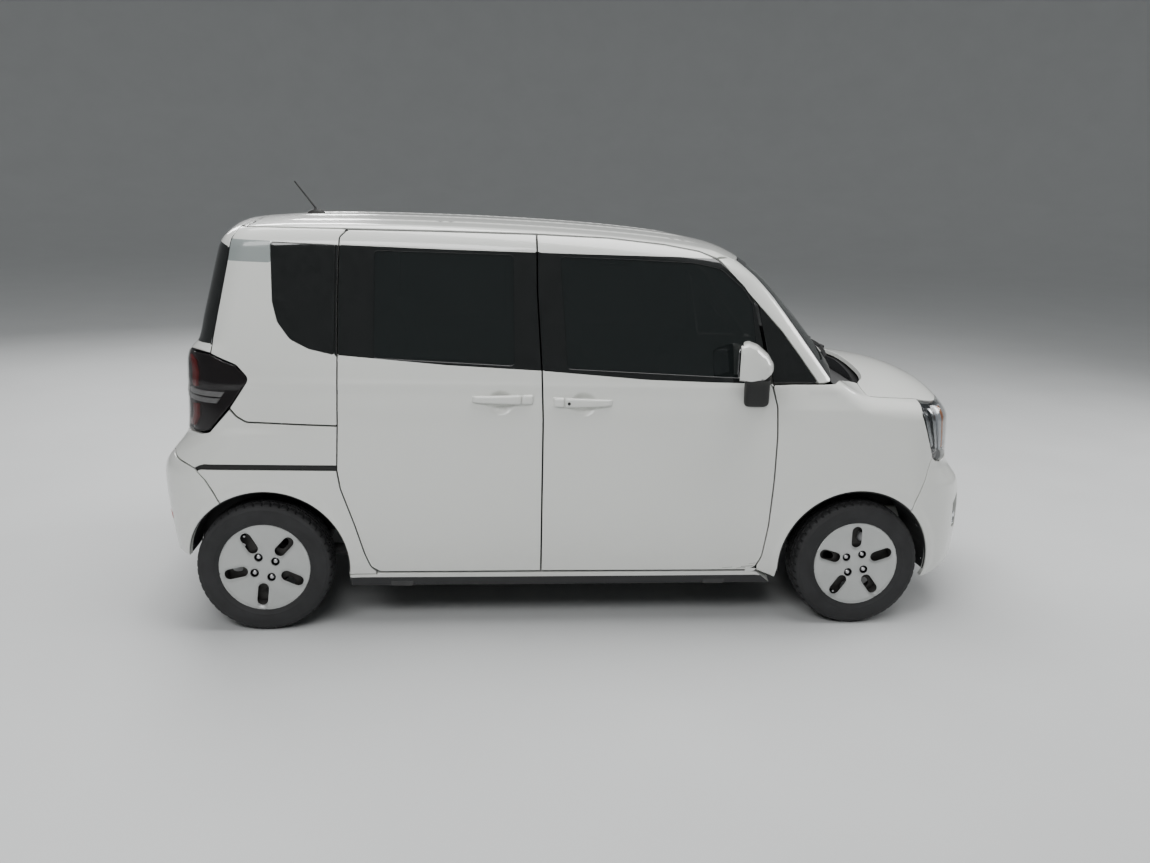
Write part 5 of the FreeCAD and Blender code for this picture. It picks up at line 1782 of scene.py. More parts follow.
# recess of the rear plate: tub with sloped walls and two small lamps on top
rim_o = np.array([(-283, 703), (283, 703), (295, 714), (295, 846), (281, 858), (-281, 858), (-295, 846), (-295, 714)], float)
rim_o = np.array(dense(rim_o, 16))
skin = rear_pts(rim_o)
wall0 = np.array([(p[0] + 5.0, q[0] * 0.992, (q[1] - 780) * 0.985 + 780) for p, q in zip(skin, rim_o)])
wall1 = np.array([(-343.0, q[0] * 0.970, (q[1] - 780) * 0.90 + 780) for q in rim_o])
bag = Bag()
bag.add(loft([wall0, wall0 * 0.5 + wall1 * 0.5, wall1, wall1 + (4, 0, 0), (wall0 + wall1) * 0.5 * (1, 1.012, 1) + (4, 0, 0), wall0 * (1, 1.006, 1) + (4, 0, 0)], cap=False, ring=True), 0)
back_ = np.array([(-341.0, q[0] * 0.972, (q[1] - 780) * 0.91 + 780) for q in rim_o])
bag.add(loft([back_ + (-2.5, 0, 0), back_ + (3, 0, 0)]), 0)
for y0 in (-120.0, 120.0):
    bag.add(rbox(-372, -352, y0 - 26, y0 + 26, 838, 846, 3), 2)
bag.add(rbox(-380, -360, -90, 90, 846, 853, 3), 1)
bag.out("plate_recess", [PLASTIC, RUBBER, LED], "tailgate", None, "black_plastic")


def rear_panel(name_, chart, yz, mat, lift_, rim_, body, grid_=16, edge_=2.0, holes_=()):
    return panel(name_, chart, clean(list(rear_line_uv(chart, list(yz) + [yz[0]])[:-1]), 1.5), body, None, rim=rim_,
                 lift=lift_, edge=edge_, mats=[mat], grid=grid_,
                 holes=[rear_line_uv(chart, list(h) + [h[0]])[:-1] for h in holes_])


rear_panel("tailgate_garnish", tg, [(-592, 962), (592, 962), (592, 1012), (-592, 1012)], GLOSSBLK, 4.0, 10, "tailgate")
rear_panel("tailgate_garnish_bar", tg, [(-590, 982), (590, 982), (590, 994), (-590, 994)], LENSGREY, 6.5, 6, "tailgate")
rear_panel("tailgate_stop_lamp", tg, [(-150, 1596), (150, 1596), (150, 1610), (-150, 1610)], RED, 3.0, 8, "tailgate")
rear_panel("tailgate_handle_bezel", tg, [(-120, 866), (120, 866), (126, 884), (110, 894), (-110, 894), (-126, 884)], GLOSSBLK, 4.0, 10, "tailgate")
for s, nm in SIDES:
    rear_panel("bumper_reflector_" + nm, rb, [(s * 470, 452), (s * 640, 448), (s * 640, 474), (s * 470, 478)], RED, 2.0, 8,
               "car_body")
    rear_panel("reversing_lamp_" + nm, rb, [(s * 480, 400), (s * 585, 398), (s * 585, 426), (s * 480, 428)], LED, 1.5, 8,
               "car_body")
# rear wiper, parked level under the glass
bag = Bag()
p0 = rear_pts([(30, 1222)])[0]
tip = [rear_pts([(y, 1262 + 8 * (y / 300.0))])[0] + np.array([-11.0, 0, 0]) for y in np.linspace(60, 352, 12)]
tip2 = [q + np.array([-7.0, 0, 2]) for q in tip]
bag.add(tube(tip, [2.6] + [4.0] * 10 + [2.6], 8), 0)
bag.add(tube(tip2, [3.0] + [6.0] * 10 + [3.0], 8), 0)


def cap_(r, a, t):
    return (p0[0] - t, 30 + r * math.cos(a), 1222 + r * math.sin(a))


bag.add(lathe([(0.5, 17), (12, 16), (19, 11), (21, 3), (21, -6), (0.5, -6)], cap_, 32, closed=False), 1)
arm = smooth_path([p0 + (-14, 0, 0), p0 + (-18, 60, 18), tip2[6] + (-6, -60, -6), tip2[6] + (-3, 0, 0)], 6)
bag.add(tube(arm, list(np.linspace(9, 5.5, len(arm))), 10), 1)
bag.out("rear_wiper", [RUBBER, PLASTIC], "tailgate", None, "black_plastic")

# fuel flap on the left rear quarter: a fine seam round it
ch = Side(1)
flap = rounded([(40, 905, 22), (190, 905, 22), (190, 1050, 22), (40, 1050, 22)], 4)
panel("fuel_flap_seam", ch, dense(inset(np.array(flap), -2.2), 9), "car_body", None, rim=1.6, lift=0.35, edge=0.3,
      mats=[RUBBER], grid=30, holes=[dense(flap, 9)])

# scuffs along the right front door's lower front corner
for k, (x0, x1, z0, w_) in enumerate(((2012, 2070, 262, 2.2), (1992, 2036, 254, 1.6), (2046, 2084, 276, 1.4), (1930, 1978, 257, 1.2))):
    o_ = [(x0, z0), (x1, z0 + 3), (x1 - 4, z0 + 3 + w_), (x0 + 3, z0 + w_)]
    panel("door_scuff_%d" % (k + 1), Side(-1), dense(o_, 8), "front_right_door", None, rim=0.6, lift=0.25, edge=0.2,
          mats=[SCUFF], grid=30)

# ==================================================================== cabin
def cushion(L, W, T, place, bolster=20.0, across=(), along=(), n=46, end=26.0, crown=6.0):
    """upholstered block: u along, v across, w up; rolled ends, side bolsters, sewn lines"""
    secs = []
    half = W / 2
    us = []
    for k in range(n + 1):
        t = k / n
        us.append(L * (0.5 - 0.5 * math.cos(math.pi * t)) * 0.35 + L * t * 0.65)
    for u in us:
        e = min(u, L - u)
        q = math.sqrt(max(0.0, 1 - (1 - min(1.0, e / end)) ** 2))
        hw = half - 14 * (1 - q)
        sec = []
        m = 34
        for i in range(m + 1):          # top, from +v to -v
            v = hw * math.cos(math.pi * i / m) * 0.25 + hw * (1 - 2 * i / m) * 0.75
            r_ = abs(v) / half
            top_ = T + bolster * min(1.0, max(0.0, (r_ - 0.48) / 0.30)) ** 1.6 + crown * (1 - r_ * r_)
            dv = hw - abs(v)
            top_ -= 24 * (1 - math.sqrt(max(0.0, 1 - (1 - min(1.0, dv / 24.0)) ** 2)))
            for g in along:
                top_ -= 5.5 * math.exp(-((abs(v) - g) / 3.6) ** 2)
            for g in across:
                top_ -= 5.0 * math.exp(-((u - g) / 3.8) ** 2) * (r_ < 0.62)
            w_ = (T * 0.42) + (top_ - T * 0.42) * (0.30 + 0.70 * q)
            sec.append((u, v, w_))
        for v in np.linspace(-hw, hw, 13):      # underside
            b_ = 10 * (1 - min(1.0, (hw - abs(v)) / 20.0)) ** 2
            sec.append((u, v, b_ + (T * 0.42 - b_) * 0.7 * (1 - q)))
        secs.append([place(*p) for p in sec])
    return loft(secs)


def seat_frame(bag, x, y0, y1):
    ym = (y0 + y1) / 2
    for y in (y0 + 52, y1 - 52):
        bag.add(rbox(x + 20, x + 480, y - 16, y + 16, 298, 316, 4), 0)          # rail
        bag.add(rbox(x + 60, x + 440, y - 11, y + 11, 314, 332, 3), 1)
        for xx in (x + 40, x + 460):
            bag.add(rbox(xx - 16, xx + 16, y - 14, y + 14, 293, 302, 3), 0)
        bag.add(prism([(x + 50, 330), (x + 430, 330), (x + 450, 474), (x + 30, 474)],
                      lambda a, b, t, y=y: (a, y + t, b), -7, 7, 2), 0)
    for xx in (x + 100, x + 390):
        bag.add(tube([(xx, y0 + 52, 350), (xx, y1 - 52, 350)], 11, 10), 1)
    for y in (ym - 53, ym + 53):
        bag.add(tube([(x - 53, y, 1118), (x - 56, y, 1196)], 6.5, 12), 1)
        bag.add(lathe([(9, 0), (15, 0), (15, 9), (9, 9)], lambda r, a, t, y=y: (x - 53 + r * math.cos(a), y + r * math.sin(a), 1126 + t), 18), 0)
    # side covers with the recliner knob
    for sgn, y in ((-1, y0 + 12), (1, y1 - 12)):
        bag.add(prism(rounded([(x + 20, 430, 20), (x + 430, 440, 20), (x + 420, 500, 30), (x + 120, 520, 40), (x + 90, 640, 24), (x + 28, 640, 24)], 5),
                      lambda a, b, t, y=y: (a, y + t, b), -7, 7, 3), 0)
    bag.add(lathe([(0.5, 0), (26, 0), (30, 4), (30, 12), (26, 16), (0.5, 16)],
                  lambda r, a, t: (x + 70 + r * math.cos(a), (y0 - 2 - t) if ym > 0 else (y1 + 2 + t), 560 + r * math.sin(a)), 28, closed=False), 0)


for y0, y1, nm in ((105, 600, "left"), (-600, -105, "right")):
    x, yc, w_ = 1330.0, (y0 + y1) / 2, y1 - y0 - 12
    pads = Bag()
    pads.add(cushion(488, w_, 128, lambda u, v, w, yc=yc: (x + 6 + u, yc + v, 476 + w), 30, (150, 300), (112,)), 0)
    dx, dz = -0.204, 0.979
    pads.add(cushion(536, w_, 92, lambda u, v, w, yc=yc: (x + 22 + dx * u + dz * w, yc + v * (1 - 0.12 * (u / 536.0) ** 3), 592 + dz * u - dx * w),
                     26, (140, 290, 410), (108,)), 0)
    pads.add(cushion(166, 250, 84, lambda u, v, w, yc=yc: (x - 94 + w * 1.0 - 0.05 * u, yc + v * (1 - 0.10 * (u / 166.0)), 1176 + u), 6, (), (), 24, 40), 0)
    ob = pads.out("front_%s_seat_pads" % nm, [CLOTH], "car_body", "front_seats", "seat_cloth", sharp=60)
    fr_ = Bag()
    seat_frame(fr_, x, y0, y1)
    fr_.out("front_%s_seat_frame" % nm, [TRIM, DARKMETAL], "car_body", None, "black_plastic")
for y0, y1, nm in ((4, 598, "left"), (-598, -4, "right")):
    yc, w_ = (y0 + y1) / 2, y1 - y0 - 6
    pads = Bag()
    pads.add(cushion(484, w_, 132, lambda u, v, w, yc=yc: (568 + u, yc + v, 474 + w), 18, (160, 320), (150,)), 0)
    dx, dz = -0.2135, 0.977
    pads.add(cushion(494, w_, 92, lambda u, v, w, yc=yc: (588 + dx * u + dz * w, yc + v, 592 + dz * u - dx * w), 14, (160, 320), (150,)), 0)
    ym = 304 if yc > 0 else -304
    pads.add(cushion(192, 248, 68, lambda u, v, w, ym=ym: (492 + w - 0.16 * u, ym + v * (1 - 0.08 * (u / 190.0)), 1094 + u), 4, (), (), 24, 40), 0)
    ob = pads.out("rear_%s_seat_pads" % nm, [CLOTH], "car_body", "rear_seat", "seat_cloth", sharp=60)
bag = Bag()
for y in (-500, -80, 80, 500):
    bag.add(prism([(610, 300), (1010, 300), (1000, 474), (620, 474)], lambda a, b, t, y=y: (a, y + t, b), -8, 8, 2), 0)
for xx in (660, 960):
    bag.add(tube([(xx, -540, 360), (xx, 540, 360)], 12, 10), 1)
    for y in (-500, -80, 80, 500):
        bag.add(rbox(xx - 24, xx + 24, y - 22, y + 22, 293, 306, 4), 1)
for ym in (-304, 304):
    for d_ in (-50, 50):
        bag.add(tube([(508, ym + d_, 1060), (500, ym + d_, 1110)], 6, 10), 1)
bag.add(prism(rounded([(594, 480, 10), (600, 480, 10), (484, 1078, 14), (474, 1074, 14), (580, 560, 0)], 6), lambda a, b, t: (a - 4, t, b), -590, 590, 1), 0)
bag.out("rear_seat_frame", [TRIM, DARKMETAL], "car_body", None, "black_plastic")

# ---------------------------------------------------------------- dashboard
def dash_section(y):
    hood_ = 26 * math.exp(-((y - 340) / 120.0) ** 4)
    face = 18 * math.exp(-(y / 150.0) ** 4)
    return rounded([(2136, 650, 16), (2146, 1022, 26), (2084, 1046, 60), (2010 - hood_ * 0.6, 1036 + hood_ * 0.6, 34), (1972 - face * 0.6, 1000, 26),
                    (1978 - face, 930, 24), (1964 - face, 884, 20), (1996 - face, 812, 40), (2006, 716, 40), (2062, 652, 20)], 7)


secs = []
ys = np.linspace(-640, 640, 97)
for y in ys:
    e = min(1.0, (640 - abs(y)) / 26.0)
    q = math.sqrt(max(0.0, 1 - (1 - e) ** 2)) * 0.10 + 0.90
    c = np.array([2060.0, 850.0])
    sec = np.array(dash_section(y))
    secs.append([(c[0] + (p[0] - c[0]) * q, y, c[1] + (p[1] - c[1]) * q) for p in sec])
nmin = min(len(q) for q in secs)


def even(loop_, n=90):
    a = np.array(loop_, float)
    d = np.linalg.norm(np.roll(a, -1, 0) - a, axis=1)
    s_ = np.concatenate([[0], np.cumsum(d)])
    t = np.linspace(0, s_[-1], n, endpoint=False)
    b = np.vstack([a, a[:1]])
    return np.stack([np.interp(t, s_, b[:, k]) for k in range(3)], 1)


bag = Bag().add(loft([even(q) for q in secs]), 0)
# light lower part, screen, cluster, vents, glove box, stack
bag.add(prism(rounded([(-0.5 * 250, 0, 14), (125, 0, 14), (125, 148, 14), (-125, 148, 14)], 4),
              lambda a, b, t: (1968 - t + (b * 0.12), a, 905 + b), -6, 14, 4), 1)
bag.add(prism(rounded([(-113, 0, 6), (113, 0, 6), (113, 124, 6), (-113, 124, 6)], 4),
              lambda a, b, t: (1953.6 - t + ((b + 12) * 0.12), a, 917 + b), -3, 1.2, 0.5), 2)
bag.add(prism(rounded([(-128, 0, 20), (128, 0, 20), (118, 76, 26), (-118, 76, 26)], 4),
              lambda a, b, t: (1974 - t + b * 0.25, 340 + a, 944 + b), -8, 6, 3), 1)
bag.add(prism(rounded([(-116, 0, 16), (116, 0, 16), (108, 58, 20), (-108, 58, 20)], 4),
              lambda a, b, t: (1969 - t + b * 0.25, 340 + a, 952 + b), -3, 1.5, 0.5), 2)
for yv, wv in ((575, 84), (-575, 84), (178, 62), (-178, 62)):
    bag.add(rbox(1952, 1984, yv - wv / 2, yv + wv / 2, 904, 972, 7), 1)
    for k in range(5):
        bag.add(rbox(1947, 1954, yv - wv / 2 + 7, yv + wv / 2 - 7, 913 + 11.5 * k, 916 + 11.5 * k, 1.2, 2), 3)
    bag.add(rbox(1944.5, 1950, yv - 6, yv + 6, 934, 944, 2, 2), 3)
bag.add(prism(rounded([(-560, 726, 18), (-214, 726, 18), (-214, 846, 18), (-560, 846, 18)], 5),
              lambda a, b, t: (1997 - t + (b - 786) * -0.1, a, b), -6, 8, 4), 3)
bag.add(rbox(1982, 1992, -420, -354, 812, 824, 4), 1)
# centre stack and console with the selector
bag.add(prism(rounded([(1902, 566, 20), (2096, 566, 10), (2080, 800, 10), (1978, 872, 30), (1950, 800, 40), (1910, 640, 40)], 6),
              lambda a, b, t: (a, t, b), -106, 106, 8), 0)
for k in range(3):
    for j in range(5):
        bag.add(rbox(1938 - 10 * k, 1950 - 10 * k, -78 + 33 * j, -54 + 33 * j, 800 - 34 * k, 822 - 34 * k, 3), 1)
for yk in (-62, 0, 62):
    bag.add(lathe([(0.5, 20), (16, 19), (20, 14), (21, 0), (0.5, 0)],
                  lambda r, a, t, yk=yk: (1920 - t, yk + r * math.cos(a), 690 + r * math.sin(a)), 28, closed=False), 1)
    bag.add(rbox(1896, 1901, yk - 2, yk + 2, 692, 708, 1, 2), 4)
bag.add(rbox(1904, 1932, -28, 28, 726, 790, 8), 1)
bag.add(tube([(1916, 0, 758), (1880, 0, 786), (1862, 0, 800)], [9, 8, 10], 14), 4)
bag.add(rbox(1842, 1872, -18, 18, 790, 828, 12), 1)
# column shroud, stalks
bag.add(loft([[(xx + 0.0 * a, 340 + ry * math.cos(a), zz + rz * math.sin(a)) for a in np.linspace(0, 2 * math.pi, 28, endpoint=False)]
              for xx, zz, ry, rz in ((2040, 888, 40, 34), (1990, 906, 46, 38), (1930, 926, 46, 38), (1884, 943, 40, 33), (1874, 946, 34, 27))]), 0)
for sg in (-1, 1):
    bag.add(tube([(1906, 340 + sg * 38, 942), (1892, 340 + sg * 96, 956), (1886, 340 + sg * 150, 962)], [5, 5, 8], 12), 1)
bag.out("dashboard_trim", [TRIM, GLOSSBLK, SCREENDARK, TRIM2, CHROME], "car_body", "dashboard", "black_plastic")

# pedals
bag = Bag()
for yp, w_, z_ in ((300, 52, 400), (392, 92, 420)):
    bag.add(rbox(2060, 2072, yp - w_ / 2, yp + w_ / 2, z_, z_ + 76, 4), 1)
    for k in range(5):
        bag.add(rbox(2056, 2061, yp - w_ / 2 + 5, yp + w_ / 2 - 5, z_ + 8 + 13 * k, z_ + 13 + 13 * k, 1.5, 2), 1)
    bag.add(tube([(2068, yp, z_ + 40), (2096, yp, z_ + 120), (2120, yp, 640)], 7, 10), 0)
bag.out("pedals", [DARKMETAL, RUBBER], "car_body", None, "black_plastic")

# ------------------------------------------------------------ steering wheel
ax_ = np.array([-0.942, 0, 0.335])
e1 = np.array([0, 1.0, 0])
e2 = np.cross(ax_, e1)
e2 = e2 if e2[2] > 0 else -e2
C0 = np.array([1838.0, 340.0, 960.0])


def sw(a, b, t):
    return C0 + e1 * a + e2 * b + ax_ * t


bag = Bag()
ringp = [sw(180 * math.cos(t), 180 * math.sin(t) - (6 if math.sin(t) < -0.9 else 0), 0) for t in np.linspace(0, 2 * math.pi, 96, endpoint=False)]
bag.add(tube(ringp, [14.2 + 0.9 * (abs(math.sin(t)) < 0.35) for t in np.linspace(0, 2 * math.pi, 96, endpoint=False)], 16, cap=False, ring=True), 0)
hubo = rounded([(-78, 30, 22), (-60, -44, 26), (60, -44, 26), (78, 30, 22), (50, 52, 24), (-50, 52, 24)], 4)
bag.add(prism(hubo, sw, -26, 14, 9, 4), 1)
for sg in (-1, 1):
    bag.add(loft([[sw(sg * x_, 4 + h_ * math.cos(a), -4 + t_ * math.sin(a)) for a in np.linspace(0, 2 * math.pi, 20, endpoint=False)]
                  for x_, h_, t_ in ((60, 26, 9), (96, 21, 8), (134, 17, 8), (168, 15, 9))]), 1)
    bag.add(prism(rounded([(84, -10, 8), (126, -8, 8), (124, 16, 8), (84, 18, 8)], 3), lambda a, b, t, sg=sg: sw(sg * a, b, t), -2, 6.5, 2), 2)
    bag.add(loft([[sw(sg * (x_ + w_ * math.cos(a)), y_, -5 + 8 * math.sin(a)) for a in np.linspace(0, 2 * math.pi, 16, endpoint=False)]
                  for x_, y_, w_ in ((30, -36, 11), (27, -90, 9), (25, -135, 9), (24, -170, 10))]), 2)
bag.add(lathe([(40, -28), (44, -20), (44, -4), (0.5, -4), (0.5, -28)], lambda r, a, t: sw(r * math.cos(a), r * math.sin(a), t), 32, closed=False), 1)
bag.out("steering_wheel_trim", [TRIM, PLASTIC, GLOSSBLK], "car_body", "steering_wheel", "black_plastic")

# --------------------------------------------------- door cards, roof lining
CARDS = [(-1, "front_right_door", 1172, 2036, "front_right"), (1, "front_left_door", 1172, 2036, "front_left"),
         (-1, "car_body", 478, 1104, "sliding_door"), (1, "rear_left_door", 478, 1104, "rear_left")]
for s, body, x0, x1, nm in CARDS:
    chs = Side(s)
    card = rounded([(x0, 292, 20), (x1 - 8, 292, 60), (x1, 700, 60), (x1, 1040, 30), (x0, 1082, 20)], 8)
    panel(nm + "_door_card", chs, dense(card, 14), body, None, rim=7, lift=-46.5, edge=3,
          mats=[TRIM2, TRIM], zones=[(dense([(x0 - 20, 250), (x1 + 20, 250), (x1 + 20, 640), (x0 - 20, 660)], 14), 1)],
          grid=34)
    # armrest with a pull, speaker grille, inner handle
    xm = (x0 + x1) / 2
    yb_ = float(np.min(np.abs(on_side([(xm - 150, 700), (xm + 150, 700), (xm, 780)], s)[:, 1]))) - 50
    bag = Bag()
    secs = []
    for k in range(25):
        t = k / 24.0
        xx = x0 + 60 + (x1 - x0 - 150) * t
        e = math.sin(math.pi * min(1, max(0.0, t * 1.0))) ** 0.35
        d_, h_ = 14 + 36 * e, 20 + 12 * e
        zc = 702 + 22 * t
        secs.append([(xx, s * (yb_ + 8 - d_ * (0.5 + 0.5 * math.copysign(abs(math.cos(a)) ** 0.6, math.cos(a)))),
                      zc + h_ * math.copysign(abs(math.sin(a)) ** 0.7, math.sin(a))) for a in np.linspace(0, 2 * math.pi, 24, endpoint=False)])
    bag.add(loft(secs), 0)
    bag.add(rbox(xm + 60, xm + 150, *sorted((s * (yb_ - 46), s * (yb_ - 34))), 735, 752, 5), 1)
    for r_ in (22, 38, 54, 70):
        bag.add(tube([(x1 - 150 + r_ * math.cos(a), s * (yb_ + 3), 440 + r_ * math.sin(a)) for a in np.linspace(0, 2 * math.pi, 32, endpoint=False)], 2.8, 6, cap=False, ring=True), 1)
    bag.add(rbox(x1 - 170, x1 - 84, *sorted((s * (yb_ - 8), s * (yb_ + 2))), 868, 900, 5), 1)
    bag.add(rbox(x1 - 158, x1 - 98, *sorted((s * (yb_ - 14), s * (yb_ - 6))), 876, 892, 4), 2)
    bag.out(nm + "_door_armrest", [TRIM, GLOSSBLK, CHROME], body, None, "black_plastic")

hl = rounded([(-20, -500, 60), (1900, -520, 80), (1900, 520, 80), (-20, 500, 60)], 20)
panel("headliner", Top("cabin"), dense(hl, 24), "car_body", None, rim=8, lift=-44, edge=3, mats=[HEADLINER],
      grid=50, back_dir=(0, 0, -1))
bag = Bag()
bag.add(rbox(1720, 1800, -60, 60, 1588, 1604, 7), 0)
bag.add(rbox(1735, 1785, -44, 44, 1584, 1590, 2.5), 1)
for s in (-1, 1):
    bag.add(tube(smooth_path([(1500, s * 560, 1560), (1480, s * 540, 1528), (1380, s * 540, 1530), (1360, s * 560, 1562)], 6), 8, 10), 0)
    bag.add(prism(rounded([(s * 150, 0, 16), (s * 520, 0, 16), (s * 520, 150, 16), (s * 150, 150, 16)], 6),
                  lambda a, b, t: (1890 - b * 0.96, a, 1566 + b * 0.25 + t), 0, 12, 4), 0)
bag.add(tube([(1905, 0, 1566), (1895, 0, 1530)], 7, 10), 0)
bag.add(prism(rounded([(-118, -32, 24), (118, -32, 24), (112, 32, 24), (-112, 32, 24)], 4), lambda a, b, t: (1882 - t + b * 0.1, a, 1496 + b), -8, 14, 6), 0)
bag.add(prism(rounded([(-110, -27, 20), (110, -27, 20), (105, 27, 20), (-105, 27, 20)], 4), lambda a, b, t: (1867 - t + b * 0.1, a, 1496 + b), -1, 1.0, 0.4), 2)
bag.out("roof_console_and_visors", [TRIM2, LED, CHROME], "car_body", None, "black_plastic")

# ------------------------------------------------------------------- carpet
def carpet_h(a, b):
    t = 298.0 + 42 * math.exp(-(b / 118.0) ** 4) * min(1, max(0.0, (a - 470) / 60.0)) * (a < 2120)
    return t + 1.5 * math.sin(a / 23.0) * math.sin(b / 19.0)


cp = plate(rounded([(436, -606, 30), (2120, -606, 40), (2160, -560, 30), (2160, 560, 30), (2120, 606, 40), (436, 606, 30)], 12), [],
           carpet_h, lambda a, b, t: (a, b, t), grid=30, edge=3, deep=5)
cp2 = plate(rounded([(-310, -416, 30), (424, -416, 30), (424, 416, 30), (-310, 416, 30)], 12), [],
            lambda a, b: 438.0 + 0.8 * math.sin(a / 21.0) * math.sin(b / 17.0), lambda a, b, t: (a, b, t), grid=30, edge=3, deep=5)
bag = Bag().add(facing(cp, 60, (0, 0, 1)), 0).add(facing(cp2, 60, (0, 0, 1)), 0)
for yc in (-350, 350):
    bag.add(rbox(1860, 2050, yc - 200, yc + 200, 300, 308, 3), 1)
    for k in range(7):
        bag.add(rbox(1875, 2035, yc - 170 + 55 * k, yc - 160 + 55 * k, 307, 311, 1.5, 2), 1)
bag.out("carpet_and_mats", [CARPET, RUBBER], "car_body", None, "seat_cloth")

# ====================================================== underside, engine bay
def hexbolt(bag, p, n, r=8.0, h=6.0, mi=0):
    n = np.array(n, float)
    n /= np.linalg.norm(n)
    u = np.cross(n, (0, 0, 1.0) if abs(n[2]) < 0.9 else (1.0, 0, 0))
    u /= np.linalg.norm(u)
    w_ = np.cross(n, u)
    p = np.array(p, float)
    secs = []
    for rr, t, m in ((r * 1.35, 0, 24), (r * 1.35, 1.6, 24), (r, 1.6, 6), (r, h - 1, 6), (r * 0.86, h, 6)):
        secs.append([p + n * t + (u * math.cos(a) + w_ * math.sin(a)) * rr * (1.0 if m == 24 else 1.0 / max(abs(math.cos((a % (math.pi / 3)) - math.pi / 6)), 0.5) * 0.9)
                     for a in np.linspace(0, 2 * math.pi, 24, endpoint=False)])
    bag.add(loft(secs), mi)


def coil(c, r, wire, z0, z1, turns, n=26):
    pts = []
    for k in range(int(turns * n) + 1):
        a = 2 * math.pi * k / n
        t = k / (turns * n)
        zz = z0 + wire + (z1 - z0 - 2 * wire) * min(1, max(0, (t * 1.16 - 0.08)))
        pts.append((c[0] + r * math.cos(a), c[1] + r * math.sin(a), zz))
    return tube(pts, wire, 10)


# rear twist beam with trailing arms, springs and dampers
bag = Bag()
secs = []
for k in range(41):
    y = -512 + 1024 * k / 40.0
    e = min(1.0, (512 - abs(y)) / 70.0)
    d_ = 26 * e
    sec = rounded([(152, 262, 8), (152, 316, 10), (185 - d_ * 0.3, 300 - d_ + 6, 10), (218, 316, 10), (218, 262, 8), (206, 262, 3), (204, 296, 8), (185 - d_ * 0.3, 284 - d_ + 6, 10), (166, 296, 8), (164, 262, 3)], 4)
    secs.append([(a, y, b) for a, b in sec])
m_ = min(len(q) for q in secs)
bag.add(loft([even(q, 64) for q in secs]), 0)
for s in (-1, 1):
    path = smooth_path([(372, s * 545, 284), (290, s * 548, 276), (170, s * 546, 280), (60, s * 546, 284), (-18, s * 548, 282)], 6)
    bag.add(tube(path, [26, 26] + [25] * (len(path) - 4) + [26, 24], 16), 0)
    bag.add(lathe([(30, -27), (30, 27), (12, 27), (12, -27)], lambda r, a, t, s=s: (366 + r * math.cos(a), s * 545 + t, 284 + r * math.sin(a)), 28), 0)
    bag.add(lathe([(20, -30), (20, 30), (7, 30), (7, -30)], lambda r, a, t, s=s: (366 + r * math.cos(a), s * 545 + t, 284 + r * math.sin(a)), 20), 1)
    bag.add(rbox(-38, 42, *sorted((s * 540, s * 560)), 230, 330, 8), 0)
    bag.add(lathe([(56, 556), (60, 560), (60, 636), (50, 640), (30, 640), (30, 556)], lambda r, a, t, s=s: (r * math.cos(a), s * t, 276.8 + r * math.sin(a)), 40), 0)
    for k in range(4):
        a = math.pi / 4 + k * math.pi / 2
        hexbolt(bag, (44 * math.cos(a), s * 556, 276.8 + 44 * math.sin(a)), (0, -s, 0), 7, 6, 2)
    # spring seats, coil and bump stop
    c = (-10.0, s * 497.0)
    bag.add(lathe([(40, 296), (42, 300), (42, 303), (10, 305), (10, 296)], lambda r, a, t, c=c: (c[0] + r * math.cos(a), c[1] + r * math.sin(a), t), 32), 0)
    bag.add(lathe([(36, 396), (38, 392), (38, 388), (10, 388), (10, 396)], lambda r, a, t, c=c: (c[0] + r * math.cos(a), c[1] + r * math.sin(a), t), 32), 0)
    bag.add(coil(c, 30, 5.2, 303, 389, 4.2), 3)
    bag.add(lathe([(0.5, 388), (15, 388), (17, 374), (12, 366), (16, 356), (9, 346), (0.5, 344)], lambda r, a, t, c=c: (c[0] + r * math.cos(a), c[1] + r * math.sin(a), t), 24, closed=False), 1)
    bag.add(rbox(-44, 150, *sorted((s * 470, s * 522)), 288, 298, 4), 0)
    bag.add(tube([(-34, s * 512, 292), (-2, s * 480, 396)], 13, 14), 0)
bag.add(tube(smooth_path([(220, -500, 328), (226, -200, 330), (222, 100, 329), (228, 500, 330)], 6), 4.2, 8), 3)
bag.out("rear_axle_assembly", [UNDER, RUBBER, BOLT, DARKMETAL], "car_body", "rear_axle", "underbody_steel")

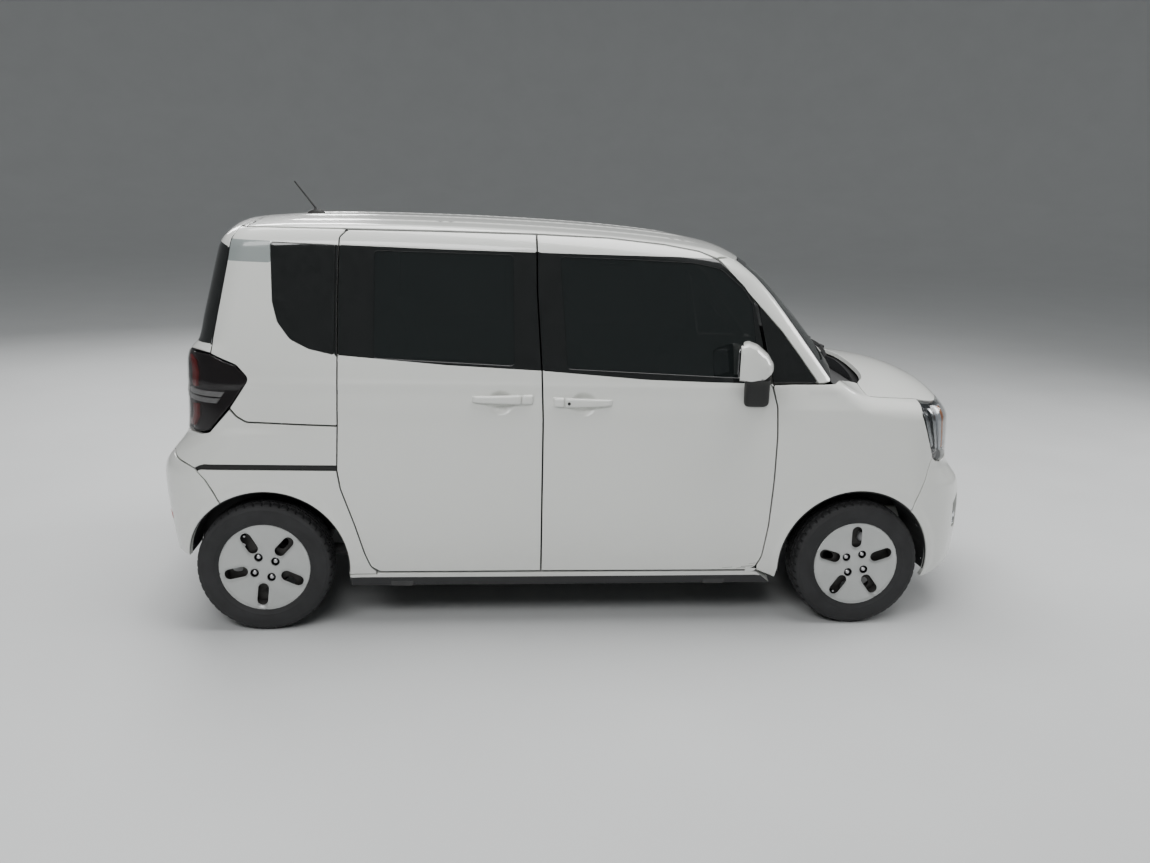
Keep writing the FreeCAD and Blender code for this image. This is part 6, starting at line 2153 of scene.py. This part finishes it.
# front subframe with pressed lower arms
bag = Bag()
for xa, xb in ((2332, 2398), (2642, 2708)):
    bag.add(rbox(xa, xb, -418, 418, 206, 249, 11), 0)
    for y in np.arange(-330, 331, 110):
        bag.add(lathe([(16, 0), (20, 2.5), (23, 0), (23, -1), (16, -1)], lambda r, a, t, xa=xa, xb=xb, y=y: ((xa + xb) / 2 + r * math.cos(a), y + r * math.sin(a), 206 - t), 24), 0)
for s in (-1, 1):
    bag.add(rbox(2334, 2706, *sorted((s * 342, s * 418)), 207, 248, 11), 0)
    arm_o = rounded([(2346, 417, 14), (2396, 417, 14), (2470, 500, 40), (2520, 524, 60), (2580, 500, 40), (2644, 417, 14), (2694, 417, 14), (2600, 556, 40), (2548, 586, 22), (2492, 586, 22), (2440, 540, 40)], 6)
    bag.add(prism(arm_o, lambda a, b, t, s=s: (a, s * b, t), 184, 204, 4, 3), 1)
    lip = plate(arm_o, [inset(np.array(arm_o), 9)], lambda a, b: 207.0, lambda a, b, t, s=s: (a, s * b, t), grid=80, edge=1, deep=4)
    bag.add(facing(lip, 20, (0, 0, 1)), 1)
    for xb in (2370, 2670):
        bag.add(lathe([(24, -24), (24, 24), (10, 24), (10, -24)], lambda r, a, t, xb=xb, s=s: (xb + t, s * 424 + r * math.cos(a), 196 + r * math.sin(a) * 0.6), 24), 2)
        hexbolt(bag, (xb, s * 380, 206), (0, 0, -1), 11, 9, 3)
    bag.add(lathe([(0.5, 178), (16, 180), (22, 190), (22, 206), (12, 222), (0.5, 224)], lambda r, a, t, s=s: (2520 + r * math.cos(a), s * 566 + r * math.sin(a), t), 28, closed=False), 2)
    for k in range(3):
        hexbolt(bag, (2490 + 30 * k, s * (548 if k != 1 else 540), 184), (0, 0, -1), 7, 6, 3)
# steering rack with boots and tie rods
bag.add(tube([(2432, -300, 262), (2432, 300, 262)], 20, 18), 1)
for s in (-1, 1):
    boot = [(2432, s * (300 + 9 * k), 262) for k in range(12)]
    bag.add(tube(boot, [25 if k % 2 else 18 for k in range(12)], 18), 2)
    bag.add(tube([(2432, s * 398, 262), (2446, s * 534, 328)], 8, 12), 1)
bag.out("front_subframe_assembly", [UNDER, DARKMETAL, RUBBER, BOLT], "car_body", "front_subframe", "underbody_steel")

for s, nm in SIDES:
    bag = Bag()
    wx = 2520.0

    def hub(r, a, t, s=s):
        return (wx + r * math.cos(a), s * t, 276.8 + r * math.sin(a))
    bag.add(lathe([(66, 642), (70, 648), (70, 694), (60, 700), (34, 700), (34, 642)], hub, 48), 0)
    bag.add(lathe([(0.5, 736), (20, 737), (24, 732), (24, 690), (0.5, 690)], hub, 32, closed=False), 0)
    bag.add(lathe([(112, 656), (118, 659), (118, 666), (60, 667), (60, 656)], hub, 56), 1)
    bag.add(loft([[(wx + hw * math.copysign(abs(math.cos(a)) ** 0.6, math.cos(a)), s * (yc + 20 * math.copysign(abs(math.sin(a)) ** 0.6, math.sin(a))), z)
                   for a in np.linspace(0, 2 * math.pi, 24, endpoint=False)]
                  for z, hw, yc in ((218, 22, 608), (236, 30, 614), (262, 34, 624), (300, 34, 626), (340, 30, 624), (372, 26, 618), (388, 22, 614))]), 0)
    bag.add(tube([(wx, s * 611, 344), (wx, s * 596, 452)], 25, 24), 1)
    bag.add(lathe([(25, 0), (44, 6), (46, 12), (25, 10)], lambda r, a, t, s=s: (wx + r * math.cos(a), s * (601 - 0.1 * t) + r * math.sin(a), 430 + t), 32), 1)
    bag.add(tube([(wx, s * (596 - 1.9 * k), 452 + 12.2 * k) for k in range(11)], [21 if k % 2 else 15 for k in range(11)], 20), 2)
    bag.add(tube([(wx, s * 577, 572), (wx, s * 575.5, 587)], 20, 20), 1)
    for z in (352, 380):
        bag.add(rbox(wx - 34, wx + 34, *sorted((s * 596, s * 632)), z - 9, z + 9, 6), 1)
        hexbolt(bag, (wx + 34, s * 614, z), (1, 0, 0), 9, 7, 3)
    bag.add(tube(smooth_path([(wx - 20, s * 622, 326), (wx - 60, s * 600, 336), (2448, s * 560, 340)], 5), [16, 15, 14, 13, 13, 12, 12, 12, 12, 13, 13][:11], 14), 0)
    bag.add(tube(smooth_path([(wx + 30, s * 600, 300), (wx + 70, s * 560, 360), (wx + 50, s * 530, 430)], 6), 5.5, 10), 2)
    bag.out("front_%s_knuckle_casting" % nm, [CAST, DARKMETAL, RUBBER, BOLT], "front_%s_knuckle" % nm, "front_%s_knuckle" % nm, "underbody_steel")

# exhaust
bag = Bag()
ep = smooth_path([(2230, -60, 226), (1900, -60, 226), (1500, -60, 226), (1180, -50, 226), (1040, 130, 226), (960, 262, 226), (700, 292, 226),
                  (480, 300, 226), (180, 300, 214), (0, 318, 222), (-90, 330, 236), (-140, 330, 262)], 7)
bag.add(tube(ep, 23, 18), 0)
bag.add(loft([[(x_, -60 + w_ * math.cos(a), 226 + h_ * math.sin(a)) for a in np.linspace(0, 2 * math.pi, 32, endpoint=False)]
              for x_, w_, h_ in ((1990, 23, 23), (1960, 44, 30), (1930, 50, 32), (1760, 50, 32), (1730, 44, 30), (1700, 23, 23))]), 0)
bag.add(tube([(2150 - 7 * k, -60, 226) for k in range(13)], [29 if k % 2 else 25 for k in range(13)], 20), 1)
msec = []
for x_, g_ in ((-328, 0.86), (-324, 0.96), (-316, 1.0), (-312, 1.03), (-308, 1.0), (-142, 1.0), (-138, 1.03), (-134, 1.0), (-126, 0.96), (-122, 0.86)):
    msec.append([(x_, 265 + 152 * g_ * math.copysign(abs(math.cos(a)) ** 0.62, math.cos(a)), 272 + 55 * g_ * math.copysign(abs(math.sin(a)) ** 0.7, math.sin(a)))
                 for a in np.linspace(0, 2 * math.pi, 56, endpoint=False)])
bag.add(loft(msec), 0)
tp_ = smooth_path([(-318, 380, 262), (-346, 380, 252), (-368, 380, 236), (-380, 380, 214)], 6)
bag.add(tube(tp_, 19, 18), 0)
for px, py in ((-200, 300), (-260, 160), (470, 300), (1100, 20)):
    bag.add(tube([(px, py, 330 if px < 0 else 244), (px, py, 396 if px < 0 else 260)], 4, 8), 1)
    bag.add(rbox(px - 10, px + 10, py - 14, py + 14, 352 if px < 0 else 246, 380 if px < 0 else 258, 5), 2)
for px in (1440, 640):
    bag.add(rbox(px - 6, px + 6, *((-100, -20) if px > 1000 else (252, 332)), 196, 255, 4), 1)
    for d_ in (-32, 32):
        yy = (-60 if px > 1000 else 292) + d_
        hexbolt(bag, (px - 6, yy, 226), (-1, 0, 0), 6, 6, 3)
bag.out("exhaust_assembly", [CAST, DARKMETAL, RUBBER, BOLT], "car_body", "exhaust", "underbody_steel")

# fuel tank with straps, seam and filler pipe
bag = Bag()
bag.add(rbox(482, 998, -518, 138, 191, 255, 24, 4), 0)
bag.add(rbox(476, 1004, -524, 144, 226, 232, 2.5), 0)
for y in (-380, -40):
    bag.add(rbox(474, 1008, y - 16, y + 16, 187, 191.5, 1.5), 1)
    for x_ in (472, 1010):
        bag.add(rbox(x_ - 3, x_ + 3, y - 16, y + 16, 188, 260, 2), 1)
        hexbolt(bag, (x_, y, 246), (1 if x_ > 700 else -1, 0, 0), 7, 6, 2)
for k in range(5):
    bag.add(rbox(530 + 90 * k, 548 + 90 * k, -330, -90, 187.5, 192, 2), 0)
bag.add(tube(smooth_path([(500, 120, 236), (450, 240, 252), (440, 430, 300), (444, 500, 372)], 6), 19, 14), 3)
bag.out("fuel_tank_assembly", [PLASTIC, DARKMETAL, BOLT, RUBBER], "car_body", "fuel_tank", "black_plastic")

# floor members, ribs, pipes, plugs
bag = Bag()
for y in (-642, 642):
    bag.add(rbox(452, 2160, y - 34, y + 34, 240, 264, 7), 0)
    for x_ in np.arange(520, 2140, 180):
        hexbolt(bag, (x_, y, 240), (0, 0, -1), 8, 5, 1)
for y in (-330, 330):
    bag.add(rbox(1060, 2330, y - 32, y + 32, 236, 264, 8), 0)
for x_ in (1120, 1480, 1840, 2120):
    for y0, y1 in ((-606, -364), (-296, -112), (-8, 296), (364, 606)):
        bag.add(rbox(x_ - 26, x_ + 26, y0, y1, 250, 264, 6), 0)
for x_ in (1240, 1300, 1360, 1600, 1660, 1720, 1940, 2000):
    for y0, y1 in ((-600, -370), (370, 600)):
        bag.add(rbox(x_ - 9, x_ + 9, y0, y1, 256, 264, 4), 0)
for x_, y in ((1180, -480), (1180, 480), (1560, -480), (1560, 480), (1900, -480), (1900, 480), (1560, 150), (760, 500), (620, 500)):
    bag.add(lathe([(0.5, 258), (22, 258), (26, 261), (26, 264), (0.5, 264)], lambda r, a, t, x_=x_, y=y: (x_ + r * math.cos(a), y + r * math.sin(a), t), 24, closed=False), 2)
for k in range(3):
    bag.add(tube(smooth_path([(2180, 80 + 14 * k, 252), (1500, 84 + 14 * k, 252), (1150, 92 + 14 * k, 252), (1040, 196 + 12 * k, 250), (1030, 400 + 8 * k, 250), (470, 420 + 12 * k, 250)], 6), 3.2, 8), 3)
for x_ in (-300, -120, 60, 250, 380):
    bag.add(rbox(x_ - 16, x_ + 16, -430, 430, 388, 404, 6), 0)
for y in (-300, 0, 300):
    bag.add(rbox(-320, 400, y - 14, y + 14, 392, 404, 5), 0)
for s in (-1, 1):
    for x_ in (560, 1900):
        bag.add(rbox(x_ - 48, x_ + 48, *sorted((s * 712, s * 754)), 180.5, 204, 4), 0)
    bag.add(tube([(2330 + 12 * k, s * 415, 306 + 10 * math.sin(k / 4.0)) for k in range(48)], 4.0, 8), 3)
bag.out("floor_members", [UNDER, BOLT, RUBBER, DARKMETAL], "car_body", None, "underbody_steel")

# ------------------------------------------------------------- engine bay
bag = Bag()
bag.add(rbox(2356, 2700, -322, 300, 330, 640, 22), 0)
bag.add(rbox(2380, 2680, -260, 240, 300, 336, 14), 2)                     # sump
for k in range(9):
    bag.add(rbox(2392 + 32 * k, 2400 + 32 * k, -250, 230, 292, 304, 3), 2)
bag.add(lathe([(0.5, 0), (86, 0), (92, 6), (92, 60), (110, 64), (110, 120), (70, 124), (0.5, 124)],
              lambda r, a, t: (2520 + r * math.cos(a), 376 - t, 300 + r * math.sin(a)), 48, closed=False), 0)
for k in range(7):                                                       # gearbox ribs
    bag.add(rbox(2400 + 46 * k, 2406 + 46 * k, -330, -322, 350, 620, 2.5, 2), 0)
    bag.add(rbox(2360, 2694, -329, -322, 350 + 42 * k, 356 + 42 * k, 2.5, 2), 0)
bag.add(rbox(2370, 2690, -290, 262, 636, 690, 18), 0)                     # cam cover
cov = rounded([(2372, -236, 40), (2700, -236, 60), (2730, -60, 60), (2700, 236, 60), (2372, 236, 40)], 8)
cv = plate(cov, [], lambda a, b: 752 + 10 * math.cos((a - 2540) / 130.0) - 5 * math.exp(-((abs(b) - 90) / 7.0) ** 2) - 5 * math.exp(-((a - 2640) / 7.0) ** 2),
           lambda a, b, t: (a, b, t), grid=11, edge=8, deep=52)
bag.add(facing(cv, 60, (0, 0, 1)), 1)
bag.add(lathe([(0.5, 0), (24, 0), (28, 3), (28, 16), (24, 20), (0.5, 20)], lambda r, a, t: (2430 + r * math.cos(a), 262 + r * math.sin(a), 690 + t), 24, closed=False), 1)
bag.add(tube([(2470, 280, 660), (2480, 300, 720), (2484, 302, 776)], 4, 8), 3)
bag.add(tube([(2484 + 16 * math.cos(t), 302, 790 + 16 * math.sin(t)) for t in np.linspace(0, 2 * math.pi, 20, endpoint=False)], 3.4, 8, cap=False, ring=True), 5)
for s in (-1, 1):                                                        # drive shafts with boots
    bag.add(tube([(2520, s * 372, 276.8), (2520, s * 556, 276.8)], 13, 16), 2)
    bag.add(tube([(2520, s * (380 + 9 * k), 276.8) for k in range(8)], [34, 26, 31, 23, 28, 21, 25, 18], 22), 3)
    bag.add(tube([(2520, s * (556 - 9 * k), 276.8) for k in range(7)], [34, 27, 31, 24, 27, 20, 18], 22), 3)
# pulleys on the right end
for cx, cz, r_ in ((2440, 400, 62), (2560, 420, 44), (2620, 520, 38), (2430, 560, 40)):
    bag.add(lathe([(r_, 0), (r_ - 4, 6), (r_, 12), (r_, 22), (12, 22), (12, 0)], lambda r, a, t, cx=cx, cz=cz: (cx + r * math.cos(a), -330 - t, cz + r * math.sin(a)), 36), 2)
# radiator, fan and hoses
bag.add(rbox(2852, 2884, -330, 330, 420, 850, 8), 1)
for k in range(42):
    bag.add(rbox(2884, 2888, -316, 316, 432 + 9.6 * k, 435 + 9.6 * k, 1.2, 1), 2)
bag.add(lathe([(188, 0), (196, 0), (200, -26), (192, -26)], lambda r, a, t: (2848 + t, -40 + r * math.cos(a), 640 + r * math.sin(a)), 64), 1)
for k in range(7):
    a0 = 2 * math.pi * k / 7
    bag.add(loft([[(2836 + 9 * math.cos(q) * 0.4 + 14 * math.sin(0.5) * (r_ / 180.0) * (math.sin(q)), -40 + r_ * math.cos(a0 + 0.22 * math.sin(q)), 640 + r_ * math.sin(a0 + 0.22 * math.sin(q)))
                   for q in np.linspace(0, 2 * math.pi, 14, endpoint=False)] for r_ in (50, 100, 150, 182)]), 1)
bag.add(lathe([(0.5, -20), (50, -18), (56, -10), (56, 8), (0.5, 8)], lambda r, a, t: (2838 + t, -40 + r * math.cos(a), 640 + r * math.sin(a)), 36, closed=False), 1)
bag.add(tube(smooth_path([(2850, 250, 800), (2800, 262, 820), (2740, 256, 760), (2690, 250, 690)], 8), 19, 16), 3)
bag.add(tube(smooth_path([(2850, -270, 470), (2780, -300, 440), (2710, -280, 420)], 8), 19, 16), 3)
bag.add(tube(smooth_path([(2700, 40, 740), (2780, 60, 800), (2800, 200, 870), (2770, 330, 880)], 8), 34, 20), 1)
bag.add(rbox(2700, 2850, 300, 460, 790, 930, 18), 1)                      # air filter
bag.out("engine_assembly", [CAST, GLOSSBLK, DARKMETAL, RUBBER, BOLT, AMBER], "car_body", "engine_and_gearbox", "engine_casting")

bag = Bag()
bag.add(rbox(2560, 2690, 378, 548, 690, 862, 9), 0)                       # battery
bag.add(rbox(2556, 2694, 374, 552, 676, 696, 4), 3)
bag.add(rbox(2616, 2634, 372, 554, 862, 872, 3), 2)
for y, mi in ((404, 1), (522, 0)):
    bag.add(lathe([(0.5, 20), (9, 20), (10, 0), (0.5, 0)], lambda r, a, t, y=y: (2584 + r * math.cos(a), y + r * math.sin(a), 862 + t), 20, closed=False), 2)
    bag.add(rbox(2570, 2606, y - 16, y + 16, 868, 884, 5), mi)
    bag.add(tube(smooth_path([(2570, y, 876), (2530, y - 20, 870), (2500, y - 60, 780)], 6), 7, 10), mi)
bag.add(rbox(2700, 2800, -560, -420, 700, 850, 20), 4)                    # washer and coolant bottles
bag.add(lathe([(0.5, 22), (24, 22), (28, 16), (28, 0), (0.5, 0)], lambda r, a, t: (2750 + r * math.cos(a), -490 + r * math.sin(a), 850 + t), 28, closed=False), 3)
bag.add(rbox(2560, 2660, -560, -440, 720, 830, 18), 4)
bag.add(lathe([(0.5, 20), (20, 20), (23, 15), (23, 0), (0.5, 0)], lambda r, a, t: (2610 + r * math.cos(a), -500 + r * math.sin(a), 830 + t), 28, closed=False), 3)
bag.add(rbox(2520, 2680, -420, -340, 760, 850, 10), 3)                    # fuse box
bag.add(lathe([(0.5, 0), (60, 0), (112, 16), (118, 34), (112, 52), (60, 66), (26, 70), (24, 150), (0.5, 152)],
              lambda r, a, t: (2440 + t * 0.7, 380 + r * math.cos(a) * 0.86, 850 + r * math.sin(a) * 0.86), 40, closed=False), 3)
bag.add(rbox(2500, 2548, 356, 404, 880, 930, 9), 4)
bag.out("engine_bay_fittings", [PLASTIC, RED, BOLT, GLOSSBLK, TRIM2], "car_body", None, "black_plastic")

# inner wings, bulkhead and lamp carrier in the dull inside paint, whose darker colour is painted shade
bag = Bag()
for s in (-1, 1):
    wing = rounded([(2520, 650, 20), (2600, 650, 40), (2790, 640, 40), (2900, 520, 30), (2930, 560, 20), (2900, 900, 20), (2740, 985, 30), (2522, 1005, 20)], 10)
    bag.add(prism(wing, lambda a, b, t, s=s: (a, s * (600 + 14 * math.sin((b - 700) / 90.0) + t), b), 0, 5, 1.5), 0)
    bag.add(lathe([(30, 706), (84, 700), (104, 680), (112, 640), (116, 612), (110, 612), (100, 676), (80, 694), (30, 700)],
                  lambda r, a, t, s=s: (2520 + r * math.cos(a), s * 560 + r * math.sin(a) * 0.62, t), 48), 0)
    for k in range(3):
        a = 0.5 + 2 * math.pi * k / 3
        hexbolt(bag, (2520 + 58 * math.cos(a), s * 560 + 36 * math.sin(a), 702), (0, 0, 1), 8, 8, 1)
    bag.add(rbox(2640, 2950, *sorted((s * 402, s * 456)), 384, 440, 12), 0)
    bag.add(rbox(2850, 2900, *sorted((s * 350, s * 404)), 420, 900, 10), 0)
bulk = plate(rounded([(-600, 640, 30), (600, 640, 30), (610, 1000, 30), (-610, 1000, 30)], 12), [],
             lambda a, b: 8 * math.sin(a / 60.0) * math.exp(-((b - 800) / 110.0) ** 2), lambda a, b, t: (2404 + t - 0.0 * b, a, b), grid=34, edge=3, deep=4)
bag.add(facing(bulk, 60, (1, 0, 0)), 0)
bag.add(rbox(2862, 2916, -560, 560, 872, 912, 12), 0)
for y in np.arange(-480, 481, 120):
    hexbolt(bag, (2889, y, 912), (0, 0, 1), 7, 5, 1)
bag.add(rbox(2886, 2922, -34, 34, 908, 940, 6), 1)
bag.add(tube([(2904, -20, 936), (2904, -8, 950), (2904, 8, 950), (2904, 20, 936)], 4, 8), 1)
bag.out("engine_bay_panels", [PAINT_IN_SHADE, DARKMETAL], "car_body", None, "white_paint")

# hood lining with ribs and the striker
bag = Bag()
lining = []
for x_ in np.linspace(2648, 2900, 20):
    row = []
    for y in np.linspace(-520, 520, 45):
        zt = float(HOOD(x_)) - 0.000165 * y * y
        d_ = 24 + 7 * (math.sin((x_ - 2648) / 252 * math.pi * 3) * math.cos(y / 82.0)) ** 2
        row.append((x_, y * (1.0 if x_ < 2800 else 1 - (x_ - 2800) / 1400.0), zt - d_))
    lining.append(row)
bag.add(sheet_of(lining, 4.0), 0)
bag.add(tube([(2886, -14, 988), (2886, -14, 962), (2886, 14, 962), (2886, 14, 988)], 5, 10), 1)
for y in (-500, 500):
    bag.add(rbox(2584, 2660, y - 10, y + 10, 998, 1008, 4), 1)
bag.out("hood_lining", [PLASTIC, DARKMETAL], "hood", None, "black_plastic")

# ribbed liners of the four wheel arches
def arch_guard(bag, arch, a0, a1, s):
    ax, az, r = arch
    ang = np.radians(np.linspace(a0, a1, 90))
    skin = on_side([(ax + r * math.cos(a), az + r * math.sin(a)) for a in ang], s, "nose" if ax > 1000 else "all")
    rows = []
    for a, p in zip(ang, skin):
        yo = abs(p[1]) - 6.0
        ribs_ = 1.6 * (0.5 + 0.5 * math.cos(a * 46))
        line_ = []
        for k, t in enumerate(np.linspace(0, 1, 14)):
            rr = r - 3.0 - (ribs_ if 0.18 < t < 0.8 else 0) + 14.0 * max(0.0, t - 0.8) / 0.2
            line_.append((ax + rr * math.cos(a), s * (yo + (450.0 - yo) * t), az + rr * math.sin(a), a))
        rows.append(line_)
    v, f = [], []
    n, m = len(rows), len(rows[0])
    for off in (0.0, 2.5):
        for line_ in rows:
            for x, y, z, a in line_:
                v.append((x + off * math.cos(a), y, z + off * math.sin(a)))
    o = n * m
    for i in range(n - 1):
        for j in range(m - 1):
            q = (i * m + j, i * m + j + 1, (i + 1) * m + j + 1, (i + 1) * m + j)
            f.append(q)
            f.append(tuple(k + o for k in q[::-1]))
    ring_ = [j for j in range(m)] + [i * m + m - 1 for i in range(1, n)] + \
            [(n - 1) * m + j for j in range(m - 2, -1, -1)] + [i * m for i in range(n - 2, 0, -1)]
    for k in range(len(ring_)):
        p, q = ring_[k], ring_[(k + 1) % len(ring_)]
        f.append((q, p, p + o, q + o))
    bag.add(fix(v, f), 0)
    # inner wall with an opening round the axle
    zb, ri = (372.0, 186.0) if ax > 1000 else (330.0, 122.0)
    q0 = math.asin((zb - az) / (r + 10))
    q1 = math.asin((zb - az) / ri)
    wall = [(ax + (r + 10) * math.cos(q), az + (r + 10) * math.sin(q)) for q in np.linspace(q0, math.pi - q0, 60)]
    wall += [(ax + ri * math.cos(q), az + ri * math.sin(q)) for q in np.linspace(math.pi - q1, q1, 24)]
    bag.add(prism(wall, lambda a, b, t: (a, s * (446 + t), b), 0, 4, 1.0), 0)
    if ax < 1000:
        # the wall reaches lower behind the rear wheel
        low = [(ax - r - 10, 240), (ax - 210, 240), (ax - 150, 334), (ax - r - 6, 334)]
        bag.add(prism(rounded([(p[0], p[1], 6) for p in low], 3), lambda a, b, t: (a, s * (447 + t), b), 0, 4, 1.0), 0)
    for k in (3, 17, 31, 45, 59, 73, 87):
        a = ang[k]
        hexbolt(bag, (ax + (r - 3.5) * math.cos(a), s * (abs(skin[k][1]) - 40), az + (r - 3.5) * math.sin(a)),
                (-math.cos(a), 0, -math.sin(a)), 6, 3, 1)


bag = Bag()
for s, nm in SIDES:
    arch_guard(bag, ARCH_R, 174.0, -4.0, s)
    arch_guard(bag, ARCH_F, -6.0, 186.0, s)
bag.out("wheel_arch_guards", [PLASTIC, GLOSSBLK], "car_body", "wheel_arch_liners", "black_plastic")

# --------------------------------------------- finishes of the CAD's own nodes
DRESS = {"floor_pan": UNDER, "front_subframe": UNDER, "rear_axle": UNDER, "fuel_tank": PLASTIC, "exhaust": DARKMETAL,
         "engine_and_gearbox": CAST, "wheel_arch_liners": PLASTIC, "cowl_panel": PLASTIC, "slide_rail": GLOSSBLK,
         "dashboard": TRIM, "steering_wheel": TRIM, "front_seats": CLOTH, "rear_seat": CLOTH,
         "front_left_knuckle": CAST, "front_right_knuckle": CAST, "windscreen": SCREEN_GLASS}
for nname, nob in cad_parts.items():
    mat_ = DRESS.get(nname)
    if mat_ is None:
        mat_ = (GLASS if "glass" in nname or "window" in nname else TYRE if "tyre" in nname else SILVER if "rim" in nname
                else GLOSSBLK if "lamp" in nname else PAINT)
    if len(nob.material_slots):
        for sl_ in nob.material_slots:
            sl_.material = mat_
    else:
        nob.data.materials.append(mat_)

# ------------------------------------------------------------ camera, light
cam_data = bpy.data.cameras.new("camera")
cam = bpy.data.objects.new("camera", cam_data)
bpy.context.scene.collection.objects.link(cam)
bpy.context.scene.camera = cam
cam_data.type = "PERSP"
cam_data.sensor_width = 36.0
cam_data.lens = 32.1
cam_data.clip_start, cam_data.clip_end = 0.1, 200.0
CAM = np.array([877.0, -4871.0, 1847.0])
YAW, PIT, ROL = 0.0966, 0.2348, -0.028
f = Vector((math.sin(YAW) * math.cos(PIT), math.cos(YAW) * math.cos(PIT), -math.sin(PIT)))
right = f.cross(Vector((0, 0, 1))).normalized()
up = right.cross(f).normalized()
up2 = (Matrix.Rotation(ROL, 3, f) @ up)
right2 = (Matrix.Rotation(ROL, 3, f) @ right)
R = Matrix((right2, up2, -f)).transposed()
cam.matrix_world = Matrix.Translation(Vector(M(CAM))) @ R.to_4x4()


def area(name, loc, size, power, at, color=(1, 1, 1)):
    l = bpy.data.lights.new(name, "AREA")
    l.shape = "RECTANGLE"
    l.size, l.size_y = size
    l.energy = power
    l.color = color
    o = bpy.data.objects.new(name, l)
    bpy.context.scene.collection.objects.link(o)
    o.location = loc
    o.rotation_euler = (Vector(at) - Vector(loc)).to_track_quat("-Z", "Y").to_euler()
    return o


area("key", (-2.6, -6.5, 6.0), (6.0, 2.2), 330, (0.0, 0, 0.5))
area("top", (0.2, 0.2, 6.2), (7.0, 3.4), 420, (0, 0, 0))
area("back", (-3.5, 6.0, 4.6), (4.0, 2.0), 260, (0, 0, 0.8))
area("front", (7.0, 1.5, 3.6), (3.0, 2.4), 200, (1.0, 0, 0.6))
w = bpy.data.worlds.new("room")
bpy.context.scene.world = w
w.use_nodes = True
w.node_tree.nodes["Background"].inputs[0].default_value = (0.74, 0.76, 0.77, 1)
w.node_tree.nodes["Background"].inputs[1].default_value = 0.42
# one pale sheet: floor that rises far away into a backdrop all round
ring_n, fv, ff = 96, [(0.0, 0.0, 0.0)], []
prof_ = [(3, 0), (6, 0), (10, 0), (16, 0), (22, 0.0), (26, 0.5), (29.5, 1.9), (32, 4.4), (33.5, 7.6), (34, 12), (34, 30)]
for r_, z_ in prof_:
    for k in range(ring_n):
        t_ = 2 * math.pi * k / ring_n
        fv.append((r_ * math.cos(t_), r_ * math.sin(t_), z_))
for k in range(ring_n):
    ff.append((0, 1 + k, 1 + (k + 1) % ring_n))
for j in range(len(prof_) - 1):
    for k in range(ring_n):
        a_, b_ = 1 + j * ring_n, 1 + (j + 1) * ring_n
        ff.append((a_ + k, b_ + k, b_ + (k + 1) % ring_n, a_ + (k + 1) % ring_n))
floor_me = bpy.data.meshes.new("floor")
floor_me.from_pydata(fv, [], ff)
floor_me.polygons.foreach_set("use_smooth", np.full(len(ff), True))
FLOOR = plain("floor", (0.62, 0.63, 0.63), 0.65, spot=0.02, scale=1.2)
floor_me.materials.append(FLOOR)
floor_ob = bpy.data.objects.new("floor", floor_me)
bpy.context.scene.collection.objects.link(floor_ob)
